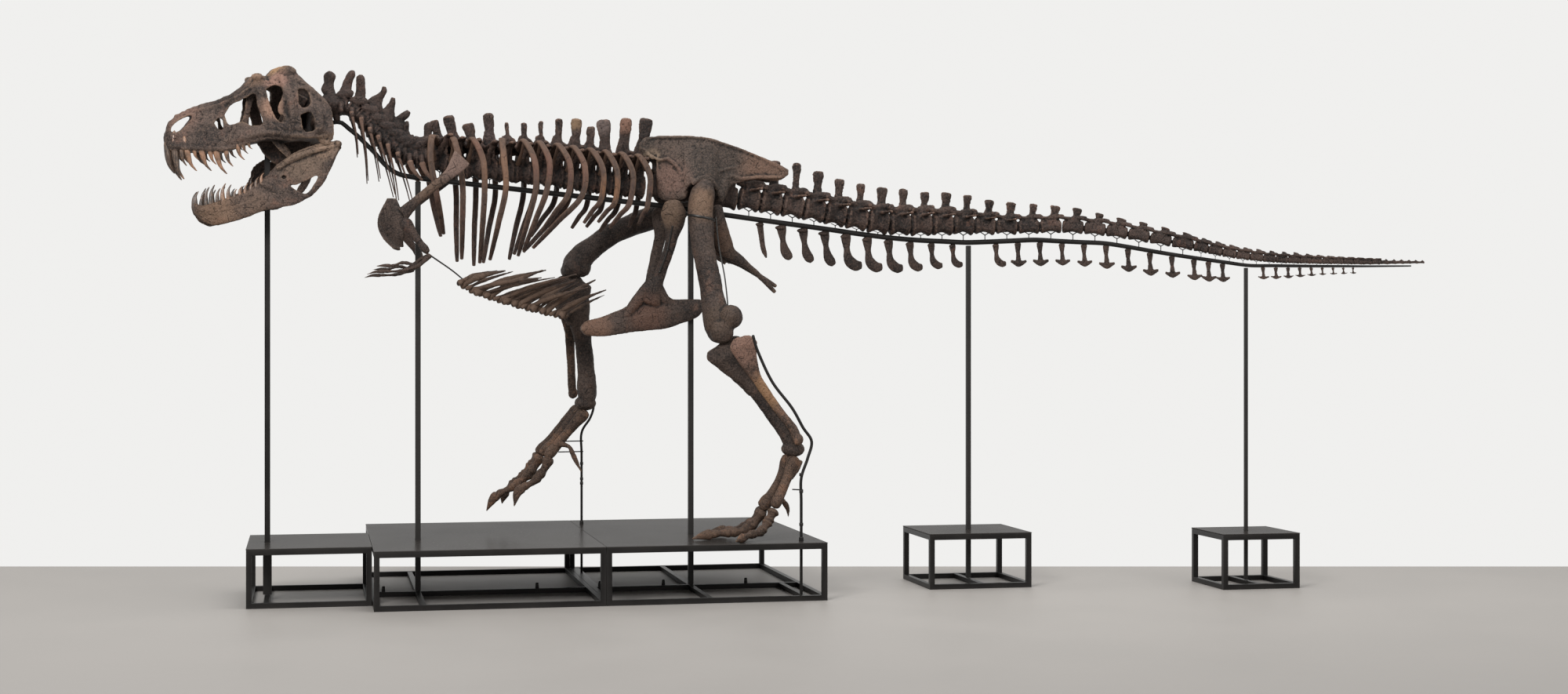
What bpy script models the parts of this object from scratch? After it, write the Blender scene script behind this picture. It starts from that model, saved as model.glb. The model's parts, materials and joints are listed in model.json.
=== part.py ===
"""A mounted Tyrannosaurus rex skeleton with its steel stand, life size, in metres.

+X runs from the snout to the tail tip, +Z is up, and the animal's left side faces -Y. The origin is on the
floor, under the middle of the whole mount. Bones are lofts: a path of points with a row of half sizes at
fractions of its length. Lengths across the body are given outwards from the plane of the spine, once for both
sides.
"""

import math

import bpy
import numpy as np

# ---------------------------------------------------------------- driving sizes
HOME = np.array((0.026, 0.0, 0.0))  # moves the whole mount so that its box is centred on the origin
SPINE_Y = -0.30  # plane of the head, back and hips
SEAM = 0.0015  # clearance left between two pieces that meet
PLINTH_TOP = 0.48
PLATE_THICK = 0.008
TUBE = 0.044  # square steel tube of the plinths
POLE = 0.045

# ---------------------------------------------------------------- the line of the spine
NECK_LINE = ((-4.060, 4.142), (-3.950, 4.105), (-3.843, 4.025), (-3.656, 3.838), (-3.468, 3.703))
BACK_LINE = ((-3.272, 3.687), (-3.082, 3.650), (-2.501, 3.640), (-1.912, 3.576), (-1.418, 3.530))
TAIL_LINE = (
    (-0.620, -0.300, 3.420), (-0.034, -0.300, 3.338), (0.375, -0.300, 3.261), (0.759, -0.300, 3.210),
    (1.103, -0.300, 3.207), (1.506, -0.308, 3.197), (1.889, -0.384, 3.168), (2.281, -0.477, 3.173),
    (2.669, -0.581, 3.137), (2.978, -0.676, 3.080), (3.335, -0.797, 3.010), (3.672, -0.924, 2.933),
    (4.028, -1.022, 2.887), (4.362, -1.087, 2.869), (4.799, -1.172, 2.854), (5.359, -1.280, 2.839),
)
BAR_NECK = (
    (-4.075, 3.972), (-3.998, 3.976), (-3.856, 3.861), (-3.720, 3.725), (-3.617, 3.602), (-3.507, 3.544),
)
BAR_BACK = ((-3.370, 3.520), (-1.315, 3.315), (-0.738, 3.241))
BAR_TAIL = (
    (-0.447, 3.203), (0.212, 3.121), (0.545, 3.076), (0.931, 3.039), (1.471, 3.020), (2.037, 3.044),
    (
        2.693, 3.010,
    ), (2.930, 2.962), (3.299, 2.895), (3.817, 2.812), (4.404, 2.806), (4.859, 2.805), (5.245, 2.808),
)

# ---------------------------------------------------------------- counts of like pieces
NECK_COUNT = 9
BACK_COUNT = 13
TAIL_COUNT = 43
LONG_TAIL_COUNT = 21  # caudals of full length, before they shorten
SPOOL_COUNT = 18  # caudals with a waist; those behind are plain rods
WING_COUNT = 15  # caudals with side processes
SPINE_COUNT = 37  # caudals with a spine
CHEVRON_COUNT = 34
BONE_SHARE = 0.62  # what is kept of a bone's triangles once its forms are joined
SKULL_SHARE = 0.52
NECK_SHARE = 1.0
TRUNK_SHARE = 0.54
TAIL_SHARE = 0.54
TAIL_CUTS = (9, 18, 27, 35)  # the tail's lengths end after these caudals

# ---------------------------------------------------------------- the skull's own frame
SKULL_AT = np.array((-4.030, SPINE_Y, 4.014))  # middle of its back
SKULL_YAW = math.radians(12.5)  # the snout is turned to the animal's left
SKULL_FORWARD = np.array((-math.cos(SKULL_YAW), -math.sin(SKULL_YAW), 0.0))
SKULL_LEFT = np.array((math.sin(SKULL_YAW), -math.cos(SKULL_YAW), 0.0))


# ================================================================ paths
def curve_through(points, fractions):
    """Points of a smooth curve through the given ones, at fractions of its length."""
    points = np.array(points, float)
    ends = np.vstack((2 * points[0] - points[1], points, 2 * points[-1] - points[-2]))
    dense = []
    steps = 12
    for i in range(len(points) - 1):
        a, b, c, d = ends[i : i + 4]
        for j in range(steps):
            t = j / steps
            dense.append(
                0.5 * (
                    2 * b + (c - a) * t + (2 * a - 5 * b + 4 * c - d) * t * t + (3 * b - a - 3 * c + d) * t**3
                )
            )
    dense = np.array(dense + [points[-1]])
    run = np.concatenate(((0.0,), np.cumsum(np.linalg.norm(np.diff(dense, axis=0), axis=1))))
    return np.array([[np.interp(f * run[-1], run, dense[:, k]) for k in range(3)] for f in fractions])


def length_of(points):
    dense = curve_through(points, np.linspace(0, 1, 200))
    return float(np.linalg.norm(np.diff(dense, axis=0), axis=1).sum())


def in_spine_plane(line):
    return [(x, SPINE_Y, z) for x, z in line]


def tail_y(x):
    """How far the tail has swung to the animal's left at x."""
    return float(np.interp(x, [p[0] for p in TAIL_LINE], [p[1] for p in TAIL_LINE]))


def sided(path, side):
    """A path given as (x, distance from the spine's plane, z), put on the left (-1) or right (+1)."""
    return [(x, SPINE_Y + side * out, z) for x, out, z in path]


def skull_point(forward, left, up):
    return SKULL_AT + forward * SKULL_FORWARD + left * SKULL_LEFT + np.array((0.0, 0.0, up))


def unit(vector):
    return np.array(vector, float) / max(np.linalg.norm(vector), 1e-12)


# ================================================================ meshes
def mesh_of(points, faces):
    """A mesh object that isn't in the render; faces are lists of point numbers, turning outwards."""
    mesh = bpy.data.meshes.new("form")
    mesh.from_pydata([tuple(np.array(p) + HOME) for p in points], [], faces)
    obj = bpy.data.objects.new("form", mesh)
    bpy.context.scene.collection.objects.link(obj)
    return obj


def skin(rings):
    """A closed mesh over rings of equal count, with flat ends."""
    count = len(rings[0])
    points = [p for ring in rings for p in ring]
    faces = [list(range(count))[::-1]]
    for i in range(len(rings) - 1):
        for j in range(count):
            k = (j + 1) % count
            faces.append([i * count + j, i * count + k, (i + 1) * count + k, (i + 1) * count + j])
    faces.append([(len(rings) - 1) * count + j for j in range(count)])
    return mesh_of(points, faces)


def tube(path, profile, sides=6, across=(0, 1, 0), turn=0.0):
    """A loft on a path: profile rows are (fraction, half size along across, half size the other way)."""
    grow = 1.0 if turn == 0 else 1 / math.cos(math.pi / sides)
    fractions = [row[0] for row in profile]
    centres = curve_through(path, fractions)
    before = curve_through(path, [max(f - 0.02, 0) for f in fractions])
    after = curve_through(path, [min(f + 0.02, 1) for f in fractions])
    rings = []
    for centre, a, b, (_, wide, deep) in zip(centres, before, after, profile):
        along = unit(b - a)
        side = unit(np.array(across, float) - np.dot(across, along) * along)
        up = np.cross(along, side)
        rings.append(
            [
                centre + grow * (math.cos(angle) * wide * side + math.sin(angle) * deep * up)
                for angle in (turn + 2 * math.pi * k / sides for k in range(sides))
            ]
        )
    return skin(rings)


def spar(points, sizes, sides=4, across=(0, 1, 0)):
    """A loft straight from point to point; sizes are (half size along across, half size the other way)."""
    points = [np.array(p, float) for p in points]
    rings = []
    for i, (centre, (wide, deep)) in enumerate(zip(points, sizes)):
        along = unit(points[min(i + 1, len(points) - 1)] - points[max(i - 1, 0)])
        side = unit(np.array(across, float) - np.dot(across, along) * along)
        up = np.cross(along, side)
        angles = [math.pi / sides + 2 * math.pi * k / sides for k in range(sides)]
        rings.append([centre + math.cos(t) * wide * side + math.sin(t) * deep * up for t in angles])
    return skin(rings)


def rod(path, half, sides=4, across=(0, 1, 0), steps=None):
    """A bar of one thickness through the points of a path."""
    count = steps or len(path)
    return tube(path, [(i / (count - 1), half, half) for i in range(count)], sides, across, math.pi / sides)


def blade(rows):
    """A flat bone: rows are (edge point, other edge point, three half thicknesses across it)."""
    rows = [(np.array(a, float), np.array(b, float), *thick) for a, b, *thick in rows]
    mids = [(a + b) / 2 for a, b, *_ in rows]
    rings = []
    for i, (a, b, thick_a, thick_mid, thick_b) in enumerate(rows):
        along = unit(mids[min(i + 1, len(rows) - 1)] - mids[max(i - 1, 0)])
        down = b - a
        out = unit(np.cross(along, down))
        near_a, near_b, mid = a + 0.14 * down, b - 0.14 * down, (a + b) / 2
        ring = [
            b, near_b + out * thick_b, near_a + out * thick_a, a, near_a - out * thick_a,
            near_b - out * thick_b,
        ]
        if thick_mid:
            ring.insert(2, mid + out * thick_mid)
            ring.insert(6, mid - out * thick_mid)
        rings.append(ring)
    return skin(rings)


def box(low, high):
    (x0, y0, z0), (x1, y1, z1) = low, high
    return skin([[(x, y1, z0), (x, y1, z1), (x, y0, z1), (x, y0, z0)] for x in (x0, x1)])


def prism(outline, start, end, place):
    """An outline in two coordinates, carried from start to end in the third; place gives the point."""
    area = sum(a[0] * b[1] - a[1] * b[0] for a, b in zip(outline, outline[1:] + outline[:1]))
    outline = list(outline) if area > 0 else list(outline)[::-1]
    rings = [[np.array(place(u, v, w)) for u, v in outline] for w in (start, end)]
    u0, v0 = outline[0]
    handed = np.cross(
        np.array(place(u0 + 1, v0, 0)) - place(u0, v0, 0), np.array(place(u0, v0 + 1, 0)) - place(u0, v0, 0),
    )
    if np.dot(handed, np.array(place(u0, v0, 1)) - place(u0, v0, 0)) * (end - start) < 0:
        rings = rings[::-1]
    return skin(rings)


# ================================================================ nodes
MATERIALS = {
    "bone": ((0.070, 0.050, 0.042), 0.6, 0.0),
    "ilium_bone": ((0.105, 0.085, 0.072), 0.6, 0.0),
    "steel": ((0.012, 0.012, 0.013), 0.4, 0.8),
    "plate": ((0.030, 0.031, 0.033), 0.18, 0.6),
}


def material(slot):
    found = bpy.data.materials.get(slot)
    if found:
        return found
    made = bpy.data.materials.new(slot)
    made.use_nodes = True
    colour, rough, metal = MATERIALS[slot]
    shader = made.node_tree.nodes["Principled BSDF"]
    shader.inputs["Base Color"].default_value = (*colour, 1.0)
    shader.inputs["Roughness"].default_value = rough
    shader.inputs["Metallic"].default_value = metal
    return made


def helper(objects, name):
    """A collection of helper forms, hidden from the render."""
    group = bpy.data.collections.new(name)
    for obj in objects:
        group.objects.link(obj)
        bpy.context.scene.collection.objects.unlink(obj)
        obj.hide_render = True
        obj.display_type = "WIRE"
    return group


def change(obj, objects, operation):
    """Joins, cuts or keeps by other forms, with one exact Boolean, and keeps the result as a mesh."""
    if not objects:
        return obj
    group = helper(objects, "forms")
    modifier = obj.modifiers.new("forms", "BOOLEAN")
    modifier.operand_type = "COLLECTION"
    modifier.collection = group
    modifier.operation = operation
    modifier.solver = "EXACT"
    bpy.context.scene.collection.children.link(group)
    graph = bpy.context.evaluated_depsgraph_get()
    result = bpy.data.meshes.new_from_object(obj.evaluated_get(graph))
    obj.modifiers.remove(modifier)
    obj.data = result
    for other in list(group.objects):
        bpy.data.objects.remove(other)
    bpy.data.collections.remove(group)
    return obj


def node(name, forms, slot="bone", cut=(), share=None):
    """One named piece: forms joined into one solid, less the cutters, thinned to a share of its triangles."""
    obj = change(forms[0], list(forms[1:]), "UNION")
    change(obj, list(cut), "DIFFERENCE")
    share = share or (BONE_SHARE if slot == "bone" and len(forms) > 1 else 1.0)
    if share < 1.0:
        thin = obj.modifiers.new("thin", "DECIMATE")
        thin.ratio = share
        thin.use_collapse_triangulate = True
        result = bpy.data.meshes.new_from_object(obj.evaluated_get(bpy.context.evaluated_depsgraph_get()))
        obj.modifiers.remove(thin)
        obj.data = result
    obj.name = name
    obj.data.name = name
    obj.data.materials.clear()
    obj.data.materials.append(material(slot))
    return obj


# ================================================================ stand
def frame_of(name, low, high, bars=()):
    """A plinth's welded frame of square tube: a block with its sides, top and floor cut open."""
    (x0, y0), (x1, y1) = low, high
    top = PLINTH_TOP - PLATE_THICK - SEAM / 2
    inside = (x0 + TUBE, x1 - TUBE), (y0 + TUBE, y1 - TUBE)
    (a, b), (c, d) = inside
    cutters = [
        box((x0 - 1, c, TUBE), (x1 + 1, d, top - TUBE)),
        box((a, y0 - 1, TUBE), (b, y1 + 1, top - TUBE)),
        box((a, c, -1), (b, d, 1)),
    ]
    obj = node(name, [box((x0, y0, 0), (x1, y1, top))], "steel", cut=cutters)
    forms = []
    for axis, at, start, end in bars:
        if axis == "x":
            forms.append(box((start, at - TUBE / 2, 0.001), (end, at + TUBE / 2, TUBE - 0.001)))
        else:
            forms.append(box((at - TUBE / 2, start, 0.002), (at + TUBE / 2, end, TUBE - 0.002)))
    return change(obj, forms, "UNION")


def plate_of(name, low, high, holes=()):
    """The thin sheet that closes a plinth's top, with a square hole round each pole."""
    sheet = box((low[0], low[1], PLINTH_TOP - PLATE_THICK), (high[0], high[1], PLINTH_TOP))
    cutters = [box((x - h, y - h, 0.3), (x + h, y + h, 0.6)) for x, y, h in holes]
    return node(name, [sheet], "plate", cut=cutters)


def pole_of(name, x, y, top, half, socket=0.0):
    forms = [box((x - half, y - half, TUBE + SEAM), (x + half, y + half, top))]
    if socket:
        forms.append(
            box(
                (x - socket, y - socket, TUBE + 2 * SEAM),
                (x + socket, y + socket, PLINTH_TOP - PLATE_THICK - SEAM),
            )
        )
    return node(name, forms, "steel")


HALF_POLE = POLE / 2
POLES = {
    "head": (-4.597, SPINE_Y, HALF_POLE),
    "chest": (-3.363, SPINE_Y, HALF_POLE),
    "hip": (-1.035, SPINE_Y, HALF_POLE),
    "tail_front": (1.465, SPINE_Y, 0.020),
    "tail_rear": (3.810, -0.966, 0.015),
}
LEFT_ROD_FOOT = (-0.239, -1.120)
RIGHT_ROD_FOOT = (-1.836, 0.900)
MAIN_Y = (-1.32, 1.32)
MAIN_SEAM_X = -1.90


def build_plinths():
    """Five plinths: two long modules under the body, one under the head and two under the tail."""
    y0, y1 = MAIN_Y
    chest, hip = POLES["chest"], POLES["hip"]
    frame_of(
        "stand_front_frame", (-3.755, y0), (MAIN_SEAM_X - SEAM, y1),
        bars=[("x", SPINE_Y, -3.72, MAIN_SEAM_X - 0.02), ("y", chest[0], y0 + 0.02, y1 - 0.02)],
    )
    frame_of(
        "stand_rear_frame", (MAIN_SEAM_X + SEAM, y0), (-0.06, y1),
        bars=[
            ("x", SPINE_Y, MAIN_SEAM_X + 0.02, -0.08), ("y", hip[0], y0 + 0.02, y1 - 0.02),
            ("y", LEFT_ROD_FOOT[0], y0 + 0.02, SPINE_Y), ("y", RIGHT_ROD_FOOT[0], SPINE_Y, y1 - 0.02),
        ],
    )
    frame_of(
        "stand_head_frame", (-4.753, -0.91), (-3.760, 0.39),
        bars=[("y", POLES["head"][0], -0.89, 0.37)],
    )
    frame_of("stand_tail_front_frame", (0.98, -0.76), (1.90, 0.12), bars=[("y", 1.465, -0.74, 0.10)])
    frame_of("stand_tail_rear_frame", (3.45, -1.31), (4.16, -0.61), bars=[("y", 3.81, -1.29, -0.63)])
    gap = 0.004
    hole = {name: (x, y, half + gap) for name, (x, y, half) in POLES.items()}
    rod_holes = [(*LEFT_ROD_FOOT, 0.019), (*RIGHT_ROD_FOOT, 0.017)]
    plate_of("stand_front_plate", (-3.757, y0 - 0.002), (MAIN_SEAM_X - SEAM, y1 + 0.002), [hole["chest"]])
    plate_of(
        "stand_rear_plate", (MAIN_SEAM_X + SEAM, y0 - 0.002), (-0.058, y1 + 0.002), [hole["hip"], *rod_holes],
    )
    plate_of("stand_head_plate", (-4.755, -0.912), (-3.7595, 0.392), [hole["head"]])
    plate_of("stand_tail_front_plate", (0.978, -0.762), (1.902, 0.122), [hole["tail_front"]])
    plate_of("stand_tail_rear_plate", (3.448, -1.312), (4.162, -0.608), [hole["tail_rear"]])


def bar_half(x):
    """Half thickness of the steel under the spine, which thins along the tail."""
    return float(np.interp(x, (-4.1, -3.5, 1.5, 3.8, 5.3), (0.018, 0.0225, 0.0225, 0.016, 0.006)))


def bar_z(x):
    line = BAR_NECK + BAR_BACK + BAR_TAIL
    return float(np.interp(x, [p[0] for p in line], [p[1] for p in line]))


def build_poles():
    tops = {"head": 3.775, "chest": None, "hip": None, "tail_front": None, "tail_rear": None}
    for name, (x, y, half) in POLES.items():
        top = tops[name] or min(bar_z(x - half), bar_z(x + half)) - bar_half(x) * 1.05 - 0.004
        pole_of(f"stand_{name}_pole", x, y, top, half, socket=0.035 if name == "head" else 0.0)


def bar_of(name, start, end, pins, hung):
    """A length of the steel bar under the spine, with pins under the centra and chevrons below."""
    span = np.linspace(start, end, max(3, round((end - start) / 0.32) + 1))
    on_tail = start > -0.7
    path = [np.array((x, tail_y(x) if on_tail else SPINE_Y, bar_z(x))) for x in span]
    rings = []
    for i, p in enumerate(path):
        along = unit(path[min(i + 1, len(path) - 1)] - path[max(i - 1, 0)])
        if i in (0, len(path) - 1):
            along = unit((along[0], along[1], 0))
        half = bar_half(p[0])
        rings.append(ring_about(p, along, [(half, -half), (half, half), (-half, half), (-half, -half)]))
    forms = [skin(rings)]
    for x, y, top in pins:
        forms.append(box((x - 0.006, y - 0.006, bar_z(x)), (x + 0.006, y + 0.006, top)))
    forms += [chevron(i, joint) for i, joint in hung]
    return node(name, forms, "steel")


# ================================================================ spine
def tail_marks():
    """Ends of the caudals along the tail: full length at first, then ever shorter to the tip."""
    lengths = [1.0] * LONG_TAIL_COUNT
    short = TAIL_COUNT - LONG_TAIL_COUNT
    lengths += [0.66 - 0.37 * i / (short - 1) for i in range(short)]
    run = np.concatenate(((0.0,), np.cumsum(lengths)))
    return curve_through(TAIL_LINE, run / run[-1])


HEXAGON = ((0.95, 0.0), (0.5, 0.87), (-0.5, 0.87), (-0.95, 0.0), (-0.5, -0.87), (0.5, -0.87))


def half_section(side, seam):
    """Half a hexagon, flat against the plane of the spine."""
    outline = [(seam, -0.87), (0.5, -0.87), (0.95, 0.0), (0.5, 0.87), (seam, 0.87)]
    return outline if side > 0 else [(-a, b) for a, b in outline[::-1]]


def centra(marks, radius, waist=0.78, section=HEXAGON, waists=None, drop=None):
    """A row of spool-shaped centra as one closed loft: wide at each joint and narrow between."""
    rings = []
    last = len(marks) - 1
    if drop:
        marks = [mark - np.array((0.0, 0.0, drop(mark[0]))) for mark in marks]
    for i, mark in enumerate(marks):
        along = unit(marks[min(i + 1, last)] - marks[max(i - 1, 0)])
        stops = [(mark, radius(i))]
        if i < (last if waists is None else waists):
            stops.append(((mark + marks[i + 1]) / 2, waist * (radius(i) + radius(i + 1)) / 2))
        rings += [ring_about(centre, along, [(a * r, b * r) for a, b in section]) for centre, r in stops]
    return skin(rings)


def ring_about(centre, along, outline):
    """An outline (across, up) stood at a point, square to a direction."""
    side = unit(np.cross((0, 0, 1), along))
    up = np.cross(along, side)
    return [centre + a * side + b * up for a, b in outline]


def spine_blade(base, top, half_long, half_thick, top_long=None, side=0):
    """A neural spine: a flat post from inside the centrum to its top, or one half of it on a side."""
    rings = []
    low, high = (-half_thick, half_thick) if not side else sorted((side * SEAM / 2, side * half_thick))
    for centre, long in ((np.array(base), half_long), (np.array(top), top_long or half_long * 0.8)):
        outline = ((-long, low), (long, low), (long, high), (-long, high))
        rings.append([centre + np.array((a, b, 0)) for a, b in outline])
    return skin(rings)


def wing(centre, out, half_long, half_thick, side=0, rise=0.0, sweep=0.0):
    """The transverse processes of a vertebra: one flat bar through it, or on one side only."""
    centre = np.array(centre)
    ends = ((-1, 1.0), (1, 1.0)) if not side else ((0, 1.2), (side, 0.8))
    rings = []
    for place, scale in ends:
        seam = side * SEAM / 2 if not place else 0.0
        mid = centre + np.array((abs(place) * sweep, place * out + seam, abs(place) * rise))
        long, thick = half_long * scale, half_thick
        rings.append([
            mid + np.array((a, 0, b))
            for a, b in ((long, -thick), (long, thick), (-long, thick), (-long, -thick))
        ])
    # the outline above turns about -Y, so it runs from +Y to -Y
    return skin(rings if ends[0][0] > ends[1][0] else [ring[::-1] for ring in rings])


def neck_radius(i):
    return 0.080 + 0.030 * min(i, NECK_COUNT) / NECK_COUNT


NECK_TOPS = (
    (-4.088, 4.395), (-3.905, 4.425), (-3.835, 4.370), (-3.655, 4.262), (-3.575, 4.180),
    (-3.450, 4.080), (-3.445, 3.970), (-3.400, 3.885), (-3.262, 3.995),
)
NECK_RIB_TIPS = (
    (-3.860, 3.700), (-3.780, 3.480), (-3.680, 3.500), (-3.560, 3.370), (-3.530, 3.320), (-3.420, 3.330),
)
CERVICAL_RIB = ((0.006, 0.006), (0.026, 0.018), (0.034, 0.022), (0.026, 0.018), (0.006, 0.006))


def build_neck():
    """Nine cervicals with tall spines and, on six of them, a pair of ribs that trail down and back."""
    line = in_spine_plane(NECK_LINE + BACK_LINE[:1])
    marks = curve_through(line, np.linspace(0.015, 0.985, NECK_COUNT + 1))
    forms = [centra(marks, neck_radius, waists=0)]
    for i, (x, z) in enumerate(NECK_TOPS):
        mid = (marks[i] + marks[i + 1]) / 2
        forms.append(spine_blade(mid, (x, SPINE_Y, z), 0.040, 0.022, 0.030))
        out = 0.150 + 0.006 * i
        if not 1 <= i <= len(NECK_RIB_TIPS):
            forms.append(wing(mid + np.array((0.0, 0.0, 0.05)), out, 0.034, 0.018))
            continue
        tip_x, tip_z = NECK_RIB_TIPS[i - 1]
        root = np.array((-0.01, out, -0.06))
        tip = np.array((tip_x - mid[0], out + 0.02, tip_z - mid[2]))
        reach = [tip * (1, -1, 1), root * (1, -1, 1), (0, 0, 0.02), root, tip]
        forms.append(spar([mid + p for p in reach], CERVICAL_RIB, 3, across=(1, 0, 0)))
    return node("neck", forms, share=NECK_SHARE)


def back_radius(i):
    return 0.112 + 0.006 * i / BACK_COUNT


def back_drop(x):
    """How far the middle of the dorsal centra lies under the line of the back."""
    return float(np.interp(x, (-3.2, -3.0, -2.7, -1.4), (0.007, 0.030, 0.055, 0.068)))


def back_marks():
    line = in_spine_plane(BACK_LINE)
    return curve_through(line, np.linspace(0.012, 0.99, BACK_COUNT + 1))


# for each rib: its vertebra, x at its shoulder, where the chest is widest and at its tip, the height of its tip,
# the half width of the chest there, and how far out its tip is
RIBS = (
    (1, -3.270, -3.238, -3.161, 3.043, 0.34, 0.22), (2, -3.038, -3.018, -3.017, 2.832, 0.42, 0.30),
    (3, -2.849, -2.844, -2.871, 2.799, 0.50, 0.34), (5, -2.677, -2.674, -2.788, 2.825, 0.54, 0.36),
    (6, -2.426, -2.430, -2.560, 2.858, 0.56, 0.42), (7, -2.303, -2.340, -2.516, 2.903, 0.56, 0.44),
    (8, -2.131, -2.157, -2.368, 3.060, 0.55, 0.46), (9, -2.007, -2.045, -2.436, 2.924, 0.54, 0.42),
    (10, -1.850, -1.876, -2.013, 3.136, 0.50, 0.44), (11, -1.724, -1.751, -1.889, 3.146, 0.45, 0.40),
    (12, -1.584, -1.624, -1.782, 3.104, 0.40, 0.34), (13, -1.430, -1.462, -1.530, 3.142, 0.34, 0.30),
)


def rib_path(rib, side):
    """A rib: out from its vertebra, down round the chest, and in at its tip."""
    vertebra, shoulder, middle, tip, tip_z, wide, tip_out = rib
    marks = back_marks()
    head = (marks[vertebra - 1] + marks[vertebra]) / 2
    x, z = head[0], head[2]
    path = [
        (x + 0.01, 0.013, z + 0.11),
        (x + 0.4 * (shoulder - x), 0.45 * wide + 0.05, z + 0.15),
        (shoulder, 0.88 * wide, z - 0.03),
        (middle, wide, z - 0.24),
        (middle + 0.5 * (tip - middle), 0.94 * wide, z - 0.24 + 0.5 * (tip_z - z + 0.24)),
        (tip, tip_out, tip_z),
    ]
    return sided(path, side)


RIB_PROFILE = (
    (0.00, 0.036, 0.015), (0.22, 0.026, 0.014), (0.42, 0.022, 0.013), (0.70, 0.018, 0.012),
    (1.00, 0.011, 0.008),
)


def build_trunk():
    """The dorsal vertebrae with their ribs, parted in the plane of the spine into a left and a right half."""
    marks = back_marks()
    for side, name in ((-1, "trunk_left"), (1, "trunk_right")):
        forms = [centra(marks, back_radius, section=half_section(side, SEAM / 2 / 0.11), drop=back_drop)]
        for i in range(BACK_COUNT):
            mid = (marks[i] + marks[i + 1]) / 2
            top_z = float(np.interp(mid[0], (-3.3, -3.0, -2.3, -1.4), (3.985, 4.01, 4.02, 4.04)))
            top = (mid[0] + 0.045, SPINE_Y, top_z)
            forms.append(spine_blade((mid[0], SPINE_Y, mid[2] - 0.03), top, 0.068, 0.020, 0.058, side))
            if i + 1 not in [rib[0] for rib in RIBS]:
                forms.append(wing(
                    (mid[0] + 0.01, SPINE_Y, mid[2] + 0.12), 0.19, 0.038, 0.015, side, 0.05, 0.03,
                ))
        for rib in RIBS:
            forms.append(tube(rib_path(rib, side), RIB_PROFILE, 4, across=(1, 0, 0), turn=math.pi / 4))
        node(name, forms, share=TRUNK_SHARE)


def caudal_radius(x):
    return float(np.interp(
        x, (1.10, 1.50, 1.90, 3.00, 4.00, 4.90, 5.35), (0.111, 0.090, 0.070, 0.057, 0.037, 0.024, 0.012),
    ))


def caudal_drop(x):
    """How far the middle of a caudal lies under the line of the tail."""
    return float(np.interp(
        x, (1.10, 1.50, 1.90, 3.00, 4.00, 4.90, 5.30), (0.034, 0.027, 0.010, 0.010, 0.020, 0.012, 0.0),
    ))


def caudal_spine(i):
    return float(np.interp(
        i, (0, 2, 5, 10, 14, 18, 22, 27, 35, 43),
        (0.36, 0.35, 0.29, 0.25, 0.20, 0.15, 0.12, 0.08, 0.045, 0.018),
    ))


def chevron_drop(i):
    return float(np.interp(
        i, (0, 3, 8, 12, 18, 21, 25, 30, 43), (0.52, 0.50, 0.41, 0.35, 0.335, 0.29, 0.20, 0.135, 0.05),
    ))


def chevron_boot(i):
    """Half length of a chevron's foot: thin rods in front, boots that spread rearward behind."""
    return float(np.interp(i, (0, 9, 12, 18, 24, 34, 43), (0.016, 0.020, 0.040, 0.070, 0.065, 0.030, 0.012)))


def chevron(i, joint):
    """The chevron behind caudal i: a flat post that hangs from the steel bar and widens into its foot."""
    x, y = joint[0], joint[1]
    ahead, behind = tail_y(x + 0.1) - tail_y(x - 0.1), 0.2
    flat = unit((behind, ahead, 0))
    side = np.cross((0, 0, 1), flat)
    top = bar_z(x) - 0.5 * bar_half(x)
    bottom = min(joint[2] - chevron_drop(i), top - bar_half(x) - 0.02)
    slant = 0.20 * (top - bottom)
    boot = chevron_boot(i)
    thick = 0.5 * bar_half(x) + 0.002
    ends = [(thick, min(0.018, boot)), (0.8 * thick, boot)]
    drops = (0, 1)
    if boot > 0.035:
        ends.insert(1, (0.9 * thick, 0.016))
        drops = (0, 0.55, 1)
    grow = math.sqrt(2)
    path = [np.array((x, y, top)) + f * (slant * flat + np.array((0, 0, bottom - top))) for f in drops]
    return spar(path, [(a * grow, b * grow) for a, b in ends], 4, across=side)


def hung_chevrons(start, end):
    """Every chevron between two places along the tail, clear of the poles."""
    marks = tail_marks()
    found = []
    for i in range(CHEVRON_COUNT):
        x = marks[i + 1][0]
        near_pole = any(abs(x + 0.02 - POLES[name][0]) < 0.085 for name in ("tail_front", "tail_rear"))
        if start + 0.04 < x < end - 0.08 and not near_pole:
            found.append((i, marks[i + 1]))
    return found


def build_tail():
    """Forty-three caudals with their spines and side processes, in five lengths."""
    marks = tail_marks()
    starts = (0,) + TAIL_CUTS
    ends = TAIL_CUTS + (TAIL_COUNT,)
    for k, (first, last) in enumerate(zip(starts, ends)):
        row = marks[first : last + 1].copy()
        if first:
            row[0] += unit(row[1] - row[0]) * 0.003
        spools = max(0, min(last, SPOOL_COUNT) - first)
        forms = [centra(row, lambda i, row=row: caudal_radius(row[i][0]), waists=spools, drop=caudal_drop)]
        for i in range(first, last):
            a, b = marks[i], marks[i + 1]
            mid = (a + b) / 2
            length = np.linalg.norm(b - a)
            radius = caudal_radius(mid[0])
            height = caudal_spine(i)
            lean = 0.085 if i < 4 else 0.30 * height
            half_long = min(0.050, 0.27 * length)
            top = (mid[0] + lean, tail_y(mid[0] + lean), mid[2] + height)
            base = mid + np.array((0.1 * length, 0, 0.1 * radius))
            if i < SPINE_COUNT:
                forms.append(spine_blade(base, top, 0.33 * length, max(0.2 * radius, 0.004), half_long * 0.8))
            if i < WING_COUNT:
                out = float(np.interp(i, (0, 3, 10, WING_COUNT), (0.22, 0.20, 0.13, 0.07)))
                forms.append(wing(mid + np.array((0, 0, 0.3 * radius)), out, 0.20 * length, 0.011))
        node(f"tail_{k + 1}", forms, share=TAIL_SHARE)


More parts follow.
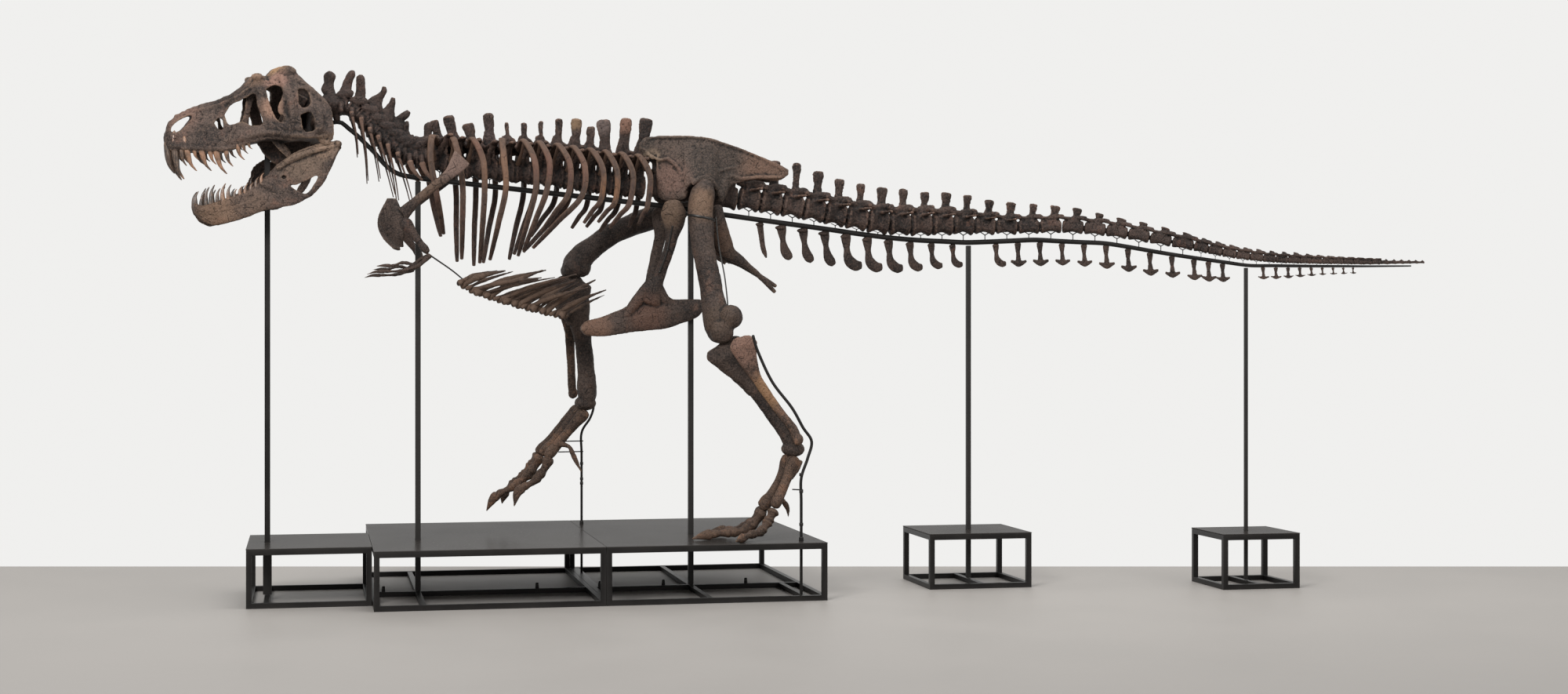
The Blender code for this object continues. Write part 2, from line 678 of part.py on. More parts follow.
def spine_pins():
    """Where thin pins rise from the bar to the underside of the centra: (x, y, top)."""
    back = back_marks()
    pins = {"neck": [], "back": [], "tail": []}
    for i in (2, 6, 10):
        mid = (back[i] + back[i + 1]) / 2
        pins["back"].append((mid[0], SPINE_Y, mid[2] - back_drop(mid[0]) - 0.80 * back_radius(i) - 0.008))
    marks = tail_marks()
    for i in (1, 4, 7, 10, 13, 16, 19, 24, 29):
        mid = (marks[i] + marks[i + 1]) / 2
        waist = 0.80 if i < SPOOL_COUNT else 0.94
        top = mid[2] - caudal_drop(mid[0]) - waist * caudal_radius(mid[0]) - 0.006
        if top - bar_z(mid[0]) > bar_half(mid[0]) + 0.002:
            pins["tail"].append((mid[0], tail_y(mid[0]), top))
    return pins


def build_bar():
    pins = spine_pins()
    cuts = (-4.075, -3.42, -0.56, 1.80, 3.70, 5.245)
    names = ("stand_neck_bar", "stand_back_bar", "stand_tail_bar_1", "stand_tail_bar_2", "stand_tail_bar_3")
    every = pins["neck"] + pins["back"] + pins["tail"]
    for name, start, end in zip(names, cuts[:-1], cuts[1:]):
        hung = hung_chevrons(start, end) if "tail" in name else []
        bar_of(name, start + SEAM, end - SEAM, [p for p in every if start + 0.02 < p[0] < end - 0.02], hung)


# ================================================================ hips
ILIUM_ROWS = (
    (-1.500, 3.835, 3.785), (-1.450, 3.889, 3.715), (-1.345, 3.905, 3.690), (-1.332, 3.908, 3.375),
    (-1.130, 3.912, 3.360), (-1.104, 3.909, 3.440), (-1.040, 3.905, 3.505), (-0.975, 3.900, 3.525),
    (-0.890, 3.894, 3.505), (-0.812, 3.873, 3.342), (-0.765, 3.862, 3.373), (-0.690, 3.835, 3.490),
    (-0.460, 3.753, 3.540), (-0.285, 3.685, 3.533), (-0.195, 3.632, 3.590),
)


def build_ilium(side, name):
    """A tall blade close to the spines, flaring out over the hip socket, with two feet below."""
    rows = []
    for x, top, bottom in ILIUM_ROWS:
        socket = math.exp(-(((x + 0.98) / 0.26) ** 2))
        deep = (top - bottom) / 0.54
        low_out = 0.115 + 0.125 * socket * min(1.0, 1.2 * deep)
        foot = 0.050 if bottom < 3.45 else 0.018 + 0.022 * socket
        a, b = sided([(x, 0.105, top), (x, low_out, bottom)], side)
        rows.append((a, b, 0.018, 0, foot))
    return node(name, [blade(rows)], "ilium_bone")


def build_sacrum():
    """The fused hip vertebrae between the ilia, with their spines as one plate."""
    line = [(-1.405, SPINE_Y, 3.528), (-1.000, SPINE_Y, 3.475), (-0.632, SPINE_Y, 3.424)]
    marks = curve_through(line, np.linspace(0, 1, 6))
    narrow = [(0.68 * a, b) for a, b in HEXAGON]
    forms = [centra(marks, lambda i: 0.115, waist=0.85, section=narrow, drop=lambda x: 0.048)]
    plate = [((x, SPINE_Y, z + 0.02), (x, SPINE_Y, top), 0.016, 0, 0.016) for x, z, top in (
        (-1.36, 3.52, 3.88), (-1.00, 3.47, 3.89), (-0.67, 3.43, 3.80))]
    forms.append(blade(plate))
    return node("sacrum", forms)


PUBIS_PATH = (
    (-1.225, 0.205, 3.318), (-1.214, 0.19, 3.128), (-1.255, 0.150, 2.913), (-1.315, 0.095, 2.729),
    (-1.390, 0.060, 2.480),
)
PUBIS_PROFILE = (
    (0, 0.050, 0.085), (0.08, 0.055, 0.115), (0.20, 0.040, 0.090), (0.32, 0.032, 0.050), (0.62, 0.032, 0.046),
    (0.82, 0.036, 0.056), (1, 0.030, 0.085),
)
BOOT_ROWS = (
    (-1.988, 2.272, 2.238), (-1.940, 2.318, 2.194), (-1.800, 2.360, 2.185), (-1.645, 2.421, 2.205),
    (
        -1.538, 2.467, 2.222,
    ), (-1.273, 2.500, 2.250), (-1.110, 2.508, 2.300), (-0.974, 2.507, 2.360), (-0.920, 2.485, 2.452),
)


def build_pubis(side, name):
    """A shaft that runs down and in from the socket to a long foot, or boot, under the belly."""
    shaft = tube(sided(PUBIS_PATH, side), PUBIS_PROFILE, 6)
    rows = []
    for x, top, bottom in BOOT_ROWS:
        out = 0.036 + 0.026 * max(0.0, min(1.0, (x + 1.5) / 0.35))
        a, b = sided([(x, out, top), (x, out, bottom)], side)
        rows.append((a, b, 0.024, 0, 0.024))
    return node(name, [shaft, blade(rows)])


ISCHIUM_PATH = (
    (-0.845, 0.200, 3.285), (-0.815, 0.185, 3.120), (-0.740, 0.150, 2.925), (-0.610, 0.105, 2.840),
    (-0.460, 0.060, 2.735), (-0.283, 0.040, 2.600),
)
ISCHIUM_PROFILE = (
    (0, 0.045, 0.055), (0.15, 0.040, 0.062), (0.34, 0.028, 0.070), (0.50, 0.026, 0.052), (0.66, 0.024, 0.036),
    (1, 0.018, 0.022),
)


def build_ischium(side, name):
    """A bone that runs back and down from the socket and thins to a rod, with a keel on its front edge."""
    shaft = tube(sided(ISCHIUM_PATH, side), ISCHIUM_PROFILE, 6)
    keel = blade([(*sided([(-0.79, 0.165, 3.17), (-0.865, 0.155, 3.13)], side), 0.016, 0, 0.010),
                  (*sided([(-0.75, 0.150, 2.99), (-0.880, 0.130, 2.935)], side), 0.018, 0, 0.010),
                  (*sided([(-0.68, 0.120, 2.88), (-0.715, 0.105, 2.805)], side), 0.014, 0, 0.010)])
    return node(name, [shaft, keel])


# ================================================================ legs
FEMUR_PROFILE = (
    (
        0.00, 0.060, 0.075,
    ), (0.05, 0.088, 0.108), (0.16, 0.090, 0.110), (0.34, 0.084, 0.106), (0.55, 0.080, 0.096),
    (0.74, 0.086, 0.100), (0.87, 0.110, 0.118), (0.95, 0.122, 0.118), (1.00, 0.085, 0.080),
)
TIBIA_PROFILE = (
    (
        0.00, 0.080, 0.140,
    ), (0.06, 0.105, 0.190), (0.15, 0.090, 0.165), (0.32, 0.070, 0.092), (0.52, 0.066, 0.078),
    (0.74, 0.070, 0.078), (0.88, 0.090, 0.088), (0.96, 0.100, 0.085), (1.00, 0.080, 0.060),
)
FIBULA_PROFILE = (
    (0, 0.028, 0.070), (0.05, 0.036, 0.105), (0.16, 0.030, 0.068), (0.35, 0.024, 0.040), (0.75, 0.020, 0.030),
    (1, 0.024, 0.034),
)
LEFT_FEMUR = (
    (-0.950, 0.275, 3.480), (-0.998, 0.305, 3.323), (-1.000, 0.34, 3.122), (-0.981, 0.38, 2.907),
    (-0.925, 0.42, 2.677), (-0.902, 0.45, 2.524), (-0.868, 0.48, 2.372), (-0.862, 0.50, 2.150),
)
LEFT_TIBIA = (
    (-0.800, 0.500, 2.105), (-0.765, 0.500, 2.050), (-0.691, 0.51, 1.933), (-0.561, 0.53, 1.750),
    (-0.418, 0.55, 1.540), (-0.300, 0.57, 1.382), (-0.243, 0.58, 1.250),
)
LEFT_FIBULA = (
    (-0.700, 0.655, 2.170), (-0.661, 0.655, 2.013), (-0.583, 0.655, 1.831), (-0.412, 0.660, 1.582),
    (-0.292, 0.690, 1.425), (-0.240, 0.712, 1.300),
)
RIGHT_FEMUR = (
    (-1.010, 0.310, 3.335), (-1.217, 0.36, 3.268), (-1.393, 0.44, 3.197), (-1.528, 0.50, 3.145),
    (-1.664, 0.55, 3.079), (-1.785, 0.59, 2.991), (-1.905, 0.63, 2.890), (-2.010, 0.66, 2.755),
)
RIGHT_TIBIA = (
    (-2.020, 0.660, 2.670), (-2.012, 0.660, 2.600), (-1.986, 0.67, 2.500), (-1.923, 0.70, 2.354),
    (-1.857, 0.76, 1.989), (-1.839, 0.80, 1.740), (-1.831, 0.83, 1.600),
)
RIGHT_FIBULA = (
    (-2.035, 0.810, 2.560), (-2.005, 0.815, 2.389), (-1.980, 0.850, 2.110), (-1.960, 0.910, 1.801),
    (-1.945, 0.945, 1.660),
)


def femur(name, side, path, heads):
    """A stout curved shaft with a ball that turns in to the socket and two condyles behind the knee."""
    forms = [tube(sided(path, side), FEMUR_PROFILE, 8)]
    for points, profile, across in heads:
        forms.append(tube(sided(points, side), profile, 6, across=across))
    return node(name, forms)


def build_legs():
    ball = ((0, 0.070, 0.078), (0.45, 0.085, 0.088), (0.8, 0.088, 0.090), (1, 0.058, 0.060))
    knee = ((0, 0.060, 0.070), (0.25, 0.085, 0.098), (0.75, 0.082, 0.095), (1, 0.058, 0.068))
    femur("femur_left", -1, LEFT_FEMUR, (
        (((-0.955, 0.30, 3.400), (-0.965, 0.20, 3.412), (-0.970, 0.090, 3.414)), ball, (0, 0, 1)),
        (((-0.800, 0.400, 2.285), (-0.785, 0.49, 2.285), (-0.790, 0.58, 2.290)), knee, (1, 0, 0)),
    ))
    femur("femur_right", 1, RIGHT_FEMUR, (
        (((-1.020, 0.31, 3.320), (-1.005, 0.21, 3.372), (-0.975, 0.100, 3.410)), ball, (0, 0, 1)),
        (((-1.925, 0.570, 2.790), (-1.905, 0.655, 2.785), (-1.910, 0.745, 2.790)), knee, (1, 0, 0)),
    ))
    node("tibia_left", [tube(sided(LEFT_TIBIA, -1), TIBIA_PROFILE, 8)])
    node("tibia_right", [tube(sided(RIGHT_TIBIA, 1), TIBIA_PROFILE, 8)])
    node("fibula_left", [tube(sided(LEFT_FIBULA, -1), FIBULA_PROFILE, 6)])
    node("fibula_right", [tube(sided(RIGHT_FIBULA, 1), FIBULA_PROFILE, 6)])


METATARSAL_PROFILE = (
    (0, 0.040, 0.056), (0.12, 0.042, 0.058), (0.45, 0.036, 0.042), (0.92, 0.045, 0.050), (1, 0.034, 0.038),
)


def metatarsus(name, side, bones, splint, hallux):
    """Three long bones locked side by side, a short splint behind them, and the small first toe."""
    forms = [tube(sided(path, side), METATARSAL_PROFILE, 6) for path in bones]
    forms.append(tube(sided(splint, side), ((0, 0.018, 0.020), (0.5, 0.018, 0.022), (1, 0.010, 0.012)), 4))
    forms.append(tube(sided(hallux, side), toe_profile(1, 0.024, 0.022), 4, turn=math.pi / 4))
    return node(name, forms, share=1.0)


def toe_profile(bones, start, end):
    """Half sizes along a toe: bulges at its joints, waists between, and a claw that narrows to a point."""
    rows = []
    for i in range(bones):
        size = start + (end - start) * i / max(bones - 1, 1)
        a, b = i / (bones + 1), (i + 1) / (bones + 1)
        rows += [(a + 0.012, size, size), ((a + b) / 2, size * 0.74, size * 0.74)]
    claw = bones / (bones + 1)
    rows += [
        (claw, end * 0.95, end * 1.05), (claw + 0.45 * (1 - claw), end * 0.55, end * 0.7), (1, 0.004, 0.005),
    ]
    return rows


def foot(name, side, toes):
    """Toes fanned from one row of knuckles; each is a chain of bones with a claw."""
    forms = []
    for path, bones, start, end in toes:
        forms.append(tube(sided(path, side), toe_profile(bones, start, end), 4, turn=math.pi / 4))
    knuckles = [toes[k][0][1] for k in (0, 1, 2)]
    forms.append(tube(
        sided(knuckles, side), ((0, 0.026, 0.026), (0.5, 0.026, 0.026), (1, 0.026, 0.026)), 4,
        across=(1, 0, 0),
    ))
    return node(name, forms)


def build_feet():
    metatarsus("metatarsus_left", -1, (
        ((-0.300, 0.572, 1.155), (-0.359, 0.592, 1.004), (-0.455, 0.600, 0.836), (-0.512, 0.600, 0.748)),
        ((-0.265, 0.640, 1.150), (-0.315, 0.662, 1.020), (-0.378, 0.685, 0.885), (-0.435, 0.700, 0.775)),
        ((-0.272, 0.506, 1.150), (-0.330, 0.516, 1.010), (-0.425, 0.500, 0.850), (-0.500, 0.480, 0.765)),
    ), ((-0.205, 0.640, 1.130), (-0.235, 0.650, 1.070), (-0.285, 0.660, 0.990)),
        ((-0.420, 0.480, 0.850), (-0.335, 0.470, 0.800), (-0.285, 0.475, 0.735), (-0.274, 0.480, 0.640)))
    metatarsus("metatarsus_right", 1, (
        ((-1.880, 0.857, 1.530), (-2.010, 0.880, 1.385), (-2.130, 0.895, 1.235), (-2.215, 0.900, 1.150)),
        ((-1.905, 0.925, 1.535), (-2.040, 0.952, 1.390), (-2.160, 0.980, 1.240), (-2.240, 0.995, 1.160)),
        ((-1.862, 0.795, 1.505), (-1.985, 0.815, 1.360), (-2.100, 0.822, 1.220), (-2.180, 0.805, 1.130)),
    ), ((-1.890, 0.912, 1.485), (-1.950, 0.917, 1.415), (-2.015, 0.927, 1.352)),
        ((-2.090, 0.800, 1.235), (-2.000, 0.760, 1.205), (-1.965, 0.745, 1.130), (-1.888, 0.740, 0.972)))
    foot("foot_left", -1, (
        (
            (
                (-0.525, 0.480, 0.690), (-0.580, 0.465, 0.620), (-0.690, 0.420, 0.555),
                (-0.840, 0.355, 0.532), (-0.975, 0.300, 0.494),
            ),
            2, 0.050, 0.036,
        ),
        (
            (
                (-0.552, 0.600, 0.680), (-0.600, 0.600, 0.612), (-0.700, 0.600, 0.552),
                (-0.880, 0.600, 0.535), (-1.000, 0.600, 0.524), (-1.125, 0.600, 0.494),
            ),
            3, 0.054, 0.034,
        ),
        (
            (
                (-0.470, 0.715, 0.692), (-0.515, 0.740, 0.622), (-0.580, 0.780, 0.556),
                (-0.665, 0.830, 0.540), (-0.730, 0.875, 0.524), (-0.822, 0.945, 0.494),
            ),
            4, 0.050, 0.030,
        ),
    ))
    foot("foot_right", 1, (
        (
            (
                (-2.190, 0.795, 1.070), (-2.225, 0.790, 1.000), (-2.310, 0.760, 0.905),
                (-2.450, 0.715, 0.825), (-2.494, 0.690, 0.690),
            ),
            2, 0.048, 0.036,
        ),
        (
            (
                (-2.262, 0.900, 1.085), (-2.300, 0.900, 1.020), (-2.380, 0.900, 0.925),
                (-2.500, 0.900, 0.842), (-2.640, 0.900, 0.765), (-2.720, 0.900, 0.637),
            ),
            3, 0.052, 0.034,
        ),
        (
            (
                (-2.272, 1.000, 1.095), (-2.315, 1.020, 1.030), (-2.385, 1.050, 0.940),
                (-2.480, 1.085, 0.860), (-2.542, 1.105, 0.765), (-2.565, 1.120, 0.682),
            ),
            4, 0.048, 0.030,
        ),
    ))


# ================================================================ shoulders and arms
def build_arms():
    """A long shoulder blade over the front ribs, a short upper arm, two forearm bones and a hand."""
    for side, word in ((-1, "left"), (1, "right")):
        scapula = blade([
            (*sided([(-3.075, 0.575, 3.700), (-3.000, 0.575, 3.600)], side), 0.012, 0, 0.012),
            (*sided([(-3.150, 0.580, 3.605), (-3.095, 0.580, 3.535)], side), 0.014, 0, 0.014),
            (*sided([(-3.255, 0.565, 3.505), (-3.200, 0.565, 3.440)], side), 0.016, 0, 0.016),
            (*sided([(-3.400, 0.520, 3.345), (-3.330, 0.520, 3.275)], side), 0.020, 0, 0.018),
            (*sided([(-3.590, 0.440, 3.290), (-3.455, 0.450, 3.165)], side), 0.026, 0, 0.030),
        ])
        coracoid = blade([
            (*sided([(-3.610, 0.400, 3.320), (-3.480, 0.440, 3.190)], side), 0.022, 0, 0.026),
            (*sided([(-3.690, 0.360, 3.190), (-3.520, 0.430, 3.090)], side), 0.016, 0, 0.026),
            (*sided([(-3.690, 0.320, 3.060), (-3.530, 0.400, 3.010)], side), 0.014, 0, 0.020),
            (*sided([(-3.630, 0.290, 2.960), (-3.545, 0.350, 2.930)], side), 0.012, 0, 0.012),
        ])
        node(f"scapula_{word}", [scapula, coracoid])
        humerus = (
            (-3.500, 0.505, 3.130), (-3.440, 0.515, 3.045), (-3.381, 0.525, 2.965), (-3.318, 0.540, 2.885),
        )
        node(
            f"humerus_{word}",
            [tube(
                sided(humerus, side),
                (
                    (0, 0.030, 0.044), (0.10, 0.038, 0.058), (0.35, 0.028, 0.038), (0.75, 0.024, 0.028),
                    (0.92, 0.036, 0.036), (1, 0.028, 0.028),
                ),
                6,
            )],
        )
        elbow, wrist = (-3.300, 0.545, 2.845), (-3.430, 0.525, 2.752)
        ulna = tube(
            sided([elbow, (-3.345, 0.552, 2.798), (-3.395, 0.546, 2.760), wrist], side),
            ((0, 0.024, 0.026), (0.4, 0.016, 0.018), (1, 0.020, 0.022)), 4,
        )
        radius = tube(
            sided([elbow, (-3.360, 0.522, 2.822), (-3.405, 0.514, 2.786), wrist], side),
            ((0, 0.022, 0.022), (0.4, 0.014, 0.015), (1, 0.019, 0.021)), 4,
        )
        forms = [ulna, radius]
        for start, knuckle, joint, tip in (
            ((-3.420, 0.520, 2.770), (-3.500, 0.500, 2.790), (-3.590, 0.490, 2.765), (-3.727, 0.480, 2.760)),
            ((-3.420, 0.535, 2.750), (-3.520, 0.540, 2.722), (-3.650, 0.545, 2.715), (-3.800, 0.550, 2.690)),
        ):
            forms.append(tube(
                sided([start, knuckle, joint, tip], side),
                ((0, 0.018, 0.018), (0.33, 0.015, 0.018), (0.66, 0.013, 0.018), (1, 0.003, 0.003)), 4,
            ))
        node(f"forearm_{word}", forms)


# ================================================================ belly ribs
GASTRALIA_LINE = (
    (-3.000, 2.625), (-2.892, 2.560), (-2.740, 2.505), (-2.494, 2.432), (-2.261, 2.372), (-2.100, 2.340),
)
GASTRALIA_PAIRS = 10
GASTRALIA_CROSS = 0.032  # how far each rod reaches past the midline, over its neighbour


def build_gastralia():
    """Belly ribs: pairs of thin rods that cross in the midline and sweep up and back on each side."""
    marks = curve_through(in_spine_plane(GASTRALIA_LINE), np.linspace(0, 1, GASTRALIA_PAIRS * 2))
    forms = []
    for i, at in enumerate(marks):
        side = -1 if i % 2 else 1
        share = i / (len(marks) - 1)
        reach = float(np.interp(share, (0.0, 0.15, 0.5, 0.8, 1.0), (0.32, 0.58, 0.50, 0.38, 0.36)))
        rise = float(np.interp(share, (0.0, 0.15, 0.5, 0.8, 1.0), (0.15, 0.19, 0.25, 0.28, 0.22)))
        start = at + np.array((-GASTRALIA_CROSS, -side * GASTRALIA_CROSS, 0.008))
        knee = at + np.array((0.32 * reach, side * 0.30 * reach, 0.22 * rise))
        tip = at + np.array((reach, side * 0.64 * reach, rise))
        forms.append(spar((start, knee, tip), ((0.026, 0.024), (0.034, 0.030), (0.009, 0.009))))
    return node("gastralia", forms, share=1.0)


# ================================================================ head
DORSAL_LINE = (
    (1.408, -0.205), (1.383, -0.100), (1.295, -0.022), (1.182, 0.036), (1.078, 0.075), (0.984, 0.103),
    (0.880, 0.156), (0.796, 0.218), (0.720, 0.307), (0.673, 0.322), (0.600, 0.308), (0.542, 0.373),
    (0.500, 0.393), (0.400, 0.390), (0.345, 0.345), (0.260, 0.250), (0.153, 0.160), (0.105, 0.080),
)
VENTRAL_LINE = (
    (1.408, -0.245), (1.383, -0.330), (1.250, -0.326), (0.960, -0.332), (0.842, -0.294), (0.727, -0.246),
    (0.609, -0.219), (0.443, -0.232), (0.342, -0.215), (0.236, -0.211), (0.105, -0.215),
)
HALF_WIDTH_LOW = (
    (1.408, 0.040), (1.37, 0.080), (1.28, 0.115), (1.05, 0.155), (0.85, 0.190), (0.65, 0.255), (0.45, 0.325),
    (0.25, 0.355), (0.10, 0.345),
)
HALF_WIDTH_TOP = (
    (1.408, 0.025), (1.37, 0.045), (1.20, 0.055), (0.95, 0.075), (0.80, 0.105), (0.70, 0.165), (0.60, 0.160),
    (0.48, 0.215), (0.38, 0.220), (0.25, 0.235), (0.10, 0.260),
)
SKULL_STOPS = (
    1.408, 1.380, 1.290, 1.150, 0.984, 0.860, 0.760, 0.700, 0.600, 0.530, 0.420, 0.330, 0.240, 0.155, 0.105,
)
NARIS = ((1.365, -0.185), (1.350, -0.130), (1.285, -0.070), (1.200, -0.035), (1.215, -0.080), (1.290, -0.165))
MAXILLARY = ((1.030, -0.098), (0.999, -0.058), (0.963, -0.065), (0.960, -0.136), (0.990, -0.150))
ANTORBITAL = (
    (0.946, -0.030), (0.905, 0.040), (0.860, 0.080), (0.790, 0.112), (0.712, 0.150), (0.700, 0.060),
    (0.660, -0.090), (0.745, -0.112), (0.809, -0.080), (0.861, -0.096), (0.922, -0.105),
)
ORBIT = (
    (0.625, 0.190), (0.612, 0.105), (0.570, -0.035), (0.529, -0.085), (0.492, -0.060), (0.520, 0.070),
    (0.500, 0.190), (0.555, 0.225),
)
TEMPORAL_UPPER = ((0.384, 0.195), (0.305, 0.185), (0.290, 0.070), (0.372, 0.050))
TEMPORAL_LOWER = ((0.372, -0.020), (0.285, 0.000), (0.262, -0.140), (0.350, -0.145))
ROOF_WINDOW = ((0.360, 0.070), (0.345, 0.165), (0.215, 0.185), (0.190, 0.080))
CHEEK_DEPTH = 0.60
UPPER_TEETH = (
    (
        1.364, 0.040, 1.349, 0.175,
    ), (1.313, 0.080, 1.288, 0.225), (1.272, 0.103, 1.272, 0.120), (1.231, 0.115, 1.175, 0.165),
    (
        1.180, 0.125, 1.170, 0.075,
    ), (1.118, 0.135, 1.061, 0.160), (1.056, 0.142, 1.030, 0.105), (1.004, 0.150, 0.937, 0.180),
    (
        0.931, 0.162, 0.900, 0.125,
    ), (0.843, 0.180, 0.806, 0.100), (0.801, 0.188, 0.785, 0.065), (0.764, 0.196, 0.749, 0.045),
)
JAW_UPPER = (
    (0.047, -0.235), (0.105, -0.222), (0.213, -0.246), (0.326, -0.280), (0.432, -0.334), (0.549, -0.425),
    (0.621, -0.510), (0.684, -0.575), (0.771, -0.637), (0.864, -0.680), (0.964, -0.714), (1.055, -0.752),
    (1.120, -0.765), (1.190, -0.738),
)
JAW_LOWER = (
    (0.047, -0.262), (0.105, -0.380), (0.190, -0.545), (0.275, -0.654), (0.369, -0.720), (0.430, -0.755),
    (0.600, -0.791), (0.698, -0.824), (0.797, -0.867), (0.876, -0.894), (0.954, -0.915), (1.034, -0.927),
    (1.111, -0.900), (1.149, -0.853), (1.190, -0.768),
)
JAW_OUT = (
    (0.047, 0.300), (0.300, 0.300), (0.500, 0.262), (0.700, 0.210), (0.900, 0.150), (1.050, 0.095),
    (1.150, 0.055), (1.190, 0.032),
)
JAW_STOPS = (0.047, 0.105, 0.190, 0.275, 0.369, 0.500, 0.621, 0.771, 0.920, 1.050, 1.125, 1.165, 1.190)
JAW_WINDOW = (
    (0.443, -0.595), (0.400, -0.583), (0.290, -0.520), (0.270, -0.545), (0.300, -0.610), (0.365, -0.652),
)
JAW_TEETH = 11


def on(line, at):
    """The value of a line of (place, value) rows at a place."""
    rows = sorted(line)
    return float(np.interp(at, [r[0] for r in rows], [r[1] for r in rows]))


def skull_ring(f, inset=0.0):
    """The head's outline across at a distance forward: narrow roof, sloping cheeks, flat palate."""
    top, bottom = on(DORSAL_LINE, f) - inset, on(VENTRAL_LINE, f) + inset * 0.8
    wide, roof = on(HALF_WIDTH_LOW, f) - inset, max(on(HALF_WIDTH_TOP, f) - inset, 0.012)
    tall = top - bottom
    cheek = roof + (wide - roof) * 0.62
    half = [
        (wide * 0.90, bottom), (wide, bottom + 0.16 * tall), (cheek, bottom + 0.58 * tall),
        (roof, top - 0.10 * tall), (roof * 0.45, top),
    ]
    ring = half + [(-y, z) for y, z in half[::-1]]
    return [skull_point(f, y, z) for y, z in ring[::-1]]


def side_windows(outline, inner, outer=CHEEK_DEPTH, signs=(-1, 1)):
    """A cutter for each cheek with this outline."""
    return [
        prism(outline, sign * inner, sign * outer, lambda f, z, y: skull_point(f, y, z))
        for sign in signs
    ]


def tooth(f, y, base, lean, length, wide):
    """One tooth: a cone set in the jaw; lean carries its tip back, and a negative length points down."""
    root = skull_point(f, y, base)
    tip = skull_point(f + lean, y * 0.98, base + length)
    return spar([root, tip], ((wide * 0.62, wide), (0.003, 0.003)), 4, across=SKULL_LEFT)


def build_skull():
    """The head without its jaw: a hollow box of bone with its openings and its upper teeth."""
    shell = skin([skull_ring(f) for f in SKULL_STOPS])
    hollow = skin([skull_ring(f, 0.034) for f in (1.16, 1.0, 0.86, 0.76, 0.66, 0.55, 0.42, 0.30, 0.20)])
    cutters = [hollow]
    for outline, inner in (
        (NARIS, 0.022), (MAXILLARY, 0.06), (ANTORBITAL, 0.03), (ORBIT, 0.06), (TEMPORAL_UPPER, 0.12),
        (TEMPORAL_LOWER, 0.12),
    ):
        cutters += side_windows(list(outline), inner)
    for sign in (-1, 1):
        window = [(f, sign * y) for f, y in ROOF_WINDOW]
        cutters.append(prism(window, 0.10, 0.60, lambda f, y, z: skull_point(f, y, z)))
    forms = [shell]
    for sign in (-1, 1):
        for f, y, tip, length in UPPER_TEETH:
            wide = 0.013 + 0.055 * length / 0.40
            forms.append(tooth(f, sign * y * 0.97, on(VENTRAL_LINE, f) + 0.02, tip - f, -length - 0.02, wide))
    return node("skull", forms, cut=cutters, share=SKULL_SHARE)


def build_jaws():
    """Each half of the lower jaw: deep at the back, with a window, and toothed in front."""
    for sign, word in ((1, "left"), (-1, "right")):
        rows = []
        for f in JAW_STOPS:
            out = on(JAW_OUT, f)
            top, low = on(JAW_UPPER, f), on(JAW_LOWER, f)
            thick = float(np.interp(f, (0.05, 0.3, 0.6, 1.0, 1.19), (0.034, 0.026, 0.030, 0.032, 0.020)))
            lean = 0.02 if f < 1.0 else 0.0
            rows.append((
                skull_point(f, sign * (out - lean), top), skull_point(f, sign * (out + lean), low), thick, 0,
                thick * 0.8,
            ))
        forms = [blade(rows)]
        for i in range(JAW_TEETH):
            f = 1.150 - 0.047 * i
            length = 0.055 + 0.075 * math.sin(math.pi * min(1.0, (i + 1.5) / 8)) * (1 if i < 8 else 0.3)
            forms.append(tooth(
                f, sign * on(JAW_OUT, f), on(JAW_UPPER, f) - 0.018, 0.02 + 0.10 * length, length + 0.018,
                0.012 + 0.10 * length,
            ))
        node(f"mandible_{word}", forms, cut=side_windows(list(JAW_WINDOW), 0.1, 0.5, (sign,)))


# ================================================================ leg rods
def build_leg_rods():
    """Bent steel rods that stand in the rear plinth and carry the knees and ankles."""
    low = TUBE + SEAM
    left = (
        (-0.640, -1.075, 2.190), (-0.600, -1.080, 2.060), (-0.482, -1.10, 1.807), (-0.319, -1.12, 1.591),
        (-0.225, -1.12, 1.427), (-0.150, -1.12, 1.308), (-0.185, -1.12, 1.164), (-0.239, -1.12, 1.001),
        (-0.239, -1.12, 0.800), (-0.239, -1.12, low),
    )
    right = (
        (-1.800, 0.900, 1.720), (-1.735, 0.90, 1.640), (-1.727, 0.90, 1.540), (-1.760, 0.90, 1.440),
        (-1.836, 0.90, 1.310), (-1.836, 0.90, 1.100), (-1.836, 0.90, low),
    )
    node("stand_left_leg_rod", [rod(left, 0.014, 4, steps=12)], "steel")
    node("stand_right_leg_rod", [rod(right, 0.011, 4, steps=10)], "steel")


def main():
    for obj in list(bpy.data.objects):
        bpy.data.objects.remove(obj)
    build_plinths()
    build_poles()
    build_bar()
    build_leg_rods()
    build_skull()
    build_jaws()
    build_neck()
    build_trunk()
    build_tail()
    for side, word in ((-1, "left"), (1, "right")):
        build_ilium(side, f"ilium_{word}")
        build_pubis(side, f"pubis_{word}")
        build_ischium(side, f"ischium_{word}")
    build_sacrum()
    build_legs()
    build_feet()
    build_arms()
    build_gastralia()


main()
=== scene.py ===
"""The looks of a mounted Tyrannosaurus rex skeleton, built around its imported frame. Lengths are in metres.

+X runs from the snout to the tail tip and the animal's left side faces -Y. Bones are lofts, joined by a
fine remesh, smoothed and then worn by noise. Lengths across the body are given outwards from the plane of
the spine.
"""

import json
import math

import bpy
import numpy as np
from mathutils import Matrix

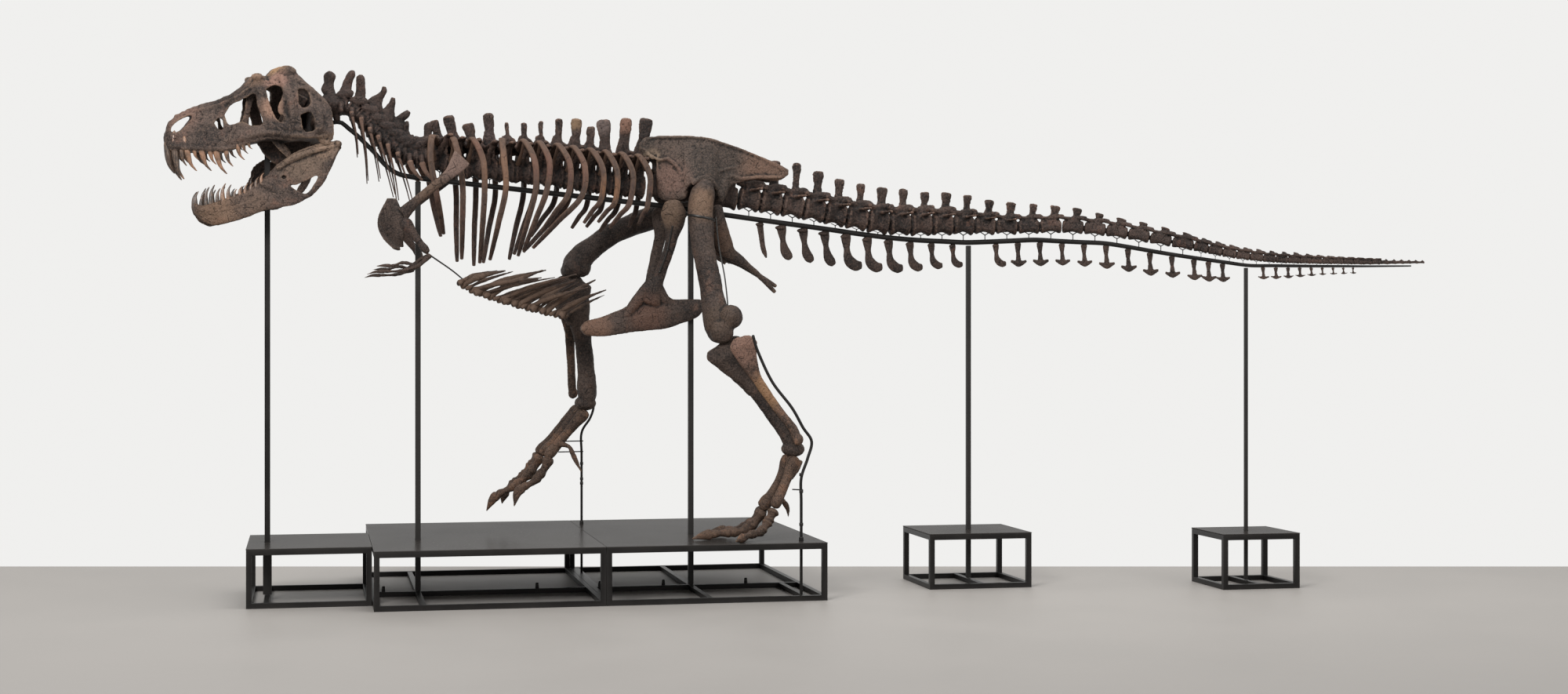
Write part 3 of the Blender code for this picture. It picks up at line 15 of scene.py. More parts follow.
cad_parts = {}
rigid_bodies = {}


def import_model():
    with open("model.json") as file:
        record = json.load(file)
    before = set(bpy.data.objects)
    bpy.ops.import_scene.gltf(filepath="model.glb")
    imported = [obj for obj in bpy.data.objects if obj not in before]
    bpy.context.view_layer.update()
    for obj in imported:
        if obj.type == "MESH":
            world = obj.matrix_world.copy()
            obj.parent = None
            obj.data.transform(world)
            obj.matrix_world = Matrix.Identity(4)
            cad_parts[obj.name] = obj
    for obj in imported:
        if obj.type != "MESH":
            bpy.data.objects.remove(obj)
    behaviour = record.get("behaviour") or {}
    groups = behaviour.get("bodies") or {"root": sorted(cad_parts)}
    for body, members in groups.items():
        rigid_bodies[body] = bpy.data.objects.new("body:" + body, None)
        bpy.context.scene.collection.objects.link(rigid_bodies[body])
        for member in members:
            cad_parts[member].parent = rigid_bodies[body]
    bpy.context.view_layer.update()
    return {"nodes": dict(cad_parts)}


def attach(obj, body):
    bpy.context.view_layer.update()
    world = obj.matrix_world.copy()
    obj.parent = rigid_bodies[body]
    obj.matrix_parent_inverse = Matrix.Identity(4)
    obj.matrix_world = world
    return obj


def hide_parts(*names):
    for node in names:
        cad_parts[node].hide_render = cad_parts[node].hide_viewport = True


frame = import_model()
cad = frame["nodes"]

# ======== sizes shared with the solids
HOME = np.array((0.026, 0.0, 0.0))
SPINE_Y = -0.3
PLINTH_TOP = 0.48
UP = np.array((0.0, 0.0, 1.0))
NECK_LINE = ((-4.06, 4.142), (-3.95, 4.105), (-3.843, 4.025), (-3.656, 3.838), (-3.468, 3.703))
BACK_LINE = ((-3.272, 3.687), (-3.082, 3.65), (-2.501, 3.64), (-1.912, 3.576), (-1.418, 3.53))
TAIL_LINE = (
    (-0.62, -0.3, 3.42), (-0.034, -0.3, 3.338), (0.375, -0.3, 3.261), (0.759, -0.3, 3.21),
    (1.103, -0.3, 3.207), (1.506, -0.308, 3.197), (1.889, -0.384, 3.168), (2.281, -0.477, 3.173),
    (2.669, -0.581, 3.137), (2.978, -0.676, 3.08), (3.335, -0.797, 3.01), (3.672, -0.924, 2.933),
    (4.028, -1.022, 2.887), (4.362, -1.087, 2.869), (4.799, -1.172, 2.854), (5.359, -1.28, 2.839),
)
BAR_LINE = (
    (-4.07, 3.972), (-3.998, 3.976), (-3.856, 3.861), (-3.72, 3.725), (-3.617, 3.602), (-3.507, 3.544),
    (-3.37, 3.52), (-1.315, 3.315), (-0.738, 3.241), (-0.447, 3.203), (0.212, 3.121), (0.545, 3.076),
    (0.931, 3.039), (1.471, 3.02), (2.037, 3.044), (2.693, 3.01), (2.93, 2.962), (3.299, 2.895),
    (3.817, 2.812), (4.404, 2.806), (4.859, 2.805), (5.24, 2.808),
)
NECK_COUNT, BACK_COUNT, TAIL_COUNT, LONG_TAIL_COUNT = 9, 13, 43, 21
CHEVRON_COUNT = 34
TAIL_POLES = (1.465, 3.81)
TAIL_BARS = ("stand_tail_bar_1", "stand_tail_bar_2", "stand_tail_bar_3")
SIDES = ((-1, "left"), (1, "right"))
TEMPLATE_RADIUS = 0.1
BODY_FIT = 0.87  # how thick a vertebra's body is beside its share of the spine
TOOTH_HALF = 0.11
RELIEF_STEPS = 14
CAMERA_TURN = math.radians(12.15)
WALL_COLOUR = (0.872, 0.868, 0.855)
SKULL_AT = np.array((-4.03, SPINE_Y, 4.014))
SKULL_YAW = math.radians(12.5)
SKULL_FORWARD = np.array((-math.cos(SKULL_YAW), -math.sin(SKULL_YAW), 0.0))
SKULL_LEFT = np.array((math.sin(SKULL_YAW), -math.cos(SKULL_YAW), 0.0))


# ======== node graphs
class Wire:
    """A socket of a node graph. Arithmetic on it adds Math nodes."""

    def __init__(self, graph, socket):
        self.graph, self.socket = graph, socket

    def _with(self, operation, *values):
        return self.graph.node("ShaderNodeMath", {"operation": operation}, dict(enumerate(values)))

    def __add__(self, other):
        return self._with("ADD", self, other)

    __radd__ = __add__

    def __sub__(self, other):
        return self._with("SUBTRACT", self, other)

    def __rsub__(self, other):
        return self._with("SUBTRACT", other, self)

    def __mul__(self, other):
        return self._with("MULTIPLY", self, other)

    def __rtruediv__(self, other):
        return self._with("DIVIDE", other, self)

    def above(self, low, high):
        """0 below low, 1 above high, and a soft step between."""
        values = {"Value": self, "From Min": low, "From Max": high}
        return self.graph.node(
            "ShaderNodeMapRange", {"interpolation_type": "SMOOTHSTEP", "clamp": True}, values,
        )


class Graph:
    """A node tree with one way of adding nodes."""

    def __init__(self, tree):
        self.tree = tree

    def node(self, kind, settings=None, values=None, out=0):
        made = self.tree.nodes.new(kind)
        for name, setting in (settings or {}).items():
            setattr(made, name, setting)
        for name, value in (values or {}).items():
            socket = made.inputs[name]
            if isinstance(value, Wire):
                self.tree.links.new(value.socket, socket)
            else:
                socket.default_value = value
        return Wire(self, made.outputs[out]) if len(made.outputs) else made

    def noise(self, place, scale, detail=3.0, rough=0.5):
        return self.node(
            "ShaderNodeTexNoise", {}, {"Vector": place, "Scale": scale, "Detail": detail, "Roughness": rough},
        )

    def object_place(self):
        return self.node("ShaderNodeTexCoord", {}, {}, "Object")

    def gap(self, place, centre):
        return self.node("ShaderNodeVectorMath", {"operation": "DISTANCE"}, {0: place, 1: centre}, "Value")

    def bump(self, strength, distance, height):
        return self.node("ShaderNodeBump", {}, {"Strength": strength, "Distance": distance, "Height": height})

    def mix(self, share, first, second):
        """Mixes colours; a plain (r, g, b) is made opaque."""
        first, second = (c if isinstance(c, Wire) else (*c, 1.0) for c in (first, second))
        return self.node("ShaderNodeMix", {"data_type": "RGBA"}, {0: share, 6: first, 7: second}, 2)


def material_graph(name):
    made = bpy.data.materials.new(name)
    made.use_nodes = True
    made.node_tree.nodes.clear()
    return made, Graph(made.node_tree)


def close_material(graph, values):
    shader = graph.node("ShaderNodeBsdfPrincipled", {}, values)
    graph.node("ShaderNodeOutputMaterial", {}, {"Surface": shader})


# ======== materials
def fossil(
    name, dark, base, warm, pale, warm_share=0.0, pale_share=0.0, grain=1.0, stretch=(1, 1, 1), tints=(),
):
    """Mineralised bone: brown to near black, with rusty and tan patches, pale where it stands proud (worn
    edges with a painted highlight), and darkened in its hollows by painted shade.

    tints are (centre, reach, colour, share): stains in one place, in the order from snout to tail.
    """
    made, g = material_graph(name)
    place = g.object_place()
    fibre_place = g.node("ShaderNodeMapping", {}, {"Vector": place, "Scale": stretch})
    broad = g.noise(place, 3.2, 3.0, 0.55)
    patch = g.noise(place, 8.0, 5.0, 0.62)
    blot = g.noise(place, 19.0, 6.0, 0.68)
    fine = g.noise(fibre_place, 75.0 * grain, 8.0, 0.72)
    fibre = g.noise(fibre_place, 170.0 * grain, 4.0, 0.6)
    cell = {"Vector": place, "Scale": 11.0 * grain, "Randomness": 1.0}
    crack = g.node("ShaderNodeTexVoronoi", {"feature": "DISTANCE_TO_EDGE"}, cell)
    crack_line = (1 - crack.above(0.003, 0.026)) * blot.above(0.46, 0.6)
    relief = g.node("ShaderNodeAttribute", {"attribute_name": "relief"}, {}, "Fac")
    sharp = g.node("ShaderNodeNewGeometry", {}, {}, "Pointiness")
    # pale where the surface stands proud: partly worn edges, partly a painted highlight
    proud = relief.above(0.0035, 0.012) * 0.65 + sharp.above(0.51, 0.57) * 0.35
    # painted shade: hollows and creases are darkened to stand in for the shade that falls in them
    painted_hollow_shade = (1 - relief.above(-0.005, 0.0016)) * 0.9 + (1 - sharp.above(0.44, 0.49)) * 0.4
    painted_hollow_shade = painted_hollow_shade.above(0.0, 1.0)
    colour = g.mix(broad.above(0.38, 0.62), dark, base)
    colour = g.mix(patch.above(0.6 - warm_share, 0.78 - warm_share) * 0.85, colour, warm)
    colour = g.mix(blot.above(0.66 - pale_share, 0.82 - pale_share) * 0.6, colour, pale)
    for centre, reach, tint, share in tints:
        gap = g.gap(place, centre)
        colour = g.mix(
            (1 - (gap + blot * 0.5 * reach).above(0.6 * reach, 1.25 * reach)) * share, colour, tint,
        )
    colour = g.mix(fine.above(0.44, 0.66) * 0.45, colour, [2.3 * c for c in base])
    colour = g.mix((1 - fine.above(0.36, 0.52)) * 0.65, colour, [0.4 * c for c in dark])
    colour = g.mix(crack_line * 0.8, colour, [0.3 * c for c in dark])
    # worn edges with a painted highlight
    colour = g.mix(proud * 0.68, colour, pale)
    # painted shade in the hollows
    colour = g.mix(painted_hollow_shade * 0.88, colour, [0.22 * c for c in dark])
    rough = 0.46 + fine * 0.34
    height = fine * 0.6 + fibre * 0.22 + blot * 0.8 - crack_line * 0.7
    bump = g.bump(0.95, 0.01, height)
    close_material(g, {"Base Color": colour, "Roughness": rough, "Normal": bump, "Specular IOR Level": 0.24})
    return made


def tooth_enamel():
    """Enamel stained orange to near black, darker on the front teeth, with painted shade over the far side's
    teeth inside the mouth, and fine cracks down its length.
    """
    made, g = material_graph("tooth_enamel")
    place = g.object_place()
    long_place = g.node("ShaderNodeMapping", {}, {"Vector": place, "Scale": (1.0, 1.0, 0.12)})
    streak = g.noise(long_place, 190.0, 5.0, 0.6)
    each = g.noise(place, 11.0, 2.0, 0.5)
    colour = g.mix(each.above(0.34, 0.62), (0.06, 0.036, 0.024), (0.215, 0.112, 0.064))
    # the first two spots darken the front teeth; the third is painted shade over the far side's teeth inside
    # the mouth
    for centre, reach in (
        ((-5.34, -0.6, 3.6), 0.17), ((-5.12, -0.56, 3.26), 0.22), ((-4.9, -0.25, 3.45), 0.26),
    ):
        gap = g.gap(place, centre)
        colour = g.mix((1 - gap.above(0.75 * reach, 1.15 * reach)) * 0.82, colour, (0.022, 0.016, 0.013))
    colour = g.mix(streak.above(0.52, 0.7) * 0.5, colour, (0.36, 0.235, 0.15))
    colour = g.mix((1 - streak.above(0.34, 0.48)) * 0.8, colour, (0.018, 0.012, 0.009))
    bump = g.bump(0.35, 0.002, streak)
    close_material(g, {"Base Color": colour, "Roughness": 0.26 + streak * 0.2, "Normal": bump})
    return made


def black_steel(name, low, high, rough, metal, bump_size, shine):
    """Painted steel: near black, a little dust and rub, and a faint orange-peel surface."""
    made, g = material_graph(name)
    place = g.object_place()
    cloud = g.noise(place, 3.0, 4.0, 0.6)
    peel = g.noise(place, 420.0, 2.0, 0.5)
    rub = g.node("ShaderNodeNewGeometry", {}, {}, "Pointiness").above(0.52, 0.6)
    dust = g.noise(place, 46.0, 6.0, 0.7).above(0.55, 0.75)
    colour = g.mix(cloud.above(0.35, 0.65), low, high)
    colour = g.mix(dust * 0.03, colour, (0.12, 0.115, 0.105))
    colour = g.mix(rub * 0.12, colour, (0.14, 0.132, 0.125))
    bump = g.bump(0.12, bump_size, peel)
    values = {
        "Base Color": colour, "Roughness": rough + cloud * 0.06 + dust * 0.05, "Metallic": metal,
        "Normal": bump,
    }
    close_material(g, values | {"Specular IOR Level": shine})
    return made


BONE = fossil(
    "fossil_bone", (0.0109, 0.0072, 0.006), (0.0391, 0.0245, 0.0187), (0.0743, 0.0346, 0.0227),
    (0.1642, 0.1008, 0.0669), 0.02, 0.02,
)
SPINE_BONE = fossil(
    "fossil_spine", (0.0091, 0.0059, 0.0049), (0.035, 0.0217, 0.0174), (0.07, 0.0322, 0.022),
    (0.175, 0.1023, 0.0725), 0.04, 0.04,
    tints=(
        ((-2.7, -0.34, 3.9), 0.14, (0.042, 0.026, 0.0261), 0.7),
        ((-2.02, -0.32, 4.02), 0.1, (0.21, 0.1333, 0.0754), 0.8),
        ((-1.78, -0.32, 4.0), 0.12, (0.119, 0.0899, 0.0812), 0.7),
        ((-1.58, -0.32, 4.02), 0.13, (0.196, 0.1023, 0.0696), 0.8),
        ((0.47, -0.38, 3.25), 0.1, (0.21, 0.0806, 0.0348), 0.7),
        ((0.84, -0.38, 3.2), 0.08, (0.182, 0.0744, 0.0348), 0.6),
    ),
)
RIB_BONE = fossil(
    "fossil_rib", (0.0092, 0.0052, 0.004), (0.0319, 0.0176, 0.0131), (0.0604, 0.0249, 0.0163),
    (0.1256, 0.0739, 0.049), 0.07, 0.05,
    stretch=(1.0, 1.0, 0.25),
    tints=(
        ((-2.92, -0.76, 3.82), 0.22, (0.0966, 0.0237, 0.0143), 0.75),
        ((-2.66, -0.8, 3.55), 0.26, (0.1545, 0.073, 0.0367), 0.75),
        ((-2.3, -0.82, 3.62), 0.2, (0.0821, 0.0215, 0.0139), 0.7),
        ((-2.02, -0.82, 3.6), 0.22, (0.0821, 0.0258, 0.0163), 0.6),
        ((-1.78, -0.74, 3.42), 0.16, (0.1835, 0.0817, 0.0327), 0.7),
    ),
)
LEG_BONE = fossil(
    "fossil_leg", (0.0128, 0.0091, 0.0078), (0.0448, 0.0304, 0.0241), (0.08, 0.0426, 0.0291),
    (0.192, 0.1254, 0.0852), 0.05, 0.04,
    tints=(
        ((-0.98, -0.72, 3.32), 0.2, (0.152, 0.0912, 0.0554), 0.75),
        ((-0.88, -0.9, 2.32), 0.2, (0.0484, 0.0296, 0.0185), 0.7),
        ((-1.24, -0.52, 3.25), 0.2, (0.12, 0.0745, 0.0469), 0.75),
        ((-1.4, -0.4, 2.38), 0.24, (0.096, 0.0426, 0.0256), 0.6),
        ((-1.85, -0.36, 2.26), 0.2, (0.168, 0.0912, 0.0596), 0.7),
        ((-0.8, -0.5, 3.0), 0.24, (0.096, 0.0532, 0.0327), 0.6),
    ),
)
SHIN_BONE = fossil(
    "fossil_shin", (0.0238, 0.0148, 0.0109), (0.0765, 0.0476, 0.0343), (0.1615, 0.082, 0.0484),
    (0.2805, 0.1845, 0.117), 0.1, 0.05,
    tints=(
        ((-0.66, -0.96, 2.1), 0.24, (0.17, 0.0943, 0.0702), 0.8),
        ((-0.48, -0.97, 1.72), 0.2, (0.255, 0.1394, 0.0663), 0.7),
    ),
)
FOOT_BONE = fossil(
    "fossil_foot", (0.0208, 0.0126, 0.0091), (0.0736, 0.0444, 0.0301), (0.152, 0.0777, 0.0448),
    (0.264, 0.1702, 0.105), 0.08, 0.05, 1.3,
)
SHOULDER_BONE = fossil(
    "fossil_shoulder", (0.0185, 0.0128, 0.0105), (0.0541, 0.0371, 0.0298), (0.099, 0.0608, 0.0434),
    (0.198, 0.1408, 0.0992), 0.05, 0.03,
    tints=(
        ((-3.06, -0.88, 3.64), 0.24, (0.1518, 0.096, 0.0775), 0.85),
        ((-3.3, -0.88, 3.42), 0.2, (0.1122, 0.0672, 0.0434), 0.7),
    ),
)
HIP_BONE = fossil(
    "fossil_hip", (0.0234, 0.0168, 0.013), (0.0585, 0.0406, 0.0319), (0.0819, 0.0462, 0.0325),
    (0.195, 0.1295, 0.091), 0.03, 0.03,
    tints=(
        ((-1.23, -0.52, 3.55), 0.24, (0.117, 0.063, 0.0468), 0.8),
        ((-0.38, -0.42, 3.62), 0.3, (0.1404, 0.077, 0.0507), 0.75),
        ((-1.36, -0.42, 3.72), 0.1, (0.2574, 0.182, 0.1235), 0.6),
    ),
)
SKULL_BONE = fossil(
    "fossil_skull", (0.0194, 0.0134, 0.0112), (0.0669, 0.0454, 0.036), (0.1232, 0.0655, 0.0464),
    (0.2552, 0.168, 0.112), 0.06, 0.05,
    tints=(
        ((-4.48, -0.5, 4.4), 0.16, (0.3344, 0.1932, 0.096), 0.85),
        ((-4.5, -0.62, 4.28), 0.13, (0.264, 0.147, 0.112), 0.85),
        ((-4.52, -0.66, 4.05), 0.13, (0.264, 0.1512, 0.104), 0.8),
        ((-4.66, -0.56, 4.3), 0.12, (0.2112, 0.126, 0.08), 0.6),
        ((-5.25, -0.62, 3.98), 0.2, (0.1496, 0.084, 0.0624), 0.7),
        ((-4.95, -0.6, 3.16), 0.26, (0.176, 0.1008, 0.056), 0.55),
        ((-4.66, -0.6, 3.24), 0.2, (0.1496, 0.0924, 0.06), 0.45),
        ((-4.3, -0.66, 3.62), 0.26, (0.1496, 0.1008, 0.0688), 0.6),
        ((-4.1, -0.66, 3.74), 0.14, (0.2288, 0.1512, 0.104), 0.7),
    ),
)
TAIL_BONE = fossil(
    "fossil_tail", (0.01, 0.0066, 0.0055), (0.044, 0.028, 0.0222), (0.09, 0.042, 0.028), (0.2, 0.118, 0.083),
    0.05, 0.05,
)
BELLY_BONE = fossil(
    "fossil_belly", (0.0075, 0.0052, 0.0044), (0.0265, 0.017, 0.0132), (0.054, 0.0256, 0.0174),
    (0.15, 0.095, 0.066), 0.02, 0.05, 1.2,
)
ENAMEL = tooth_enamel()
STEEL = black_steel("painted_steel", (0.0078, 0.007, 0.0066), (0.012, 0.0108, 0.01), 0.36, 0.0, 0.0004, 0.14)
PLATE = black_steel("plinth_sheet", (0.024, 0.0215, 0.02), (0.0255, 0.023, 0.0212), 0.22, 0.0, 0.00001, 0.004)
WIRE_STEEL = black_steel("dark_wire", (0.02, 0.019, 0.018), (0.04, 0.038, 0.036), 0.35, 0.8, 0.0002, 0.5)


# ======== forms
def along(points, count, by=None):
    """Points evenly spaced on a smooth curve through the rows; by counts the columns that spacing goes by."""
    points = np.array(points, float)
    ends = np.vstack((2 * points[0] - points[1], points, 2 * points[-1] - points[-2]))
    t = np.linspace(0, 1, 24, endpoint=False)[:, None]
    parts = []
    for a, b, c, d in zip(ends, ends[1:], ends[2:], ends[3:]):
        parts.append(0.5 * (
            2 * b + (c - a) * t + (2 * a - 5 * b + 4 * c - d) * t**2 + (3 * b - a - 3 * c + d) * t**3
        ))
    line = np.vstack(parts + [points[-1:]])
    steps = np.linalg.norm(np.diff(line[:, : by or line.shape[1]], axis=0), axis=1)
    run = np.concatenate(([0.0], np.cumsum(steps)))
    want = np.array(count) * run[-1] if np.ndim(count) else np.linspace(0, run[-1], count)
    return np.column_stack([np.interp(want, run, line[:, k]) for k in range(line.shape[1])])


def unit(v):
    v = np.array(v, float)
    return v / np.maximum(np.linalg.norm(v, axis=-1, keepdims=True), 1e-12)


def sizes_at(rows, fractions):
    """Rows of (fraction, sizes...) read at fractions and eased."""
    rows = np.array(rows, float)
    found = np.column_stack([np.interp(fractions, rows[:, 0], rows[:, k]) for k in range(1, rows.shape[1])])
    for _ in range(2):
        found[1:-1] = 0.25 * found[:-2] + 0.5 * found[1:-1] + 0.25 * found[2:]
    return found


def skin(rings):
    """A closed form over rings of equal count: (points, faces)."""
    rings = np.array(rings, float)
    rows, count = rings.shape[:2]
    i, j = np.meshgrid(np.arange(rows - 1), np.arange(count), indexing="ij")
    k = (j + 1) % count
    faces = np.stack(
        (i * count + j, i * count + k, (i + 1) * count + k, (i + 1) * count + j), axis=-1,
    ).reshape(-1, 4)
    faces = faces.tolist() + [list(range(count))[::-1], [(rows - 1) * count + j for j in range(count)]]
    return rings.reshape(-1, 3), faces


def loft(path, rows, sides=16, steps=36, across=(0, 1, 0), lobes=None, blunt=0.8):
    """A rounded bar along a path; rows are (fraction, half size along across, half size the other way)."""
    fractions = np.linspace(0, 1, steps)
    centres = along(path, steps)
    way = unit(np.gradient(centres, axis=0))
    side = unit(np.array(across, float) - (way @ np.array(across, float))[:, None] * way)
    top = np.cross(way, side)
    wide, deep = sizes_at(rows, fractions).T
    angles = np.linspace(0, 2 * math.pi, sides, endpoint=False)
    shape = np.ones((steps, sides)) if lobes is None else lobes(fractions[:, None], angles[None, :])
    off = (wide[:, None] * np.cos(angles) * shape)[..., None] * side[:, None]
    off = off + (deep[:, None] * np.sin(angles) * shape)[..., None] * top[:, None]
    rings = list(centres[:, None] + off)
    for end, sign in ((0, -1), (-1, 1)):
        reach = blunt * min(wide[end], deep[end]) * sign * way[end]
        for scale, push in ((0.9, 0.42), (0.68, 0.73), (0.35, 0.93)):
            ring = centres[end] + off[end] * scale + reach * push
            rings.insert(0, ring) if sign < 0 else rings.append(ring)
    return skin(rings)


def ball(centre, radii, sides=16, rows=10):
    angles = np.linspace(0, 2 * math.pi, sides, endpoint=False)
    rings = []
    for tilt in np.linspace(-math.pi / 2 + 0.12, math.pi / 2 - 0.12, rows):
        flat = math.cos(tilt)
        ring = np.column_stack((flat * np.cos(angles), flat * np.sin(angles), np.full(sides, math.sin(tilt))))
        rings.append(ring * radii)
    points, faces = skin(rings)
    return points + np.array(centre), faces


def blade(rows, steps=44, cells=12):
    """A flat bone: rows are an edge point, the other edge point, and three half thicknesses across it."""
    table = along([[*a, *b, *thick] for a, b, *thick in rows], steps, by=6)
    a, b, thick = table[:, :3], table[:, 3:6], table[:, 6:]
    way = unit(np.gradient((a + b) / 2, axis=0))
    out = unit(np.cross(way, b - a))
    t = 0.5 - 0.5 * np.cos(np.linspace(0, math.pi, cells + 1))
    edge = np.sqrt(np.maximum(1 - np.abs(2 * t - 1) ** 4, 0.0))
    half = np.array([np.interp(t, (0, 0.5, 1), row) for row in thick]) * edge
    spine = a[:, None] + (b - a)[:, None] * t[None, :, None]
    near = spine + out[:, None] * half[..., None]
    far = spine - out[:, None] * half[..., None]
    rings = np.concatenate((near[:, ::-1], far[:, 1:-1]), axis=1)
    return skin(rings)


def prism(outline, start, end, place, smooth=6):
    """An outline in two coordinates, rounded, and carried from start to end in the third."""
    closed = list(outline) + [outline[0]]
    outline = along(closed, smooth * len(outline) + 1)[:-1]
    area = np.sum(outline[:, 0] * np.roll(outline[:, 1], -1) - np.roll(outline[:, 0], -1) * outline[:, 1])
    outline = outline if area > 0 else outline[::-1]
    rings = [[np.array(place(u, v, w)) for u, v in outline] for w in (start, end)]
    origin = np.array(place(0, 0, 0))
    handed = np.cross(np.array(place(1, 0, 0)) - origin, np.array(place(0, 1, 0)) - origin)
    if np.dot(handed, np.array(place(0, 0, 1)) - origin) * (end - start) < 0:
        rings = rings[::-1]
    return skin(rings)


def sided(path, side):
    return [(x, SPINE_Y + side * out, z) for x, out, z in path]


def sided_blade(rows, side, steps, cells):
    return blade([(*sided(row[:2], side), *row[2:]) for row in rows], steps, cells)


def scaled(rows, wide, deep=None):
    """Rows of a place along a bar and two sizes there, times a width and a depth."""
    return [(f, a * wide, b * (deep or wide)) for f, a, b in rows]


def even(wide, deep=None):
    """The rows of a bar that keeps one size all along."""
    return (0, wide, deep or wide), (1, wide, deep or wide)


# ======== objects
def link(obj):
    bpy.context.scene.collection.objects.link(obj)
    return obj


def mesh_object(name, forms, home=HOME):
    """One mesh object from many forms, moved to where the frame stands."""
    points, faces, base = [], [], 0
    for form_points, form_faces in forms:
        points.append(np.asarray(form_points) + home)
        faces += [[base + k for k in face] for face in form_faces]
        base += len(form_points)
    mesh = bpy.data.meshes.new(name)
    mesh.from_pydata(np.vstack(points).tolist(), [], faces)
    mesh.update()
    return link(bpy.data.objects.new(name, mesh))


def settle(obj):
    """Makes what the modifiers give the object's own mesh, and removes them."""
    graph = bpy.context.evaluated_depsgraph_get()
    result = bpy.data.meshes.new_from_object(obj.evaluated_get(graph))
    obj.modifiers.clear()
    old = obj.data
    obj.data = result
    bpy.data.meshes.remove(old)
    return obj


def cut(obj, cutters):
    for form in cutters:
        other = mesh_object("cutter", [form])
        modifier = obj.modifiers.new("cut", "BOOLEAN")
        modifier.object = other
        modifier.operation = "DIFFERENCE"
        modifier.solver = "EXACT"
        settle(obj)
        bpy.data.objects.remove(other)
    return obj


def geometry_group(name, inputs):
    """A Geometry Nodes tree with named inputs; gives (tree, graph, its inputs' wires, output node)."""
    tree = bpy.data.node_groups.new(name, "GeometryNodeTree")
    tree.interface.new_socket("Geometry", in_out="INPUT", socket_type="NodeSocketGeometry")
    tree.interface.new_socket("Geometry", in_out="OUTPUT", socket_type="NodeSocketGeometry")
    for label, kind in inputs:
        tree.interface.new_socket(label, in_out="INPUT", socket_type=kind)
    graph = Graph(tree)
    entry = tree.nodes.new("NodeGroupInput")
    wires = {socket.name: Wire(graph, socket) for socket in entry.outputs if socket.name}
    leave = tree.nodes.new("NodeGroupOutput")
    return tree, graph, wires, leave


def worn_offset(graph, wires):
    """How far noise moves a surface point: broad lumps, and pits that only go in."""
    place = graph.node("GeometryNodeInputPosition")
    normal = graph.node("GeometryNodeInputNormal")
    lump = graph.noise(place, 1 / wires["Lump Size"], 3.0, 0.55)
    pit = graph.noise(place, 1 / wires["Pit Size"], 4.0, 0.65)
    push = (lump - 0.5) * 2 * wires["Lump Depth"] - (1 - pit.above(0.3, 0.52)) * wires["Pit Depth"]
    return graph.node("ShaderNodeVectorMath", {"operation": "SCALE"}, {"Vector": normal, "Scale": push})


WEAR_INPUTS = [(name, "NodeSocketFloat") for name in ("Lump Size", "Lump Depth", "Pit Size", "Pit Depth")]
WEAR_INPUTS.append(("Relief Steps", "NodeSocketInt"))


def wear_tree():
    """Moves a surface in and out by noise, and keeps how far each point stands proud."""
    tree, graph, wires, leave = geometry_group("worn_surface", WEAR_INPUTS)
    moved = graph.node(
        "GeometryNodeSetPosition", {}, {"Geometry": wires["Geometry"], "Offset": worn_offset(graph, wires)},
    )
    place = graph.node("GeometryNodeInputPosition")
    normal = graph.node("GeometryNodeInputNormal")
    values = {"Value": place, "Iterations": wires["Relief Steps"]}
    eased = graph.node("GeometryNodeBlurAttribute", {"data_type": "FLOAT_VECTOR"}, values)
    rise = graph.node("ShaderNodeVectorMath", {"operation": "SUBTRACT"}, {0: place, 1: eased})
    relief = graph.node("ShaderNodeVectorMath", {"operation": "DOT_PRODUCT"}, {0: rise, 1: normal}, "Value")
    values = {"Geometry": moved, "Name": "relief", "Value": relief}
    kept = graph.node("GeometryNodeStoreNamedAttribute", {"data_type": "FLOAT", "domain": "POINT"}, values)
    tree.links.new(kept.socket, leave.inputs[0])
    return tree


def row_tree():
    """Sets one of several pieces on each point, by its turn, size and kind, and makes them one mesh."""
    inputs = [("Pieces", "NodeSocketCollection"), ("Material", "NodeSocketMaterial")]
    tree, graph, wires, leave = geometry_group("row_of_pieces", inputs)

    def attribute(name, kind):
        return graph.node("GeometryNodeInputNamedAttribute", {"data_type": kind}, {"Name": name})

    points = graph.node("GeometryNodeMeshToPoints", {}, {"Mesh": wires["Geometry"]})
    pieces = graph.node(
        "GeometryNodeCollectionInfo", {}, {
            "Collection": wires["Pieces"], "Separate Children": True, "Reset Children": True,
        }
    )
    turn = graph.node("FunctionNodeEulerToRotation", {}, {"Euler": attribute("turn", "FLOAT_VECTOR")})
    values = {
        "Points": points, "Instance": pieces, "Pick Instance": True,
        "Instance Index": attribute("kind", "INT"),
        "Rotation": turn, "Scale": attribute("size", "FLOAT_VECTOR"),
    }
    placed = graph.node("GeometryNodeInstanceOnPoints", {}, values)
    real = graph.node("GeometryNodeRealizeInstances", {}, {"Geometry": placed})
    dressed = graph.node("GeometryNodeSetMaterial", {}, {"Geometry": real, "Material": wires["Material"]})
    tree.links.new(dressed.socket, leave.inputs[0])
    return tree


WEAR_TREE, ROW_TREE = wear_tree(), row_tree()


def use_tree(obj, tree, values):
    modifier = obj.modifiers.new("nodes", "NODES")
    modifier.node_group = tree
    names = {item.name: item.identifier for item in tree.interface.items_tree if item.in_out == "INPUT"}
    for name, value in values.items():
        modifier[names[name]] = value
    return settle(obj)


def remesh(obj, voxel, smooth):
    made = obj.modifiers.new("remesh", "REMESH")
    made.mode = "VOXEL"
    made.voxel_size = voxel
    ease = obj.modifiers.new("ease", "SMOOTH")
    ease.factor = 0.5
    ease.iterations = smooth
    return settle(obj)


def wear(obj, lump, pit):
    """lump and pit are each (size, depth)."""
    values = {
        "Lump Size": lump[0], "Lump Depth": lump[1], "Pit Size": pit[0], "Pit Depth": pit[1],
        "Relief Steps": RELIEF_STEPS,
    }
    return use_tree(obj, WEAR_TREE, values)


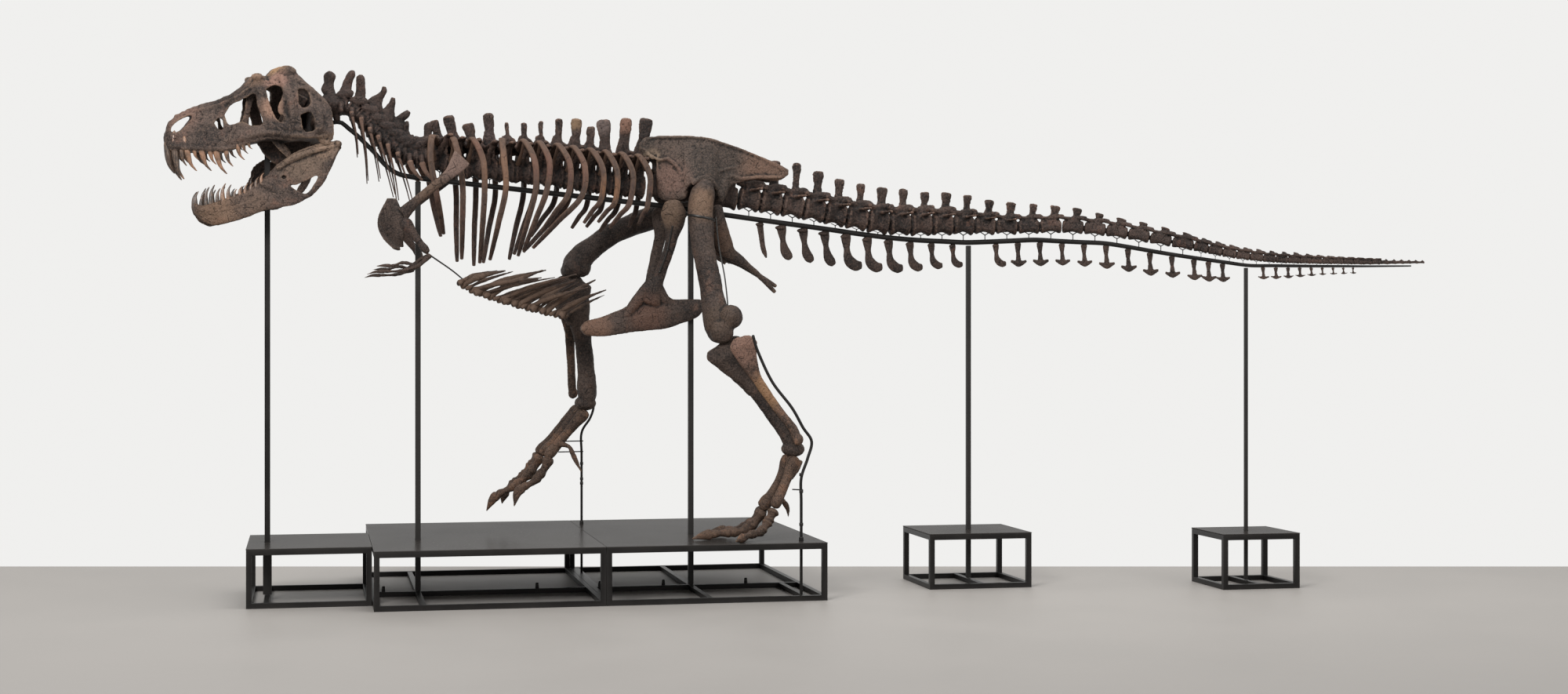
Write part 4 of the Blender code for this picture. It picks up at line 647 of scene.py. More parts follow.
def done(obj, finish, slot, *nodes):
    """Gives a piece its material, and ties it to the frame."""
    obj.data.materials.clear()
    obj.data.materials.append(finish)
    obj.data.polygons.foreach_set("use_smooth", [True] * len(obj.data.polygons))
    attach(obj, "root")
    if nodes:
        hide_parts(*nodes)
    return obj


def aged(obj, finish, nodes, voxel, lump, pit, smooth=2, slot="bone"):
    """Remeshes, eases and wears a piece, then finishes it."""
    remesh(obj, voxel, smooth)
    wear(obj, lump, pit)
    return done(obj, finish, slot, *nodes)


def bone(name, forms, finish, node, *looks, **more):
    return aged(mesh_object(name, forms), finish, [node], *looks, **more)


def row_of(name, templates, places, finish):
    """Copies of template forms, one for each (point, axes, size, kind), as one plain mesh."""
    group = bpy.data.collections.new(name + "_kinds")
    for k, forms in enumerate(templates):
        piece = mesh_object(f"kind_{k:02d}", forms, np.zeros(3))
        bpy.context.scene.collection.objects.unlink(piece)
        group.objects.link(piece)
    mesh = bpy.data.meshes.new(name)
    mesh.from_pydata([tuple(np.array(p) + HOME) for p, *_ in places], [], [])
    turns = [tuple(Matrix(np.array(axes).T.tolist()).to_euler()) for _, axes, *_ in places]
    for label, kind, values in (
        ("turn", "FLOAT_VECTOR", turns), (
            "size", "FLOAT_VECTOR", [row[2] for row in places],
        ), ("kind", "INT", [row[3] for row in places])
    ):
        held = mesh.attributes.new(label, kind, "POINT")
        held.data.foreach_set("value" if kind == "INT" else "vector", np.array(values).ravel())
    obj = link(bpy.data.objects.new(name, mesh))
    use_tree(obj, ROW_TREE, {"Pieces": group, "Material": finish})
    for piece in list(group.objects):
        bpy.data.objects.remove(piece)
    bpy.data.collections.remove(group)
    return obj


def join(obj, other):
    """Adds another object's mesh to this one's."""
    with bpy.context.temp_override(active_object=obj, selected_editable_objects=[obj, other]):
        bpy.ops.object.join()


def level_axes(way):
    """Axes for a piece on the spine: x along it, y across, z up from it."""
    x = unit(way)
    y = unit(np.cross(UP, x))
    return x, y, np.cross(x, y)


# ======== lines of the spine
def on(line, at, column=1):
    """A size read off rows that each start with their place."""
    rows = sorted(line)
    return float(np.interp(at, [row[0] for row in rows], [row[column] for row in rows]))


def tail_y(x):
    return on(TAIL_LINE, x)


def bar_z(x):
    return on(BAR_LINE, x)


def bar_half(x):
    return on(((-4.1, 0.018), (-3.5, 0.0225), (1.5, 0.0225), (3.8, 0.016), (5.3, 0.006)), x)


def in_plane(line):
    return [(x, SPINE_Y, z) for x, z in line]


def neck_marks():
    return along(in_plane(NECK_LINE + BACK_LINE[:1]), np.linspace(0.015, 0.985, NECK_COUNT + 1))


def back_marks():
    return along(in_plane(BACK_LINE), np.linspace(0.012, 0.99, BACK_COUNT + 1))


def tail_marks():
    short = TAIL_COUNT - LONG_TAIL_COUNT
    lengths = [1.0] * LONG_TAIL_COUNT + [0.66 - 0.37 * i / (short - 1) for i in range(short)]
    run = np.concatenate(((0.0,), np.cumsum(lengths)))
    return along(TAIL_LINE, run / run[-1])


def caudal_radius(x):
    radii = ((1.1, 0.111), (1.5, 0.09), (1.9, 0.07), (3.0, 0.057), (4.0, 0.037), (4.9, 0.024), (5.35, 0.012))
    return on(radii, x)


def caudal_drop(x):
    drops = ((1.1, 0.034), (1.5, 0.027), (1.9, 0.01), (3.0, 0.01), (4.0, 0.02), (4.9, 0.012), (5.3, 0.0))
    return on(drops, x)


def back_drop(x):
    return on(((-3.2, 0.007), (-3.0, 0.03), (-2.7, 0.055), (-1.4, 0.068)), x)


def between(marks):
    """For each pair of neighbouring marks: the point half-way, and the step from one to the next."""
    return [((a + b) / 2, b - a) for a, b in zip(marks, marks[1:])]


# ======== vertebrae
def spool(length, tall, wide, waist, rim=1.04):
    """A centrum along x, about its own middle: a rim at each end and a pinched waist with a keel below."""
    rows = (
        (0, 0.97, 0.97), (0.05, rim, rim), (0.2, 0.93, 0.92), (0.5, waist, waist), (0.8, 0.93, 0.92),
        (0.95, rim, rim), (1, 0.97, 0.97),
    )

    def keel(f, angle):
        return 1 + 0.07 * np.cos(3 * angle + 0.6) * np.sin(math.pi * f) + 0.02 * np.cos(5 * angle)

    half = 0.435 * length
    middle_line = [(-half, 0, 0), (0, 0, 0), (half, 0, 0)]
    return loft(middle_line, scaled(rows, wide, tall), 22, 22, (0, 1, 0), keel, blunt=0.1)


def post(base, top, half_long, half_thick, top_long, top_thick, notch=0.0):
    """A neural spine: a flat post that swells to a rough knob, which notch splits in two."""
    rows = (
        (0, half_thick, half_long), (0.3, 0.75 * half_thick, 0.74 * half_long),
        (0.58, 0.75 * half_thick, 0.72 * top_long),
        (0.8, 0.9 * top_thick, 0.92 * top_long), (0.93, top_thick, 1.04 * top_long),
        (1, 0.85 * top_thick, 0.88 * top_long),
    )
    middle = (np.array(base) + np.array(top)) / 2

    def knobbed(f, angle):
        high = np.clip((f - 0.66) / 0.25, 0, 1)
        return 1 + high * (
            0.1 * np.cos(3 * angle + 9 * f) - notch * np.exp(-(((angle - math.pi / 2) / 0.5) ** 2))
        )

    return loft([base, middle, top], rows, 16, 30, (0, 1, 0), knobbed, blunt=0.5)


def zygapophyses(length, radius, rise, reach, out=0.34, heavy=0.19):
    """The four facets that lock an arch to its neighbours."""
    forms = []
    for side in (-1, 1):
        front = [
            (0, side * out * radius, 0.92 * rise), (-0.4 * length, side * (out + 0.12) * radius, 1.02 * rise),
            (-reach * length, side * (out + 0.08) * radius, 1.12 * rise),
        ]
        rear = [
            (0, side * 0.8 * out * radius, 1.0 * rise), (0.36 * length, side * out * radius, 1.16 * rise),
            (0.52 * length, side * out * radius, 1.2 * rise),
        ]
        thin = heavy * radius
        forms.append(loft(
            front, scaled(((0, 1, 1.6), (0.6, 1, 1), (0.9, 1.3, 1.1), (1, 1, 0.6)), thin), 10, 14,
        ))
        forms.append(loft(rear, scaled(((0, 1, 1.8), (0.7, 1.1, 1.4), (1, 1.2, 1)), thin), 10, 12))
    return forms


def arch(length, radius, rise, long):
    """The pedicels and lamina over the centrum, open at the canal."""
    forms = []
    for side in (-1, 1):
        path = [
            (0.02 * length, side * 0.42 * radius, 0.55 * radius), (0.0, side * 0.4 * radius, 0.8 * rise),
            (0.02 * length, side * 0.12 * radius, 1.12 * rise),
        ]
        forms.append(loft(
            path,
            (
                (0, 0.16 * radius, long * length), (0.5, 0.14 * radius, 0.8 * long * length),
                (1, 0.2 * radius, long * length),
            ),
            12, 16,
        ))
    forms.append(loft(
        [(-long * length, 0, rise), (0.1 * length, 0, 1.1 * rise), (long * length, 0, 1.16 * rise)],
        scaled(((0, 0.3, 0.16), (0.5, 0.36, 0.22), (1, 0.3, 0.18)), radius), 12, 14,
    ))
    return forms


def side_wing(length, radius, rise, out, lift, sweep, long, thick):
    """The processes that stand out on both sides."""
    forms = []
    for side in (-1, 1):
        path = [
            (0.02 * length, side * 0.3 * radius, rise),
            (
                0.06 * length + 0.5 * sweep, side * (0.3 * radius + 0.5 * (out - 0.3 * radius)),
                rise + 0.6 * lift,
            ),
            (0.04 * length + sweep, side * out, rise + lift),
        ]
        rows = (
            (0, 1.9 * thick, 1.15 * long * length), (0.3, 1.2 * thick, 0.9 * long * length),
            (0.8, thick, 0.75 * long * length), (1, 1.1 * thick, 0.55 * long * length),
        )
        forms.append(loft(path, rows, 12, 20, (0, 0, 1)))
    return forms


def shifted(forms, axes, point):
    return [(points @ np.array(axes) + point, faces) for points, faces in forms]


# tops of the dorsal spines: place, height, half length and half thickness of the top
BACK_SPINES = (
    (-3.23, 4.01, 0.04, 0.026), (-3.115, 4.05, 0.052, 0.026), (-2.945, 3.99, 0.05, 0.024),
    (-2.779, 4.078, 0.05, 0.028),
    (-2.62, 4.005, 0.018, 0.014), (-2.475, 4.005, 0.03, 0.018), (-2.33, 4.022, 0.022, 0.016),
    (-2.176, 4.045, 0.036, 0.02),
    (-2.02, 4.048, 0.046, 0.022), (-1.905, 3.985, 0.04, 0.02), (-1.79, 4.046, 0.058, 0.026),
    (-1.6, 4.062, 0.056, 0.03), (-1.418, 4.064, 0.056, 0.026),
)


def build_back():
    """Thirteen dorsals: one template body set along the back, and on each a spine of its own."""
    length = 0.146
    body = [spool(length, 0.1, 0.106, 0.7, 1.05)] + arch(length, 0.105, 0.165, 0.36)
    body += zygapophyses(length, 0.105, 0.185, 0.6, 0.34, 0.22)
    body += side_wing(length, 0.105, 0.185, 0.235, 0.045, 0.03, 0.34, 0.015)
    for side in (-1, 1):
        strut = [(-0.02, 0.6 * side * 0.105, 0.05), (-0.012, side * 0.1, 0.125), (0.01, side * 0.15, 0.205)]
        body.append(loft(strut, ((0, 0.016, 0.03), (0.5, 0.01, 0.02), (1, 0.012, 0.024)), 10, 14))
        strut = [(0.035, 0.6 * side * 0.105, 0.06), (0.03, side * 0.095, 0.13), (0.022, side * 0.15, 0.205)]
        body.append(loft(strut, ((0, 0.012, 0.02), (0.5, 0.008, 0.012), (1, 0.01, 0.02)), 10, 14))
    places, spines = [], []
    for i, ((x, top, half, thick), (mid, way)) in enumerate(zip(BACK_SPINES, between(back_marks()))):
        long = np.linalg.norm(way)
        grow = (0.112 + 0.006 * i / BACK_COUNT) * BODY_FIT / TEMPLATE_RADIUS
        places.append((mid - back_drop(mid[0]) * UP, level_axes(way), (long / length, grow, grow), 0))
        base = (mid[0] + 0.02, SPINE_Y, mid[2] + 0.08)
        spines.append(post(
            base, (x, SPINE_Y, top - 0.4 * thick), 0.07, 0.026, 1.1 * half, 1.1 * thick, notch=0.3 * (i % 2),
        ))
        low = (mid[0] + 0.005, SPINE_Y, mid[2] + 0.1)
        web = (0.45 * mid[0] + 0.55 * x, SPINE_Y, 0.45 * (mid[2] + 0.1) + 0.55 * top)
        spines.append(loft([low, web], ((0, 0.016, 0.074), (0.5, 0.014, 0.066), (1, 0.012, 0.04)), 16, 18))
        hook = [
            (x - 0.01, SPINE_Y, mid[2] + 0.2), (x + 0.045, SPINE_Y, mid[2] + 0.215),
            (x + 0.075, SPINE_Y, mid[2] + 0.185),
        ]
        spines.append(loft(hook, ((0, 0.02, 0.026), (0.6, 0.022, 0.018), (1, 0.014, 0.01)), 12, 14))
    obj = row_of("back_vertebrae", [body], places, SPINE_BONE)
    join(obj, mesh_object("spines", spines))
    aged(obj, SPINE_BONE, ("trunk_left", "trunk_right"), 0.008, (0.05, 0.009), (0.022, 0.006))


# for each neck spine, from its foot to its top: x and z of its front edge, then of its rear edge
NECK_SPINES = (
    (
        (-4.16, 4.235, -4.04, 4.215), (-4.142, 4.305, -4.055, 4.29), (-4.139, 4.37, -4.04, 4.362),
        (-4.11, 4.4, -4.07, 4.398),
    ),
    (
        (-4.03, 4.16, -3.905, 4.19), (-3.995, 4.28, -3.905, 4.3), (-3.95, 4.385, -3.88, 4.37),
        (-3.915, 4.414, -3.885, 4.41),
    ),
    (
        (-3.925, 4.105, -3.79, 4.15), (-3.88, 4.23, -3.795, 4.24), (-3.875, 4.345, -3.8, 4.335),
        (-3.85, 4.378, -3.815, 4.375),
    ),
    (
        (-3.87, 4.08, -3.655, 4.09), (-3.76, 4.185, -3.655, 4.16), (-3.68, 4.235, -3.62, 4.24),
        (-3.66, 4.285, -3.628, 4.28),
    ),
    (
        (-3.69, 4.04, -3.555, 4.01), (-3.635, 4.115, -3.555, 4.09), (-3.605, 4.15, -3.548, 4.15),
        (-3.582, 4.195, -3.552, 4.19),
    ),
    (
        (-3.61, 3.95, -3.48, 3.93), (-3.56, 4.015, -3.475, 3.995), (-3.5, 4.065, -3.44, 4.03),
        (-3.452, 4.095, -3.42, 4.068),
    ),
    (
        (-3.55, 3.85, -3.425, 3.87), (-3.51, 3.92, -3.435, 3.925), (-3.49, 3.965, -3.435, 3.96),
        (-3.462, 3.998, -3.438, 3.995),
    ),
    (
        (-3.49, 3.765, -3.39, 3.795), (-3.462, 3.82, -3.392, 3.835), (-3.445, 3.86, -3.395, 3.862),
        (-3.42, 3.885, -3.4, 3.885),
    ),
    (
        (-3.33, 3.79, -3.24, 3.8), (-3.315, 3.88, -3.245, 3.89), (-3.312, 3.96, -3.235, 3.96),
        (-3.285, 3.992, -3.25, 3.992),
    ),
)
NECK_RIB_TIPS = ((-3.86, 3.7), (-3.78, 3.48), (-3.68, 3.5), (-3.56, 3.37), (-3.53, 3.32), (-3.42, 3.33))


def build_neck():
    """Nine cervicals: short bodies, sloping arches, knobbed spines, and ribs that end in thin rods."""
    forms, rods = [], []
    for i, (spine, (mid, way)) in enumerate(zip(NECK_SPINES, between(neck_marks()))):
        length = np.linalg.norm(way)
        radius = 0.08 + 0.03 * i / NECK_COUNT
        axes = level_axes(way)
        body = [spool(length, 0.9 * radius, 0.95 * radius, 0.74)] + arch(length, radius, 1.35 * radius, 0.34)
        forms += shifted(body, axes, mid)
        rows = []
        for (x0, z0, x1, z1), thick in zip(spine, (0.03, 0.02, 0.032, 0.024)):
            rows.append(((x0, SPINE_Y, z0), (x1, SPINE_Y, z1), 0.5 * thick, thick, 0.8 * thick))
        foot = mid + (0.95 * radius * axes[2] if i else np.array((-0.045, 0.0, 0.01)))
        rows.insert(0, (foot - 0.4 * way, foot + 0.42 * way, 0.022, 0.04, 0.022))
        forms.append(blade(rows, 50, 12))
        base = foot + 0.1 * way
        rise = unit(np.array((spine[1][0], SPINE_Y, spine[1][1])) - base)
        for side in (-1, 1):
            out = np.array((0.0, side, 0.0))
            saddle = [
                mid - 0.52 * way + 0.66 * radius * out + 0.8 * radius * axes[2],
                mid - 0.02 * way + 0.7 * radius * out + 1.18 * radius * axes[2],
                mid + 0.56 * way + 0.6 * radius * out + 1.55 * radius * axes[2],
            ]
            forms.append(loft(
                saddle,
                (
                    (0, 0.016, 0.02), (0.18, 0.02, 0.036), (0.5, 0.016, 0.034), (0.8, 0.022, 0.04),
                    (1, 0.014, 0.02),
                ),
                14, 24,
            ))
            brace = [
                mid + 0.55 * radius * out + 0.2 * radius * axes[2],
                mid + 0.05 * way + 0.7 * radius * out + 1.2 * radius * axes[2],
            ]
            forms.append(loft(
                [*brace, 0.4 * brace[1] + 0.6 * (base + 0.05 * rise)],
                ((0, 0.016, 0.034), (0.5, 0.012, 0.022), (1, 0.012, 0.028)), 12, 18,
            ))
            reach = 0.15 + 0.006 * i
            knuckle = mid + reach * out - 0.06 * UP
            stem = [mid + 0.5 * radius * out, mid + 0.7 * reach * out - 0.01 * UP, knuckle]
            forms.append(loft(
                stem, ((0, 0.03, 0.03), (0.6, 0.022, 0.028), (1, 0.02, 0.022 + 0.008 * math.sin(2.3 * i))),
                10, 14, (1, 0, 0),
            ))
            if 1 <= i <= len(NECK_RIB_TIPS):
                tip_x, tip_z = NECK_RIB_TIPS[i - 1]
                tip = np.array((tip_x, SPINE_Y + side * (reach + 0.02), tip_z))
                bend = knuckle + 0.45 * (tip - knuckle) + np.array((0.012, 0, -0.018))
                rows = (
                    (0, 0.019, 0.014), (0.12, 0.013, 0.013), (0.34, 0.0085, 0.0085), (0.6, 0.006, 0.006),
                    (1, 0.0042, 0.0042),
                )
                rods.append(loft(
                    [knuckle - 0.1 * (tip - knuckle), knuckle, bend, tip], rows, 10, 40, (1, 0, 0),
                ))
            elif i:
                path = [knuckle, knuckle + np.array((0.03, 0, -0.07)), knuckle + np.array((0.1, 0, -0.15))]
                rods.append(loft(
                    path, ((0, 0.026, 0.02), (0.5, 0.018, 0.014), (1, 0.01, 0.008)), 10, 20, (1, 0, 0),
                ))
    atlas = in_plane([(-4.118, 4.14), (-4.06, 4.125), (-4.0, 4.1)])
    forms.append(loft(
        atlas, ((0, 0.085, 0.07), (0.3, 0.1, 0.092), (0.7, 0.095, 0.088), (1, 0.07, 0.07)), 18, 20,
    ))
    forms.append(loft(
        in_plane([(-4.075, 4.14), (-4.045, 4.06), (-4.03, 3.995)]), ((0, 0.06, 0.05), (1, 0.03, 0.028)), 14,
        20,
    ))
    bone("neck_vertebrae", forms, SPINE_BONE, "neck", 0.0058, (0.05, 0.007), (0.022, 0.003))
    obj = mesh_object("neck_ribs", rods)
    wear(obj, (0.05, 0.0012), (0.015, 0.0004))
    done(obj, SPINE_BONE, "bone", "neck")


RIBS = (
    (1, -3.27, -3.238, -3.161, 3.043, 0.34, 0.22), (2, -3.038, -3.018, -3.017, 2.832, 0.42, 0.3),
    (3, -2.849, -2.844, -2.871, 2.799, 0.5, 0.34), (5, -2.677, -2.674, -2.788, 2.825, 0.54, 0.36),
    (6, -2.426, -2.43, -2.56, 2.858, 0.56, 0.42), (7, -2.303, -2.34, -2.516, 2.903, 0.56, 0.44),
    (8, -2.131, -2.157, -2.368, 3.06, 0.55, 0.46), (9, -2.007, -2.045, -2.436, 2.924, 0.54, 0.42),
    (10, -1.85, -1.876, -2.013, 3.136, 0.5, 0.44), (11, -1.724, -1.751, -1.889, 3.146, 0.45, 0.4),
    (12, -1.584, -1.624, -1.782, 3.104, 0.4, 0.34), (13, -1.43, -1.462, -1.53, 3.142, 0.34, 0.3),
)


RIB_ROWS = (
    (0.0, 0.026, 0.014), (0.05, 0.032, 0.017), (0.12, 0.031, 0.018), (0.22, 0.029, 0.017),
    (0.36, 0.03, 0.016),
    (0.52, 0.026, 0.014), (0.75, 0.023, 0.012), (0.93, 0.02, 0.01), (1.0, 0.015, 0.008),
)


def rib_path(rib, side):
    vertebra, shoulder, middle, tip, tip_z, wide, tip_out = rib
    head = between(back_marks())[vertebra - 1][0]
    x, z = head[0], head[2]
    path = [
        (x - 0.03, 0.05, z + 0.135), (x - 0.04 + 0.4 * (shoulder - x), 0.45 * wide + 0.05, z + 0.185),
        (shoulder - 0.006, 0.88 * wide, z + 0.005),
        (middle, wide, z - 0.24),
        (middle + 0.5 * (tip - middle), 0.94 * wide, z - 0.24 + 0.5 * (tip_z - z + 0.24)),
        (tip, tip_out, tip_z),
    ]
    return sided(path, side)


def build_ribs():
    """Twelve pairs: a forked head, a flattened shaft grooved along its rear, and a thin tip."""

    def grooved(f, angle):
        return 1 - 0.16 * np.exp(-(
            ((angle - math.pi) / 0.5) ** 2
        )) * np.sin(math.pi * np.minimum(1, f * 1.4)) + 0.03 * np.cos(2 * angle + 9 * f)

    for side, word in SIDES:
        forms = []
        for rib in RIBS:
            path = rib_path(rib, side)
            forms.append(loft(path, RIB_ROWS, 14, 72, (1, 0, 0), grooved))
            start, second = np.array(path[0]), np.array(path[1])
            head = start + np.array((-0.02, side * 0.045, -0.13))
            forms.append(loft(
                [
                    head, (head + second) / 2 + np.array((0, 0, -0.02)),
                    second + np.array((0, side * 0.03, -0.012)),
                ],
                ((0, 0.022, 0.018), (0.5, 0.013, 0.012), (1, 0.016, 0.012)), 10, 18, (1, 0, 0),
            ))
        obj = mesh_object(f"ribs_{word}", forms)
        wear(obj, (0.05, 0.0025), (0.014, 0.0008))
        done(obj, RIB_BONE, "bone", f"trunk_{word}")


CAUDAL_TOPS = (
    (-0.154, 3.715), (0.001, 3.676), (0.219, 3.58), (0.417, 3.541), (0.652, 3.497), (0.788, 3.499),
    (0.931, 3.48), (1.132, 3.455), (1.356, 3.463), (1.559, 3.419), (1.719, 3.386), (1.953, 3.368),
    (2.144, 3.357), (2.45, 3.32), (2.72, 3.246), (2.98, 3.194), (3.24, 3.128), (3.49, 3.047),
    (3.75, 2.978), (4.02, 2.941), (4.29, 2.92), (4.56, 2.893), (4.9, 2.872), (5.3, 2.858),
)


def build_tail():
    """Forty-three caudals: spools with side processes in front, plain rods behind, in two lengths."""
    length = 0.194
    front = [spool(length, 0.1, 0.1, 0.7, 1.11)] + arch(length, 0.105, 0.12, 0.32)
    front += zygapophyses(length, 0.105, 0.132, 0.62, 0.26, 0.23) + side_wing(
        length, 0.105, 0.085, 0.205, 0.015, 0.055, 0.15, 0.012,
    )
    middle = [spool(length, 0.1, 0.096, 0.74, 1.09)] + arch(length, 0.105, 0.118, 0.32)
    middle += zygapophyses(length, 0.11, 0.135, 0.7, 0.22, 0.22)
    rear = [spool(length, 0.1, 0.092, 0.84, 1.05)] + arch(length, 0.105, 0.105, 0.34)
    rear += zygapophyses(length, 0.16, 0.135, 0.95, 0.2, 0.17)
    for name, first, last, nodes, voxel, lump, pit in (
        ("tail_vertebrae_front", 0, 15, ("tail_1", "tail_2"), 0.0073, 0.009, 0.0055),
        (
            "tail_vertebrae_rear", 15, TAIL_COUNT, ("tail_2", "tail_3", "tail_4", "tail_5"), 0.0047, 0.003,
            0.0014,
        ),
    ):
        places, spines = [], []
        for i, (mid, way) in list(enumerate(between(tail_marks())))[first:last]:
            long = np.linalg.norm(way)
            radius = caudal_radius(mid[0])
            kind = 0 if i < 13 else 1 if i < 20 else 2 if i < TAIL_COUNT - 6 else 3
            grow = radius * BODY_FIT / TEMPLATE_RADIUS
            places.append((
                mid - caudal_drop(mid[0]) * UP, level_axes(way), (long / length, grow, grow), kind,
            ))
            x = mid[0] + (0.045 if i < 4 else 0.22 * long)
            top = on(CAUDAL_TOPS, x)
            half = min(0.047, 0.24 * long) * (1.0 + 0.12 * math.sin(2.3 * i))
            base = (
                mid[0] + 0.1 * long, tail_y(mid[0] + 0.1 * long), mid[2] + 0.5 * radius - caudal_drop(mid[0]),
            )
            thick = max(0.004, 0.15 * radius)
            spines.append(post(
                base, (x, tail_y(x), top - 0.3 * thick), 1.25 * half, thick, half, 1.25 * thick,
            ))
        obj = row_of(name, [front, middle, rear, rear[:1]], places, TAIL_BONE)
        join(obj, mesh_object("spines", spines))
        aged(obj, TAIL_BONE, nodes, voxel, (0.05, lump), (0.02, pit))


def chevron_drop(i):
    drops = (
        (0, 0.52), (3, 0.5), (8, 0.41), (12, 0.35), (18, 0.335), (21, 0.29), (25, 0.2), (30, 0.135),
        (43, 0.05),
    )
    return on(drops, i)


def chevron_kinds():
    """Chevrons of unit height, hanging from the origin: rod, paddle, boot, and a boot spread both ways."""
    rod = [loft(
        [(0, 0, 0), (0.05, 0, -0.35), (0.1, 0, -0.7), (0.2, 0, -1)],
        ((0, 0.05, 0.11), (0.12, 0.045, 0.1), (0.5, 0.035, 0.085), (0.85, 0.035, 0.08), (1, 0.02, 0.035)), 12,
        26,
    )]
    paddle = [loft(
        [(0, 0, 0), (0.04, 0, -0.4), (0.12, 0, -0.75), (0.28, 0, -0.96)],
        (
            (0, 0.06, 0.15), (0.12, 0.05, 0.15), (0.4, 0.035, 0.085), (0.75, 0.05, 0.16), (0.92, 0.05, 0.15),
            (1, 0.03, 0.09),
        ),
        12, 30,
    )]
    boot = [loft(
        [(0, 0, 0), (0.03, 0, -0.35), (0.1, 0, -0.72), (0.34, 0, -0.9), (0.58, 0, -0.9)],
        (
            (0, 0.08, 0.19), (0.1, 0.07, 0.19), (0.32, 0.05, 0.115), (0.62, 0.07, 0.2), (0.85, 0.06, 0.18),
            (1, 0.04, 0.12),
        ),
        12, 34,
    )]
    both = [
        loft(
            [(0, 0, 0), (0.02, 0, -0.45), (0.06, 0, -0.85)],
            ((0, 0.08, 0.22), (0.15, 0.07, 0.2), (0.5, 0.05, 0.13), (1, 0.05, 0.2)), 12, 20,
        ),
        loft(
            [(-0.42, 0, -0.8), (0.06, 0, -0.92), (0.55, 0, -0.8)],
            ((0, 0.03, 0.07), (0.5, 0.07, 0.17), (1, 0.03, 0.07)), 12, 24,
        ),
    ]
    return [
        [*rod, ball((0, 0, -0.03), (0.13, 0.1, 0.06))],
        [*paddle, ball((-0.03, 0, -0.04), (0.17, 0.12, 0.07))],
        [*boot, ball((-0.03, 0, -0.04), (0.18, 0.12, 0.07))], both,
    ]


def build_chevrons():
    """Thirty-four chevrons, hung a little under the steel bar on short wires."""
    places, wires = [], []
    for i, (x, y, z) in enumerate(tail_marks()[1 : CHEVRON_COUNT + 1]):
        if any(abs(x + 0.02 - spot) < 0.085 for spot in TAIL_POLES):
            continue
        half = bar_half(x)
        top = bar_z(x) - half - 0.35 * half
        bottom = min(z - chevron_drop(i), bar_z(x) - 1.5 * half - 0.02)
        tall = top - bottom
        ahead = unit((0.2, tail_y(x + 0.1) - tail_y(x - 0.1), 0))
        axes = (ahead, np.cross(UP, ahead), UP)
        kind = 0 if i < 1 else 1 if i < 4 else 2 if i < 12 else 3
        wide = tall * (1.0 if i < 4 else 0.84 if i < 12 else min(1.25, 0.055 / tall + 0.45))
        places.append(((x, y, top), axes, (wide, 0.75 * tall if i < 12 else 0.9 * wide, tall), kind))
        wires.append(((x, y, bar_z(x) - half), axes, (0.003, 0.003, top - bar_z(x) + half - 0.004), 0))
    obj = row_of("chevrons", chevron_kinds(), places, BONE)
    aged(obj, BONE, TAIL_BARS, 0.0046, (0.04, 0.0025), (0.012, 0.0012))
    link_form = loft([(0, 0, -4.0 / 3), (0, 0, 0), (0, 0, 1)], even(1), 8, 4)
    obj = row_of("chevron_wires", [[link_form]], wires, WIRE_STEEL)
    done(obj, WIRE_STEEL, "steel", *TAIL_BARS)


# ======== steel under the spine
def build_bar():
    """The bar under the spine, with a forked pin under each vertebra of the tail."""
    line = []
    for x in np.concatenate((np.linspace(-4.07, -3.4, 30), np.linspace(-3.36, 5.24, 130))):
        line.append((x, tail_y(x) if x > -0.62 else SPINE_Y, bar_z(x)))
    line = np.array(line)
    halves = [
        (f, bar_half(x), bar_half(x))
        for f, x in zip(
            np.linspace(0, 1, 12), np.interp(np.linspace(0, 1, 12), np.linspace(0, 1, len(line)), line[:, 0]),
        )
    ]
    obj = mesh_object("spine_bar", [loft(line[::3], halves, 16, 240, blunt=0.3)])
    done(obj, STEEL, "steel", "stand_neck_bar", "stand_back_bar", *TAIL_BARS)
    pins = []
    for mid, way in between(tail_marks())[:CHEVRON_COUNT]:
        low = bar_z(mid[0])
        top = mid[2] - caudal_drop(mid[0]) - 0.7 * caudal_radius(mid[0])
        if top - low > bar_half(mid[0]) + 0.004:
            size = (0.26 * way[0], 0.5 * caudal_radius(mid[0]), top - low)
            pins.append(((mid[0], tail_y(mid[0]), low), np.eye(3), size, 0))
    pin = [loft([(0, 0, 0), (0, 0, 0.5), (0, 0, 0.78)], even(0.085), 8, 4)]
    for side in (-1, 1):
        pin.append(loft(
            [(0, 0, 0.68), (0.2 * side, 0.2 * side, 0.8), (0.9 * side, 0.6 * side, 1.02)], even(0.06), 8, 10,
        ))
    obj = row_of("tail_pins", [pin], pins, WIRE_STEEL)
    done(obj, WIRE_STEEL, "steel", *TAIL_BARS)
    pins = []
    for mid, _ in between(back_marks()):
        tall = max(0.03, mid[2] - back_drop(mid[0]) - 0.06 - bar_z(mid[0]))
        pins.append(((mid[0], SPINE_Y, bar_z(mid[0])), np.eye(3), (0.05, 0.05, tall), 0))
    obj = row_of("back_pins", [pin], pins, WIRE_STEEL)
    done(obj, WIRE_STEEL, "steel", "stand_back_bar")


# ======== hips
ILIUM_ROWS = (
    (-1.5, 3.835, 3.785), (-1.45, 3.889, 3.715), (-1.345, 3.905, 3.69), (-1.332, 3.908, 3.375),
    (-1.13, 3.912, 3.36), (-1.104, 3.909, 3.44), (-1.04, 3.905, 3.505), (-0.975, 3.9, 3.525),
    (-0.89, 3.894, 3.505), (-0.812, 3.873, 3.342), (-0.765, 3.862, 3.373), (-0.69, 3.835, 3.49),
    (-0.46, 3.753, 3.54), (-0.285, 3.685, 3.533), (-0.195, 3.632, 3.59),
)


def ilium_flare(x, top, bottom):
    """How near the socket a place is, and how far out the lower edge stands there."""
    socket = math.exp(-(((x + 0.98) / 0.26) ** 2))
    return socket, 0.115 + 0.125 * socket * min(1.0, 1.2 * (top - bottom) / 0.54)


